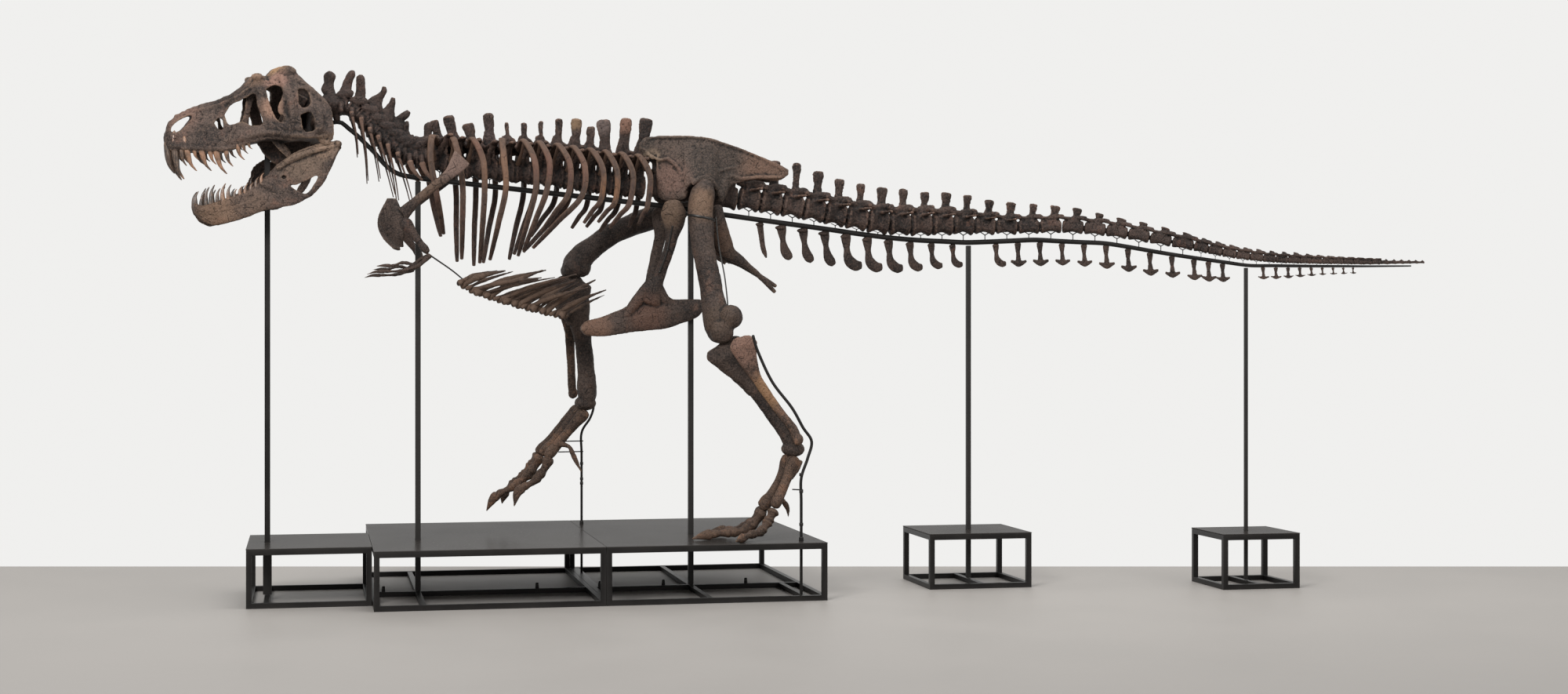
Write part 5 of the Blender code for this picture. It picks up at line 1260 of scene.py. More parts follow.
def ilium_point(x, share, proud):
    """A point on the outer face of the blade: share 0 at its top edge and 1 at its lower edge."""
    top, bottom = on(ILIUM_ROWS, x, 1), on(ILIUM_ROWS, x, 2)
    low_out = ilium_flare(x, top, bottom)[1]
    return (x, 0.105 + (low_out - 0.105) * share + proud, top + (bottom - top) * share)


# raised lines on the outer face of the blade: places along it and shares of its depth, half width and height
ILIUM_RIDGES = (
    ([(-1.47, 0.6), (-1.43, 0.8), (-1.385, 0.98)], 0.013, 0.01),
    (
        [(-1.48, 0.3), (-1.4, 0.07), (-1.2, 0.025), (-0.95, 0.02), (-0.7, 0.03), (-0.45, 0.06), (-0.24, 0.3)],
        0.011, 0.004,
    ),
    (
        [
            (-1.4, 0.85), (-1.33, 0.4), (-1.26, 0.38), (-1.19, 0.48), (-1.13, 0.64), (-1.08, 0.84),
            (-1.03, 0.97),
        ],
        0.014, 0.016,
    ),
    ([(-1.3, 0.52), (-1.31, 0.72), (-1.28, 0.93)], 0.018, 0.004),
    ([(-1.27, 0.94), (-1.2, 0.8), (-1.13, 0.93)], 0.02, 0.006),
    ([(-1.06, 0.98), (-0.98, 0.97), (-0.9, 0.97), (-0.84, 0.9)], 0.026, 0.012),
    ([(-0.98, 0.85), (-0.99, 0.5), (-1.0, 0.15)], 0.024, 0.004),
    ([(-0.82, 0.9), (-0.8, 0.72), (-0.72, 0.7), (-0.62, 0.86), (-0.45, 0.9), (-0.26, 0.88)], 0.016, 0.01),
    ([(-0.86, 0.66), (-0.62, 0.52), (-0.42, 0.46)], 0.01, 0.004),
    ([(-1.18, 0.3), (-1.05, 0.34), (-0.92, 0.24), (-0.8, 0.3)], 0.009, 0.003),
)


def build_hips():
    """Each hip blade is a thin sheet, thick at the socket, with raised lines on its outer face."""
    for side, word in SIDES:
        rows = []
        for x, top, bottom in ILIUM_ROWS:
            socket, low_out = ilium_flare(x, top, bottom)
            foot = 0.046 if bottom < 3.45 else 0.016 + 0.022 * socket
            rows.append(((x, 0.105, top), (x, low_out, bottom), 0.014, 0.016 + 0.01 * socket, foot))
        forms = [sided_blade(rows, side, 90, 16)]
        for points, half, proud in ILIUM_RIDGES:
            path = sided([ilium_point(x, share, 0.01 + proud) for x, share in points], side)
            rows = scaled(((0, 0.5, 0.8), (0.5, 0.9, 1.2), (1, 0.5, 0.8)), half)
            forms.append(loft(path, rows, 12, 40))
        bone(
            f"hip_blade_{word}", forms, HIP_BONE, f"ilium_{word}", 0.0072, (0.09, 0.008), (0.024, 0.004),
            slot="ilium_bone",
        )
        build_pubis(side, word)
        build_ischium(side, word)
    build_sacrum()


def build_sacrum():
    marks = along(in_plane([(-1.405, 3.48), (-1.0, 3.427), (-0.632, 3.376)]), 6)
    forms = []
    for mid, way in between(marks):
        length = np.linalg.norm(way)
        body = [spool(length * 1.1, 0.1, 0.074, 0.86)] + arch(length, 0.09, 0.14, 0.4)
        forms += shifted(body, level_axes(way), mid)
        top = on(((-1.36, 3.865), (-1.0, 3.875), (-0.67, 3.785)), mid[0])
        forms.append(post(
            (mid[0], SPINE_Y, mid[2] + 0.08), (mid[0] + 0.02, SPINE_Y, top), 0.06, 0.016, 0.066, 0.015,
        ))
    bone("sacrum_vertebrae", forms, BONE, "sacrum", 0.0085, (0.07, 0.006), (0.02, 0.003), 3)


def build_pubis(side, word):
    """A shaft from the socket down to a long boot, with a narrow steel strap down its front."""
    path = (
        (-1.225, 0.205, 3.318), (-1.214, 0.19, 3.128), (-1.255, 0.15, 2.913), (-1.315, 0.095, 2.729),
        (-1.39, 0.06, 2.48),
    )
    profile = (
        (0, 0.046, 0.08), (0.08, 0.055, 0.115), (0.2, 0.042, 0.092), (0.32, 0.032, 0.052),
        (0.62, 0.032, 0.046),
        (0.82, 0.036, 0.056), (1, 0.03, 0.085),
    )
    if side > 0:
        path = [(x - 0.055 * math.sin(math.pi * k / 4), out, z) for k, (x, out, z) in enumerate(path)]
    forms = [loft(sided(path, side), profile, 18, 60)]
    boot = (
        (-1.988, 2.272, 2.238), (-1.94, 2.318, 2.194), (-1.8, 2.36, 2.185), (-1.645, 2.421, 2.205),
        (-1.538, 2.467, 2.222), (-1.273, 2.5, 2.25), (-1.11, 2.508, 2.3), (-0.974, 2.507, 2.36),
        (-0.92, 2.485, 2.452),
    )
    rows = []
    for x, top, bottom in boot:
        out = 0.036 + 0.026 * max(0.0, min(1.0, (x + 1.5) / 0.35))
        rows.append(((x, out, top), (x, out, bottom), 0.016, 0.03, 0.02))
    forms.append(sided_blade(rows, side, 60, 14))
    for heel in ((-1.2, 0.055, 2.47), (-1.6, 0.05, 2.37)):
        web = sided([(-1.36, 0.075, 2.66), (0.5 * (heel[0] - 1.36), 0.06, 2.52), heel], side)
        forms.append(loft(web, ((0, 0.028, 0.05), (0.5, 0.026, 0.05), (1, 0.022, 0.03)), 12, 16))
    bone(f"pubis_bone_{word}", forms, LEG_BONE, f"pubis_{word}", 0.0078, (0.11, 0.006), (0.02, 0.002), 3)
    strap_line = sided([(x - 0.016, out + 0.04, z) for x, out, z in path[1:4]], side)
    strap = loft(strap_line, even(0.003, 0.007), 8, 40)
    clips = [
        ball(along(strap_line, [f])[0], (0.01, 0.01, 0.007), sides=12, rows=8)
        for f in (0.02, 0.5, 0.97)
    ]
    done(mesh_object(f"pubis_strap_{word}", [strap, *clips]), WIRE_STEEL, "steel")


def build_ischium(side, word):
    path = (
        (-0.845, 0.2, 3.285), (-0.815, 0.185, 3.12), (-0.74, 0.15, 2.925), (-0.61, 0.105, 2.84),
        (-0.46, 0.06, 2.735 + 0.006 * side),
        (-0.29 + 0.012 * side, 0.04, 2.602 + 0.026 * side),
    )
    profile = (
        (0, 0.042, 0.056), (0.15, 0.04, 0.072), (0.34, 0.028, 0.078), (0.5, 0.026, 0.05),
        (0.64, 0.022, 0.028), (0.96, 0.018, 0.021), (1, 0.016, 0.018),
    )
    forms = [loft(sided(path, side), profile, 16, 60)]
    keel = (
        ((-0.79, 0.165, 3.17), (-0.865, 0.155, 3.13), 0.014, 0.018, 0.01),
        ((-0.75, 0.15, 2.99), (-0.88, 0.13, 2.935), 0.016, 0.018, 0.01),
        ((-0.68, 0.12, 2.88), (-0.715, 0.105, 2.805), 0.014, 0.014, 0.01),
    )
    forms.append(sided_blade(keel, side, 30, 10))
    bone(f"ischium_bone_{word}", forms, LEG_BONE, f"ischium_{word}", 0.0075, (0.09, 0.004), (0.02, 0.002), 3)


# ======== legs
FEMUR_PROFILE = (
    (0.0, 0.058, 0.072), (0.05, 0.088, 0.108), (0.16, 0.092, 0.112), (0.34, 0.084, 0.104),
    (0.55, 0.08, 0.096),
    (0.74, 0.086, 0.1), (0.87, 0.108, 0.116), (0.95, 0.12, 0.114), (1.0, 0.095, 0.085),
)
TIBIA_PROFILE = (
    (0.0, 0.08, 0.13), (0.06, 0.105, 0.19), (0.15, 0.09, 0.165), (0.32, 0.07, 0.092), (0.52, 0.064, 0.076),
    (0.74, 0.07, 0.078), (0.88, 0.092, 0.088), (0.96, 0.102, 0.084), (1.0, 0.08, 0.06),
)
FIBULA_PROFILE = (
    (0, 0.028, 0.085), (0.05, 0.04, 0.128), (0.16, 0.034, 0.088), (0.35, 0.026, 0.044), (0.75, 0.024, 0.036),
    (1, 0.028, 0.04),
)
LEGS = {
    "left": (
        -1,
        (
            (-0.95, 0.275, 3.48), (-0.998, 0.305, 3.323), (-1.0, 0.34, 3.122), (-0.985, 0.38, 2.907),
            (-0.945, 0.42, 2.677), (-0.925, 0.45, 2.524), (-0.905, 0.48, 2.372), (-0.884, 0.5, 2.2),
        ),
        ((-0.955, 0.3, 3.4), (-0.965, 0.2, 3.412), (-0.97, 0.09, 3.414)),
        (
            ((-0.872, 0.42, 2.232), 0.1), ((-0.868, 0.575, 2.228), 0.104), ((-0.8, 0.43, 2.34), 0.092),
            ((-0.79, 0.575, 2.35), 0.104),
        ),
        (
            (-0.8, 0.5, 2.105), (-0.765, 0.5, 2.05), (-0.691, 0.51, 1.933), (-0.561, 0.53, 1.75),
            (-0.418, 0.55, 1.54), (-0.3, 0.57, 1.382), (-0.243, 0.58, 1.25),
        ),
        (
            (-0.712, 0.655, 2.168), (-0.668, 0.655, 2.013), (-0.583, 0.655, 1.831), (-0.412, 0.66, 1.582),
            (-0.292, 0.69, 1.425), (-0.24, 0.712, 1.3),
        ),
    ),
    "right": (
        1,
        (
            (-1.01, 0.31, 3.335), (-1.217, 0.36, 3.268), (-1.393, 0.44, 3.197), (-1.528, 0.5, 3.145),
            (-1.664, 0.55, 3.079), (-1.785, 0.59, 2.991), (-1.905, 0.63, 2.89), (-2.01, 0.66, 2.755),
        ),
        ((-1.02, 0.31, 3.32), (-1.005, 0.21, 3.372), (-0.975, 0.1, 3.41)),
        (
            ((-1.985, 0.575, 2.79), 0.088), ((-1.985, 0.735, 2.79), 0.082), ((-1.905, 0.59, 2.79), 0.082),
            ((-1.905, 0.725, 2.79), 0.078),
        ),
        (
            (-2.02, 0.66, 2.67), (-2.012, 0.66, 2.6), (-1.986, 0.67, 2.5), (-1.923, 0.7, 2.354),
            (-1.857, 0.76, 1.989), (-1.839, 0.8, 1.74), (-1.831, 0.83, 1.6),
        ),
        (
            (-2.035, 0.81, 2.56), (-2.005, 0.815, 2.389), (-1.98, 0.85, 2.11), (-1.96, 0.91, 1.801),
            (-1.945, 0.945, 1.66),
        ),
    ),
}


def build_legs():
    """A thigh, a shin and a splint on each side, with swollen ends."""
    def ridged(f, angle):
        return 1 + 0.05 * np.cos(2 * angle + 1.0) + 0.05 * np.exp(-(
            ((f - 0.38) / 0.08) ** 2
        )) * np.cos(angle + 2.2)

    def crested(f, angle):
        return 1 + 0.1 * np.exp(-(((f - 0.12) / 0.1) ** 2)) * np.cos(angle - 1.2) + 0.03 * np.cos(3 * angle)

    head = ((0, 0.07, 0.078), (0.45, 0.084, 0.086), (0.8, 0.088, 0.09), (1, 0.066, 0.068))
    for word, (side, femur, neck, condyles, tibia, fibula) in LEGS.items():
        forms = [
            loft(sided(femur, side), FEMUR_PROFILE, 24, 90, lobes=ridged),
            loft(sided(neck, side), head, 18, 26, (0, 0, 1)),
        ]
        for (x, out, z), size in condyles:
            forms.append(ball(sided([(x, out, z)], side)[0], (size, 0.75 * size, size)))
        for (front, size), (back, _) in zip(condyles[:2], condyles[2:]):
            web = [
                np.array(back), (np.array(back) + front) / 2, np.array(front),
                0.5 * (np.array(front) + femur[-2]),
            ]
            forms.append(loft(
                sided(web, side), ((0, 0.55 * size, 0.7 * size), (1, 0.78 * size, 0.88 * size)), 16, 24,
            ))
        bone(f"femur_bone_{word}", forms, LEG_BONE, f"femur_{word}", 0.0085, (0.1, 0.01), (0.024, 0.004), 9)
        forms = [loft(sided(tibia, side), TIBIA_PROFILE, 24, 80, lobes=crested)]
        knee, below, ankle = np.array(tibia[0]), np.array(tibia[2]), np.array(tibia[-1])
        ahead = unit(np.cross((0, 1, 0), below - knee))
        crest = []
        for run, reach, thick in (
            (-0.26, 0.18, 0.02), (0.0, 0.212, 0.03), (0.5, 0.182, 0.028), (1.3, 0.125, 0.022),
            (2.2, 0.08, 0.014),
        ):
            spot = knee + run * (below - knee)
            crest.append((spot + reach * ahead, spot, thick, 1.3 * thick, 1.6 * thick))
        forms.append(sided_blade(crest, side, 50, 12))
        for push in (-0.045, 0.045):
            heel = ankle + 0.018 * ahead + np.array((0, push, -0.004))
            forms.append(ball(sided([heel], side)[0], (0.094, 0.056, 0.066)))
        bone(f"tibia_bone_{word}", forms, LEG_BONE, f"tibia_{word}", 0.008, (0.1, 0.009), (0.024, 0.004), 4)
        foot = np.array(fibula[-1])
        forms = [
            loft(sided(fibula, side), FIBULA_PROFILE, 18, 60),
            ball(sided([foot + (0, 0, 0.02)], side)[0], (0.044, 0.03, 0.052)),
        ]
        bone(
            f"fibula_bone_{word}", forms, SHIN_BONE, f"fibula_{word}", 0.0066, (0.08, 0.006), (0.018, 0.0025),
        )


METATARSAL_PROFILE = (
    (0, 0.04, 0.054), (0.06, 0.044, 0.06), (0.16, 0.04, 0.052), (0.45, 0.034, 0.04), (0.8, 0.038, 0.044),
    (0.92, 0.047, 0.052), (1, 0.04, 0.044),
)
FEET = {
    "left": (
        -1,
        (
            ((-0.3, 0.572, 1.155), (-0.359, 0.592, 1.004), (-0.455, 0.6, 0.836), (-0.512, 0.6, 0.748)),
            ((-0.265, 0.64, 1.15), (-0.315, 0.662, 1.02), (-0.378, 0.685, 0.885), (-0.435, 0.7, 0.775)),
            ((-0.272, 0.506, 1.15), (-0.33, 0.516, 1.01), (-0.425, 0.5, 0.85), (-0.5, 0.48, 0.765)),
        ),
        ((-0.205, 0.64, 1.13), (-0.235, 0.65, 1.07), (-0.285, 0.66, 0.99)),
        ((-0.42, 0.48, 0.85), (-0.335, 0.47, 0.8), (-0.285, 0.475, 0.735), (-0.274, 0.48, 0.64)),
        (
            (
                (
                    (-0.525, 0.48, 0.69), (-0.58, 0.465, 0.62), (-0.69, 0.42, 0.555), (-0.84, 0.355, 0.532),
                    (-0.975, 0.3, 0.494),
                ),
                2, 0.053, 0.043,
            ),
            (
                (
                    (-0.552, 0.6, 0.68), (-0.6, 0.6, 0.612), (-0.7, 0.6, 0.552), (-0.88, 0.6, 0.535),
                    (-1.0, 0.6, 0.524), (-1.125, 0.6, 0.494),
                ),
                3, 0.056, 0.042,
            ),
            (
                (
                    (-0.47, 0.715, 0.692), (-0.515, 0.74, 0.622), (-0.58, 0.78, 0.556), (-0.665, 0.83, 0.54),
                    (-0.73, 0.875, 0.524), (-0.822, 0.945, 0.494),
                ),
                4, 0.052, 0.037,
            ),
        ),
    ),
    "right": (
        1,
        (
            ((-1.88, 0.857, 1.53), (-2.01, 0.88, 1.385), (-2.13, 0.895, 1.235), (-2.215, 0.9, 1.15)),
            ((-1.905, 0.925, 1.535), (-2.04, 0.952, 1.39), (-2.16, 0.98, 1.24), (-2.24, 0.995, 1.16)),
            ((-1.862, 0.795, 1.505), (-1.985, 0.815, 1.36), (-2.1, 0.822, 1.22), (-2.18, 0.805, 1.13)),
        ),
        ((-1.89, 0.912, 1.485), (-1.95, 0.917, 1.415), (-2.015, 0.927, 1.352)),
        ((-2.09, 0.8, 1.235), (-2.0, 0.76, 1.205), (-1.965, 0.745, 1.13), (-1.888, 0.74, 0.972)),
        (
            (
                (
                    (-2.19, 0.795, 1.07), (-2.225, 0.79, 1.0), (-2.31, 0.76, 0.905), (-2.45, 0.715, 0.825),
                    (-2.494, 0.69, 0.69),
                ),
                2, 0.051, 0.042,
            ),
            (
                (
                    (-2.262, 0.9, 1.085), (-2.3, 0.9, 1.02), (-2.38, 0.9, 0.925), (-2.5, 0.9, 0.842),
                    (-2.64, 0.9, 0.765), (-2.72, 0.9, 0.637),
                ),
                3, 0.054, 0.041,
            ),
            (
                (
                    (-2.272, 1.0, 1.095), (-2.315, 1.02, 1.03), (-2.385, 1.05, 0.94), (-2.48, 1.085, 0.86),
                    (-2.542, 1.105, 0.765), (-2.565, 1.12, 0.682),
                ),
                4, 0.05, 0.037,
            ),
        ),
    ),
}


def toe(path, bones, start, end):
    """A toe: separate phalanges with swollen ends, and a curved claw."""
    forms = []
    path = [
        np.array(path[0]) + 0.45 * (np.array(path[0]) - np.array(path[1])), *path[1:],
    ] if bones > 1 else path
    for i in range(bones):
        size = start + (end - start) * i / max(bones - 1, 1)
        a, b = i / (bones + 1) + 0.004, (i + 1) / (bones + 1) - 0.004
        line = along(path, np.linspace(a, b, 6))
        rows = (
            (0, 0.84, 0.9), (0.12, 1.04, 1.08), (0.34, 0.76, 0.76), (0.6, 0.64, 0.64), (0.84, 0.96, 0.92),
            (1, 0.8, 0.76),
        )
        forms.append(loft(line, scaled(rows, size), 14, 26, blunt=0.45))
    first = bones / (bones + 1) + 0.004
    line = along(path, np.linspace(first, 1.0, 6))
    rows = ((0, 0.8, 1.05), (0.15, 0.84, 1.12), (0.5, 0.52, 0.78), (0.85, 0.2, 0.3), (1, 0.1, 0.13))
    forms.append(loft(line, scaled(rows, end), 14, 26, blunt=0.3))
    return forms


def build_feet():
    for word, (side, bones, splint, hallux, toes) in FEET.items():
        forms = [loft(sided(path, side), METATARSAL_PROFILE, 18, 44) for path in bones]
        forms.append(loft(
            sided(splint, side), ((0, 0.018, 0.02), (0.5, 0.018, 0.022), (1, 0.01, 0.012)), 12, 24,
        ))
        forms += toe(sided(hallux, side), 1, 0.026, 0.022)
        bone(
            f"metatarsals_{word}", forms, FOOT_BONE, f"metatarsus_{word}", 0.0058, (0.06, 0.004),
            (0.014, 0.0015),
        )
        forms = []
        for path, count, start, end in toes:
            forms += toe(sided(path, side), count, start, end)
        bone(f"toes_{word}", forms, FOOT_BONE, f"foot_{word}", 0.005, (0.05, 0.003), (0.012, 0.0013))


# ======== shoulders and arms
def build_arms():
    for side, word in SIDES:
        scapula = [
            ((-3.096, 0.578, 3.712), (-2.968, 0.578, 3.6), 0.01, 0.012, 0.01),
            ((-3.122, 0.578, 3.65), (-3.008, 0.578, 3.555), 0.012, 0.015, 0.012),
            ((-3.181, 0.576, 3.533), (-3.125, 0.576, 3.466), 0.012, 0.018, 0.012),
            ((-3.316, 0.545, 3.416), (-3.27, 0.545, 3.358), 0.016, 0.022, 0.016),
            ((-3.436, 0.505, 3.316), (-3.382, 0.505, 3.258), 0.018, 0.024, 0.018),
            ((-3.54, 0.45, 3.236), (-3.462, 0.455, 3.15), 0.02, 0.026, 0.024),
        ]
        coracoid = [
            ((-3.634, 0.41, 3.322), (-3.556, 0.43, 3.318), 0.012, 0.016, 0.012),
            ((-3.682, 0.37, 3.215), (-3.505, 0.44, 3.196), 0.012, 0.018, 0.028),
            ((-3.688, 0.34, 3.122), (-3.482, 0.44, 3.092), 0.012, 0.018, 0.028),
            ((-3.642, 0.31, 3.021), (-3.5, 0.42, 3.008), 0.012, 0.016, 0.018),
            ((-3.56, 0.29, 2.938), (-3.495, 0.35, 2.924), 0.01, 0.013, 0.012),
        ]
        forms = [sided_blade(scapula, side, 60, 12), sided_blade(coracoid, side, 30, 12)]
        bone(
            f"shoulder_blade_{word}", forms, SHOULDER_BONE, f"scapula_{word}", 0.0058, (0.08, 0.003),
            (0.018, 0.0015),
        )
        humerus = ((-3.5, 0.505, 3.13), (-3.44, 0.515, 3.045), (-3.381, 0.525, 2.965), (-3.318, 0.54, 2.885))
        rows = (
            (0, 0.03, 0.044), (0.1, 0.038, 0.058), (0.35, 0.028, 0.04), (0.75, 0.024, 0.028),
            (0.92, 0.036, 0.036), (1, 0.028, 0.028),
        )
        bone(
            f"upper_arm_{word}", [loft(sided(humerus, side), rows, 16, 40)], BONE, f"humerus_{word}", 0.0048,
            (0.05, 0.003), (0.012, 0.001),
        )
        elbow, wrist = (-3.3, 0.545, 2.845), (-3.43, 0.525, 2.752)
        forms = [
            loft(
                sided([elbow, (-3.345, 0.552, 2.798), (-3.395, 0.546, 2.76), wrist], side),
                ((0, 0.024, 0.026), (0.4, 0.015, 0.017), (1, 0.019, 0.021)), 14, 30,
            ),
            loft(
                sided([elbow, (-3.36, 0.522, 2.822), (-3.405, 0.514, 2.786), wrist], side),
                ((0, 0.022, 0.022), (0.4, 0.013, 0.014), (1, 0.018, 0.02)), 14, 30,
            ),
        ]
        for path in (
            (
                (-3.42, 0.52, 2.77), (-3.5, 0.5, 2.79), (-3.59, 0.49, 2.765), (-3.66, 0.485, 2.766),
                (-3.727, 0.48, 2.76),
            ),
            (
                (-3.42, 0.535, 2.75), (-3.52, 0.54, 2.722), (-3.65, 0.545, 2.715), (-3.73, 0.547, 2.712),
                (-3.8, 0.55, 2.69),
            ),
        ):
            forms += toe(sided(path, side), 2, 0.018, 0.015)
        bone(f"lower_arm_{word}", forms, BONE, f"forearm_{word}", 0.0036, (0.04, 0.0018), (0.01, 0.0008))


# ======== belly ribs
# share of the way back along the belly, then how far back and how far up a rod reaches
BELLY_ROWS = ((0.0, 0.32, 0.15), (0.15, 0.58, 0.19), (0.5, 0.5, 0.25), (0.8, 0.38, 0.28), (1.0, 0.36, 0.22))


def build_gastralia():
    """Twelve pairs of spindle-shaped rods: clubbed where they cross in the midline, thin where they end."""
    line = ((-3.0, 2.625), (-2.892, 2.56), (-2.74, 2.505), (-2.494, 2.432), (-2.261, 2.372), (-2.1, 2.34))
    marks = along(in_plane(line), 24)
    spindle = [loft(
        [(0, 0, 0), (0.33, 0.0, 0.02), (0.66, 0.0, 0.015), (1, 0, 0)],
        (
            (0, 0.019, 0.021), (0.05, 0.028, 0.03), (0.13, 0.016, 0.017), (0.4, 0.022, 0.023),
            (0.62, 0.015, 0.016), (0.82, 0.009, 0.01), (1, 0.005, 0.005),
        ),
        12, 44,
    )]
    places = []
    for i, at in enumerate(marks):
        side = -1 if i % 2 else 1
        share = i / (len(marks) - 1)
        reach, rise = on(BELLY_ROWS, share, 1), on(BELLY_ROWS, share, 2)
        start = at + np.array((-0.03, -side * 0.03, 0.008))
        stray = 0.038 * math.sin(3.7 * i) + 0.022 * math.sin(8.3 * i)
        reach *= 1 + 0.2 * math.sin(5.1 * i)
        way = at + np.array((
            (1 - 2.0 * abs(stray)) * reach, side * 0.6 * reach, rise + stray - 0.025,
        )) - start
        long = np.linalg.norm(way)
        thick = 1.0 + 0.3 * math.sin(2.1 * i)
        places.append((start, level_axes(way), (0.99 * long, thick, thick), 0))
    obj = row_of("belly_ribs", [spindle], places, BELLY_BONE)
    wear(obj, (0.05, 0.005), (0.016, 0.0015))
    done(obj, BELLY_BONE, "bone", "gastralia")


# ======== head
DORSAL_LINE = (
    (1.408, -0.205), (1.383, -0.1), (1.295, -0.022), (1.182, 0.036), (1.078, 0.075), (0.984, 0.103),
    (0.88, 0.156), (0.796, 0.218), (0.72, 0.307), (0.673, 0.322), (0.6, 0.308), (0.542, 0.373),
    (0.5, 0.393), (0.4, 0.39), (0.345, 0.345), (0.26, 0.25), (0.153, 0.16), (0.105, 0.08),
)
VENTRAL_LINE = (
    (1.408, -0.245), (1.383, -0.33), (1.25, -0.326), (0.96, -0.332), (0.842, -0.294), (0.727, -0.246),
    (0.609, -0.219), (0.443, -0.232), (0.342, -0.215), (0.236, -0.211), (0.105, -0.215),
)
HALF_WIDTH_LOW = (
    (1.408, 0.04), (1.37, 0.08), (1.28, 0.115), (1.05, 0.155), (0.85, 0.19), (0.65, 0.255), (0.45, 0.325),
    (0.25, 0.355), (0.1, 0.345),
)
HALF_WIDTH_TOP = (
    (1.408, 0.025), (1.37, 0.045), (1.2, 0.055), (0.95, 0.075), (0.8, 0.105), (0.7, 0.165), (0.6, 0.16),
    (0.48, 0.215),
    (0.38, 0.22), (0.25, 0.235), (0.1, 0.26),
)
NARIS = ((1.365, -0.185), (1.35, -0.13), (1.285, -0.07), (1.2, -0.035), (1.215, -0.08), (1.29, -0.165))
MAXILLARY = ((1.03, -0.098), (0.999, -0.058), (0.963, -0.065), (0.96, -0.136), (0.99, -0.15))
ANTORBITAL = (
    (0.946, -0.03), (0.905, 0.04), (0.86, 0.08), (0.79, 0.112), (0.712, 0.15), (0.7, 0.06), (0.66, -0.09),
    (0.745, -0.112), (0.809, -0.08), (0.861, -0.096), (0.922, -0.105),
)
ORBIT = (
    (0.625, 0.19), (0.612, 0.105), (0.57, -0.035), (0.529, -0.085), (0.492, -0.06), (0.52, 0.07), (0.5, 0.19),
    (0.555, 0.225),
)
TEMPORAL_UPPER = ((0.384, 0.195), (0.305, 0.185), (0.29, 0.07), (0.372, 0.05))
TEMPORAL_LOWER = ((0.372, -0.02), (0.285, 0.0), (0.262, -0.14), (0.35, -0.145))
ROOF_WINDOW = ((0.36, 0.07), (0.345, 0.165), (0.215, 0.185), (0.19, 0.08))
UPPER_TEETH = (
    (1.364, 0.04, 1.349, 0.175), (1.313, 0.08, 1.288, 0.225), (1.272, 0.103, 1.272, 0.12),
    (1.231, 0.115, 1.175, 0.165),
    (1.18, 0.125, 1.17, 0.075), (1.118, 0.135, 1.061, 0.16), (1.056, 0.142, 1.03, 0.105),
    (1.004, 0.15, 0.937, 0.18),
    (0.931, 0.162, 0.9, 0.125), (0.843, 0.18, 0.806, 0.1), (0.801, 0.188, 0.785, 0.065),
    (0.764, 0.196, 0.749, 0.045),
)
JAW_UPPER = (
    (0.047, -0.235), (0.105, -0.222), (0.213, -0.246), (0.326, -0.28), (0.432, -0.334), (0.549, -0.425),
    (0.621, -0.51),
    (0.684, -0.575), (0.771, -0.637), (0.864, -0.68), (0.964, -0.714), (1.055, -0.752), (1.12, -0.765),
    (1.19, -0.738),
)
JAW_LOWER = (
    (0.047, -0.272), (0.1, -0.4), (0.18, -0.57), (0.27, -0.676), (0.369, -0.734), (0.43, -0.762),
    (0.6, -0.791),
    (0.698, -0.824), (0.797, -0.867), (0.876, -0.894), (0.954, -0.915), (1.034, -0.927),
    (1.111, -0.9), (1.149, -0.853), (1.19, -0.768),
)
JAW_OUT = (
    (0.047, 0.3), (0.3, 0.3), (0.5, 0.262), (0.7, 0.21), (0.9, 0.15), (1.05, 0.095), (1.15, 0.055),
    (1.19, 0.032),
)
JAW_THICK = ((0.05, 0.03), (0.3, 0.022), (0.6, 0.028), (1.0, 0.032), (1.19, 0.02))
JAW_WINDOW = (
    (0.468, -0.59), (0.4, -0.588), (0.305, -0.542), (0.235, -0.51), (0.218, -0.545), (0.24, -0.605),
    (0.31, -0.66),
    (0.38, -0.65),
)


def skull_point(forward, left, up):
    return SKULL_AT + forward * SKULL_FORWARD + left * SKULL_LEFT + up * UP


def from_side(forward, up, left):
    return skull_point(forward, left, up)


def skull_line(points, sign):
    """Points on one side of the head, given as forward, outwards and up."""
    return [skull_point(forward, sign * out, up) for forward, out, up in points]


def skull_blade(rows, sign, steps, cells):
    return blade([(*skull_line(row[:2], sign), *row[2:]) for row in rows], steps, cells)


def skull_half(f, inset=0.0):
    """Half the head's outline across, from palate to roof: (out, up) pairs."""
    top, bottom = on(DORSAL_LINE, f) - inset, on(VENTRAL_LINE, f) + inset * 0.8
    wide, roof = on(HALF_WIDTH_LOW, f) - inset, max(on(HALF_WIDTH_TOP, f) - inset, 0.012)
    tall = top - bottom
    cheek = roof + (wide - roof) * 0.62
    return [
        (wide * 0.9, bottom), (wide, bottom + 0.16 * tall), (cheek, bottom + 0.58 * tall),
        (roof, top - 0.1 * tall), (roof * 0.45, top),
    ]


def skull_ring(f, inset=0.0):
    half = skull_half(f, inset)
    ring = half + [(-y, z) for y, z in half[::-1]]
    ring = ring[::-1]
    fine = []
    for (y0, z0), (y1, z1) in zip(ring, ring[1:] + ring[:1]):
        fine += [(y0 + (y1 - y0) * t, z0 + (z1 - z0) * t) for t in (0.0, 0.33, 0.67)]
    return [skull_point(f, y, z) for y, z in fine]


def cheek(f, up, sign, proud):
    """A point on the side of the head."""
    half = skull_half(f)
    out = on([(z, y) for y, z in half], up)
    return skull_point(f, sign * (out + proud), up)


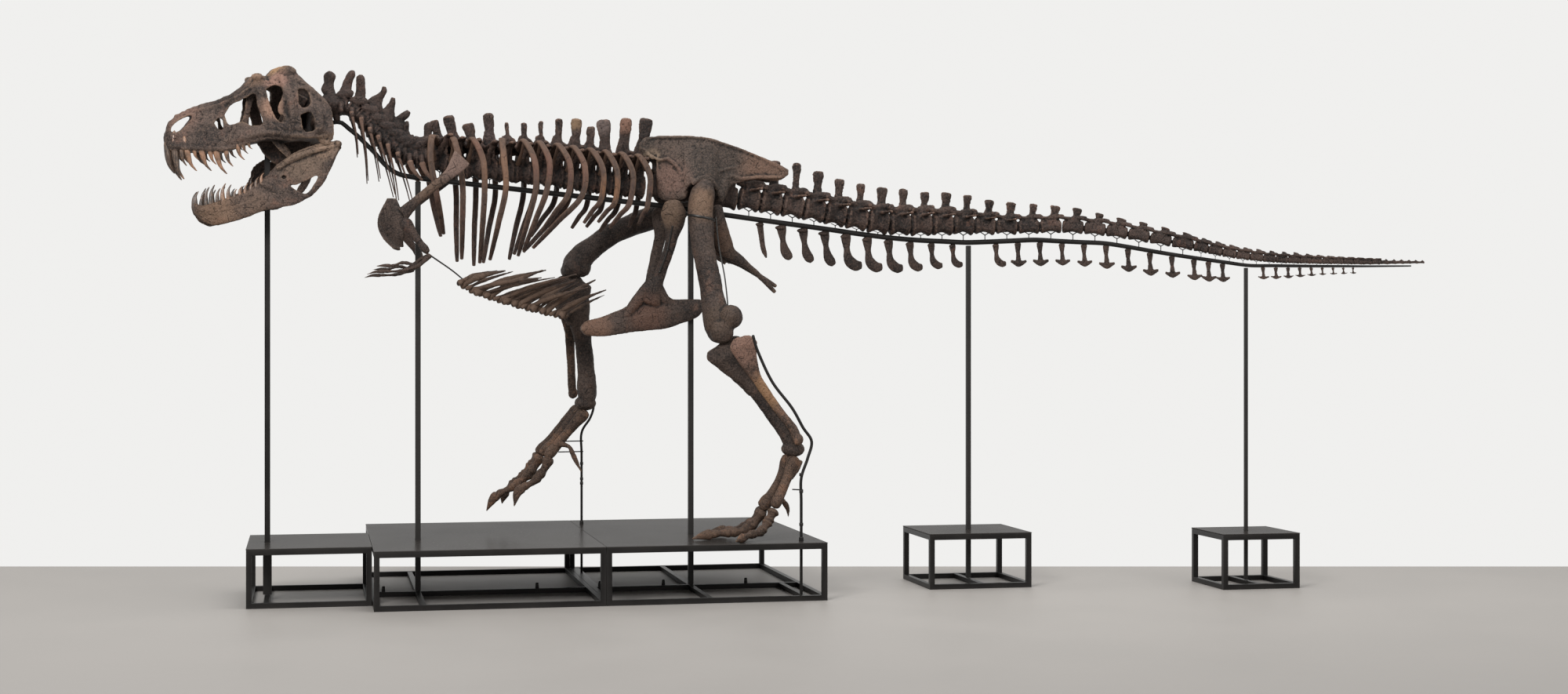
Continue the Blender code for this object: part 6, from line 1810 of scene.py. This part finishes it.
RIDGES = (
    (
        ((0.84, -0.225), (0.72, -0.185), (0.6, -0.165), (0.46, -0.18), (0.3, -0.185), (0.16, -0.18)), 0.022,
        0.03,
    ),
    (((0.7, 0.285), (0.68, 0.17), (0.65, 0.06), (0.61, -0.06), (0.58, -0.14)), 0.02, 0.028),
    (((0.5, 0.3), (0.47, 0.18), (0.435, 0.06), (0.43, -0.06), (0.45, -0.15)), 0.026, 0.042),
    (((0.495, 0.12), (0.52, 0.05), (0.52, 0.0), (0.49, -0.03)), 0.018, 0.026),
    (((0.43, 0.3), (0.33, 0.24), (0.24, 0.16), (0.15, 0.08)), 0.022, 0.03),
    (((0.235, 0.08), (0.22, -0.02), (0.225, -0.12), (0.25, -0.19)), 0.022, 0.034),
    (((1.18, 0.0), (1.05, 0.03), (0.93, 0.075), (0.83, 0.13), (0.73, 0.215)), 0.016, 0.022),
    (((1.37, -0.29), (1.25, -0.3), (1.1, -0.305), (0.96, -0.305), (0.86, -0.275)), 0.018, 0.026),
    (((1.12, -0.26), (1.11, -0.15), (1.1, -0.05)), 0.01, 0.018),
    (((0.93, -0.27), (0.91, -0.2), (0.88, -0.15)), 0.01, 0.018),
)


def build_skull():
    """A hollow head with real openings, roughened bosses over the eyes, and struts seen inside it."""
    stops = np.linspace(1.408, 0.105, 72)
    shell = skin([skull_ring(f) for f in stops])
    hollow = skin([skull_ring(f, 0.034) for f in np.linspace(1.16, 0.2, 40)])
    windows = [hollow, prism(NARIS, -0.3, 0.3, from_side, 4)]
    for outline, inner in (
        (MAXILLARY, 0.06), (ANTORBITAL, 0.03), (ORBIT, 0.06), (TEMPORAL_UPPER, 0.12), (TEMPORAL_LOWER, 0.12),
    ):
        for sign in (-1, 1):
            windows.append(prism(outline, sign * inner, sign * 0.6, from_side, 4))
    for sign in (-1, 1):
        windows.append(prism([(f, sign * y) for f, y in ROOF_WINDOW], 0.1, 0.6, skull_point, 4))
    obj = cut(mesh_object("skull_bone", [shell]), windows)
    forms = []
    for sign in (-1, 1):
        for points, proud, half in RIDGES:
            path = [cheek(f, up, sign, -0.3 * proud) for f, up in points]
            rows = scaled(((0, 0.6, 0.6), (0.3, 1, 1), (0.7, 1, 1), (1, 0.6, 0.6)), proud, half)
            forms.append(loft(path, rows, 12, 30, SKULL_LEFT))
        forms.append(ball(skull_point(0.455, sign * 0.185, 0.345), (0.075, 0.05, 0.048)))
        forms.append(ball(skull_point(0.69, sign * 0.145, 0.29), (0.05, 0.035, 0.034)))
        forms.append(loft(
            skull_line(((0.8, 0.05, -0.22), (0.76, 0.06, -0.02), (0.72, 0.08, 0.2)), sign),
            ((0, 0.02, 0.05), (0.5, 0.01, 0.026), (1, 0.012, 0.04)), 10, 20, SKULL_LEFT,
        ))
        forms.append(loft(
            skull_line(((0.46, 0.13, -0.2), (0.42, 0.1, -0.05), (0.34, 0.08, 0.16)), sign),
            ((0, 0.02, 0.08), (0.5, 0.016, 0.05), (1, 0.02, 0.09)), 10, 20, SKULL_LEFT,
        ))
        wing = [
            ((0.6, 0.17, -0.2), (0.52, 0.15, -0.2), 0.01, 0.012, 0.01),
            ((0.55, 0.16, -0.27), (0.44, 0.14, -0.27), 0.008, 0.012, 0.01),
            ((0.44, 0.15, -0.37), (0.39, 0.13, -0.36), 0.006, 0.008, 0.006),
        ]
        forms.append(skull_blade(wing, sign, 26, 10))
        plate = [
            ((0.8, 0.1, -0.22), (0.79, 0.05, -0.19), 0.008, 0.01, 0.008),
            ((0.55, 0.19, -0.21), (0.55, 0.03, -0.16), 0.01, 0.012, 0.008),
            ((0.3, 0.26, -0.2), (0.28, 0.05, -0.12), 0.01, 0.012, 0.008),
        ]
        forms.append(skull_blade(plate, sign, 30, 10))
        forms.append(loft(
            skull_line(((0.21, 0.29, -0.1), (0.19, 0.29, -0.2), (0.15, 0.285, -0.238)), sign),
            ((0, 0.03, 0.05), (0.6, 0.034, 0.045), (1, 0.036, 0.036)), 12, 18,
        ))
    keel = (
        (0.68, -0.2), (0.255, -0.19), (0.262, -0.3), (0.38, -0.362), (0.47, -0.42), (0.56, -0.37),
        (0.62, -0.3),
    )
    palate = [prism(keel, -0.035, 0.005, from_side, 5)]
    # painted shade: the palate takes the darker BONE finish, not the skull's, for the dark space under the
    # skull
    bone("palate_bones", palate, BONE, "skull", 0.008, (0.05, 0.01), (0.02, 0.004), 3)
    for f in np.linspace(1.3, 0.92, 9):
        forms.append(ball(
            skull_point(f, 0.004 * math.sin(31 * f), on(DORSAL_LINE, f) - 0.014), (0.03, 0.026, 0.015),
        ))
    forms.append(ball(skull_point(0.16, 0.0, -0.05), (0.075, 0.1, 0.1)))
    forms.append(ball(skull_point(0.29, 0.0, 0.125), (0.105, 0.06, 0.115)))
    forms.append(ball(skull_point(0.075, 0.0, -0.075), (0.04, 0.045, 0.04)))
    join(obj, mesh_object("relief", forms))
    aged(obj, SKULL_BONE, ["skull"], 0.0088, (0.055, 0.008), (0.02, 0.0035))


def tooth_kind():
    """A tooth of unit length along z, curving back along x, flattened from side to side."""
    path = [(-0.03, 0, -0.08), (-0.02, 0, 0.0), (0.0, 0, 0.35), (0.06, 0, 0.7), (0.2, 0, 1.0)]
    rows = (
        (0, 0.72, 1.0), (0.25, 0.72, 1.0), (0.5, 0.58, 0.82), (0.78, 0.33, 0.48), (0.94, 0.13, 0.18),
        (1, 0.04, 0.05),
    )
    points, faces = loft(path, rows, 12, 18, (0, 1, 0))
    core = np.array(along(path, 60))
    nearest = np.abs(points[:, 2][:, None] - core[:, 2][None]).argmin(axis=1)
    centre = core[nearest]
    points = np.column_stack((
        centre[:, 0] + (points[:, 0] - centre[:, 0]) * TOOTH_HALF, points[:, 1] * TOOTH_HALF, points[:, 2],
    ))
    return [(points, faces)]


def tooth_place(f, y, base, lean, length, wide):
    """A tooth between its root and its tip, set in from the margin by most of its thickness."""
    y -= math.copysign(0.55 * wide, y)
    root, tip = skull_point(f, y, base), skull_point(f + lean, y * 0.98, base + length)
    z = unit(tip - root)
    x = unit(-SKULL_FORWARD - np.dot(-SKULL_FORWARD, z) * z)
    long = np.linalg.norm(tip - root)
    return (root - 0.06 * long * x, (x, np.cross(z, x), z), (wide / TOOTH_HALF, wide / TOOTH_HALF, long), 0)


def build_teeth():
    places = []
    for sign in (-1, 1):
        for k, (f, y, tip, length) in enumerate(UPPER_TEETH):
            if sign < 0 and k % 3 == 1 and k > 1:
                continue
            length *= 1.0 if sign > 0 or k < 2 else 0.62
            wide = 0.01 + 0.088 * length
            places.append(tooth_place(
                f, sign * y * 0.97, on(VENTRAL_LINE, f) + 0.012, 0.6 * (tip - f), -length - 0.012, wide,
            ))
    obj = row_of("upper_teeth", [tooth_kind()], places, ENAMEL)
    wear(obj, (0.03, 0.001), (0.01, 0.0004))
    done(obj, ENAMEL, "bone", "skull")
    for sign, word in ((1, "left"), (-1, "right")):
        places = []
        for i in range(13):
            if word == "right" and i % 2:
                continue
            f = 1.155 - 0.041 * i
            length = (
                0.055 + 0.085 * math.sin(math.pi * min(1.0, (i + 1.5) / 9)) * (1 if i < 9 else 0.3)
            ) * (0.72 if i % 3 == 1 else 1.0)
            places.append(tooth_place(
                f, sign * on(JAW_OUT, f), on(JAW_UPPER, f) - 0.018, 0.13 * length, length + 0.018,
                0.01 + 0.085 * length,
            ))
        obj = row_of(f"lower_teeth_{word}", [tooth_kind()], places, ENAMEL)
        wear(obj, (0.03, 0.001), (0.01, 0.0004))
        done(obj, ENAMEL, "bone", f"mandible_{word}")


def build_jaws():
    for sign, word in ((1, "left"), (-1, "right")):
        rows = []
        for f in np.linspace(0.047, 1.176, 40):
            out, top, low = on(JAW_OUT, f), on(JAW_UPPER, f), on(JAW_LOWER, f)
            thick = on(JAW_THICK, f)
            lean = 0.02 if f < 1.0 else 0.0
            rows.append(((f, out - lean, top), (f, out + lean, low), thick, 0.9 * thick, thick * 0.8))
        forms = []

        def side_point(f, share):
            return skull_point(
                f, sign * (on(JAW_OUT, f) + 0.018),
                on(JAW_UPPER, f) + share * (on(JAW_LOWER, f) - on(JAW_UPPER, f)),
            )

        for points, half in (
            (((0.1, 0.25), (0.25, 0.12), (0.42, 0.1), (0.55, 0.1)), 0.026),
            (((0.68, 0.05), (0.64, 0.25), (0.58, 0.5), (0.52, 0.72)), 0.022),
            (((0.5, 0.62), (0.62, 0.55), (0.85, 0.45), (1.05, 0.4), (1.15, 0.45)), 0.02),
            (((0.6, 0.9), (0.85, 0.88), (1.05, 0.85)), 0.018),
            (((0.14, 0.55), (0.2, 0.75), (0.3, 0.93), (0.44, 0.94)), 0.02),
        ):
            path = [side_point(f, share) for f, share in points]
            forms.append(loft(
                path,
                ((0, 0.008, 0.5 * half), (0.3, 0.014, half), (0.7, 0.014, half), (1, 0.008, 0.5 * half)), 10,
                26, SKULL_LEFT,
            ))
        forms.append(loft(
            skull_line(((0.06, 0.325, -0.248), (0.07, 0.285, -0.243), (0.085, 0.235, -0.246)), sign),
            ((0, 0.03, 0.028), (0.5, 0.03, 0.026), (1, 0.026, 0.026)), 12, 14, (0, 0, 1),
        ))
        if word == "right":
            crown = (
                ((0.76, 0.205, -0.64), (0.7, 0.225, -0.7), 0.006, 0.01, 0.01),
                ((0.69, 0.215, -0.52), (0.56, 0.255, -0.6), 0.006, 0.012, 0.012),
                ((0.655, 0.22, -0.42), (0.47, 0.265, -0.47), 0.006, 0.012, 0.012),
                ((0.56, 0.225, -0.345), (0.4, 0.265, -0.4), 0.006, 0.009, 0.008),
            )
            forms.append(skull_blade(crown, sign, 40, 12))
        window = prism(JAW_WINDOW, sign * 0.1, sign * 0.5, from_side, 4)
        small = prism(
            ((0.52, -0.53), (0.5, -0.515), (0.48, -0.53), (0.5, -0.548)), sign * 0.255, sign * 0.5, from_side,
            4,
        )
        obj = cut(mesh_object(f"jaw_bone_{word}", [skull_blade(rows, sign, 110, 18)]), [window, small])
        join(obj, mesh_object("relief", forms))
        aged(obj, SKULL_BONE, [f"mandible_{word}"], 0.0066, (0.05, 0.006), (0.016, 0.0028))


# ======== stand
def build_stand():
    """The frames, plates and poles keep their solids; rods, bands and lugs are finer pieces."""
    for name, obj in cad.items():
        if name.startswith("stand_") and name.endswith(("frame", "pole", "plate")):
            obj.data.materials.clear()
            obj.data.materials.append(PLATE if name.endswith("plate") else STEEL)
            weld = obj.modifiers.new("weld", "WELD")
            weld.merge_threshold = 0.00005
            bevel = obj.modifiers.new("bevel", "BEVEL")
            bevel.width = 0.0022 if name.endswith("plate") else 0.0035
            bevel.segments = 2
            bevel.limit_method = "ANGLE"
            bevel.angle_limit = math.radians(40)
    low = 0.046
    left = (
        (-0.64, -1.075, 2.19), (-0.6, -1.08, 2.06), (-0.482, -1.1, 1.807), (-0.319, -1.12, 1.591),
        (-0.225, -1.12, 1.427),
        (-0.15, -1.12, 1.308), (-0.185, -1.12, 1.164), (-0.239, -1.12, 1.001), (-0.239, -1.12, 0.8),
        (-0.239, -1.12, 0.4), (-0.239, -1.12, low),
    )
    right = (
        (-1.8, 0.9, 1.72), (-1.735, 0.9, 1.64), (-1.727, 0.9, 1.54), (-1.76, 0.9, 1.44), (-1.836, 0.9, 1.31),
        (-1.836, 0.9, 1.1), (-1.836, 0.9, 0.6), (-1.836, 0.9, low),
    )
    for word, path, half, bars in (
        ("left", left, 0.0125, ((-0.239, -1.12, 0.905), (-0.3, -1.06, 0.905))),
        (
            "right", right, 0.011,
            ((-1.836, 0.9, 1.236), (-2.04, 0.86, 1.236), (-1.836, 0.9, 1.14), (-2.05, 0.86, 1.14)),
        ),
    ):
        forms = [loft(path, even(half), 14, 120)]
        for near, far in zip(bars[::2], bars[1::2]):
            forms.append(loft([(near[0] + 0.012, *near[1:]), near, far], even(0.0055), 10, 12))
        x, y = path[-1][:2]
        for height in (0.88, 1.02, bars[-2][2] - 0.3):
            collar = [(x, y, height + push) for push in (0, 0.012, 0.024)]
            forms.append(loft(collar, even(1.35 * half), 14, 4, blunt=0.1))
        forms.append(loft(
            [(x, y, PLINTH_TOP + 0.001), (x, y, PLINTH_TOP + 0.03)],
            ((0, 1.6 * half, 1.6 * half), (1, 1.5 * half, 1.5 * half)), 16, 6, blunt=0.2,
        ))
        done(mesh_object(f"leg_rod_{word}", forms), STEEL, "steel", f"stand_{word}_leg_rod")
    strap_y = SPINE_Y - 0.44
    hoop = []
    for k in np.linspace(0, 2 * math.pi, 33)[:-1]:
        hoop.append((
            -0.998 + 0.114 * math.cos(k), SPINE_Y - 0.33 + 0.096 * math.sin(k), 3.195 - 0.02 * math.cos(k),
        ))
    hoop.append(hoop[0])
    band = loft(hoop, even(0.01, 0.0022), 8, 100, (0, 0, 1), blunt=0.1)
    rear = (
        (-0.876, SPINE_Y - 0.345, 3.2), (-0.852, SPINE_Y - 0.36, 2.95), (-0.812, SPINE_Y - 0.4, 2.7),
        (-0.796, SPINE_Y - 0.43, 2.52), (-0.79, strap_y, 2.42),
    )
    rod = loft(rear, even(0.006), 10, 60)
    done(mesh_object("femur_strap", [band, rod]), WIRE_STEEL, "steel")
    belly = loft(
        [(-3.236, SPINE_Y, 2.853), (-3.08, SPINE_Y, 2.745), (-2.965, SPINE_Y, 2.65)],
        ((0, 0.007, 0.007), (1, 0.006, 0.006)), 8, 20,
    )
    tie = loft(
        [(-3.372, SPINE_Y, 2.93), (-3.3, SPINE_Y, 2.895), (-3.236, SPINE_Y, 2.853)], even(0.007), 8, 12,
    )
    done(mesh_object("belly_wire", [belly, tie]), WIRE_STEEL, "steel")
    lugs = []
    for x in (-3.649, -2.361, -1.824, -1.274, -0.551):
        lugs.append(((x, SPINE_Y, 0.044), np.eye(3), (1, 1, 1), 0))
    tab = loft(
        [(0, -0.002, 0.0), (0, -0.002, 0.03), (0, -0.002, 0.045)], ((0, 0.003, 0.016), (1, 0.003, 0.012)), 12,
        8,
    )
    screw = loft([(0, -0.012, 0.026), (0, -0.004, 0.026), (0, 0.006, 0.026)], even(0.006), 10, 6, (0, 0, 1))
    obj = row_of("frame_lugs", [[tab, screw]], lugs, STEEL)
    done(obj, STEEL, "steel")


# ======== room
def build_room():
    """A pale floor and a pale wall far behind, soft light all round, and a broad light from the left."""
    ground, g = material_graph("pale_room")
    place = g.object_place()
    parts = g.node("ShaderNodeSeparateXYZ", {}, {"Vector": place})
    split = parts.socket.node
    x, y = (Wire(g, split.outputs[k]) for k in (0, 1))
    depth = (x + 4.214) * math.sin(CAMERA_TURN) + (y + 19.02) * math.cos(CAMERA_TURN)
    across = g.node("ShaderNodeVectorMath", {"operation": "LENGTH"}, {0: place}, "Value")
    beyond = depth.above(20.86, 20.9)
    wall = 1 - (1 - beyond) * (1 - across.above(10.0, 24.0))
    cloud = g.noise(place, 0.7, 4.0, 0.6)
    speck = g.noise(place, 9.0, 6.0, 0.7)
    colour = g.mix(cloud.above(0.3, 0.7), (0.275, 0.257, 0.24), (0.3, 0.281, 0.263))
    colour = g.mix(speck.above(0.6, 0.75) * 0.12, colour, (0.33, 0.31, 0.29))
    # painted shade: the floor is made darker towards the camera
    colour = g.mix((1 - depth.above(12.0, 19.5)) * 0.75, colour, (0.185, 0.174, 0.163))
    floor_shader = g.node(
        "ShaderNodeBsdfPrincipled", {},
        {"Base Color": colour, "Roughness": 0.42 + cloud * 0.2, "Specular IOR Level": 0.3},
    )
    wall_shader = g.node("ShaderNodeEmission", {}, {"Color": (*WALL_COLOUR, 1.0), "Strength": 1.0})
    both = g.node("ShaderNodeMixShader", {}, {0: wall, 1: floor_shader, 2: wall_shader})
    g.node("ShaderNodeOutputMaterial", {}, {"Surface": both})
    far = 160.0
    mesh = bpy.data.meshes.new("room_floor")
    mesh.from_pydata([(-far, -far, 0), (far, -far, 0), (far, far, 0), (-far, far, 0)], [], [(0, 1, 2, 3)])
    mesh.materials.append(ground)
    link(bpy.data.objects.new("room_floor", mesh))
    world = bpy.data.worlds.new("soft_studio")
    bpy.context.scene.world = world
    world.use_nodes = True
    back = world.node_tree.nodes["Background"]
    back.inputs["Color"].default_value = (*WALL_COLOUR, 1.0)
    back.inputs["Strength"].default_value = 1.0
    for name, spot, aim, size, power in (
        ("key", (-9.0, -13.0, 9.5), (-1.5, -0.3, 2.4), 5.0, 2100.0),
        ("fill", (8.0, -12.0, 7.0), (0.5, -0.3, 2.4), 6.0, 380.0),
        ("top", (0.0, -2.0, 12.0), (0.0, -0.3, 2.0), 7.0, 650.0),
    ):
        light = bpy.data.lights.new(name, "AREA")
        light.shape = "SQUARE"
        light.size = size
        light.energy = power
        lamp = link(bpy.data.objects.new(name, light))
        z = unit(np.array(spot) - np.array(aim))
        x = unit(np.cross(UP, z))
        axes = np.column_stack((x, np.cross(z, x), z))
        lamp.matrix_world = Matrix.Translation(spot) @ Matrix(axes.tolist()).to_4x4()


def build_camera():
    lens = bpy.data.cameras.new("camera")
    lens.lens = 50.4
    lens.sensor_width = 36.0
    lens.shift_y = -0.00625
    lens.clip_end = 400.0
    camera = link(bpy.data.objects.new("camera", lens))
    camera.location = (-4.24 + HOME[0], -19.02, 2.18)
    camera.rotation_euler = (math.radians(90), 0, -CAMERA_TURN)
    bpy.context.scene.camera = camera
    bpy.context.scene.view_settings.view_transform = "Standard"


build_camera()
build_room()
build_stand()
build_bar()
build_chevrons()
build_back()
build_ribs()
build_neck()
build_tail()
build_hips()
build_legs()
build_feet()
build_arms()
build_gastralia()
build_skull()
build_teeth()
build_jaws()
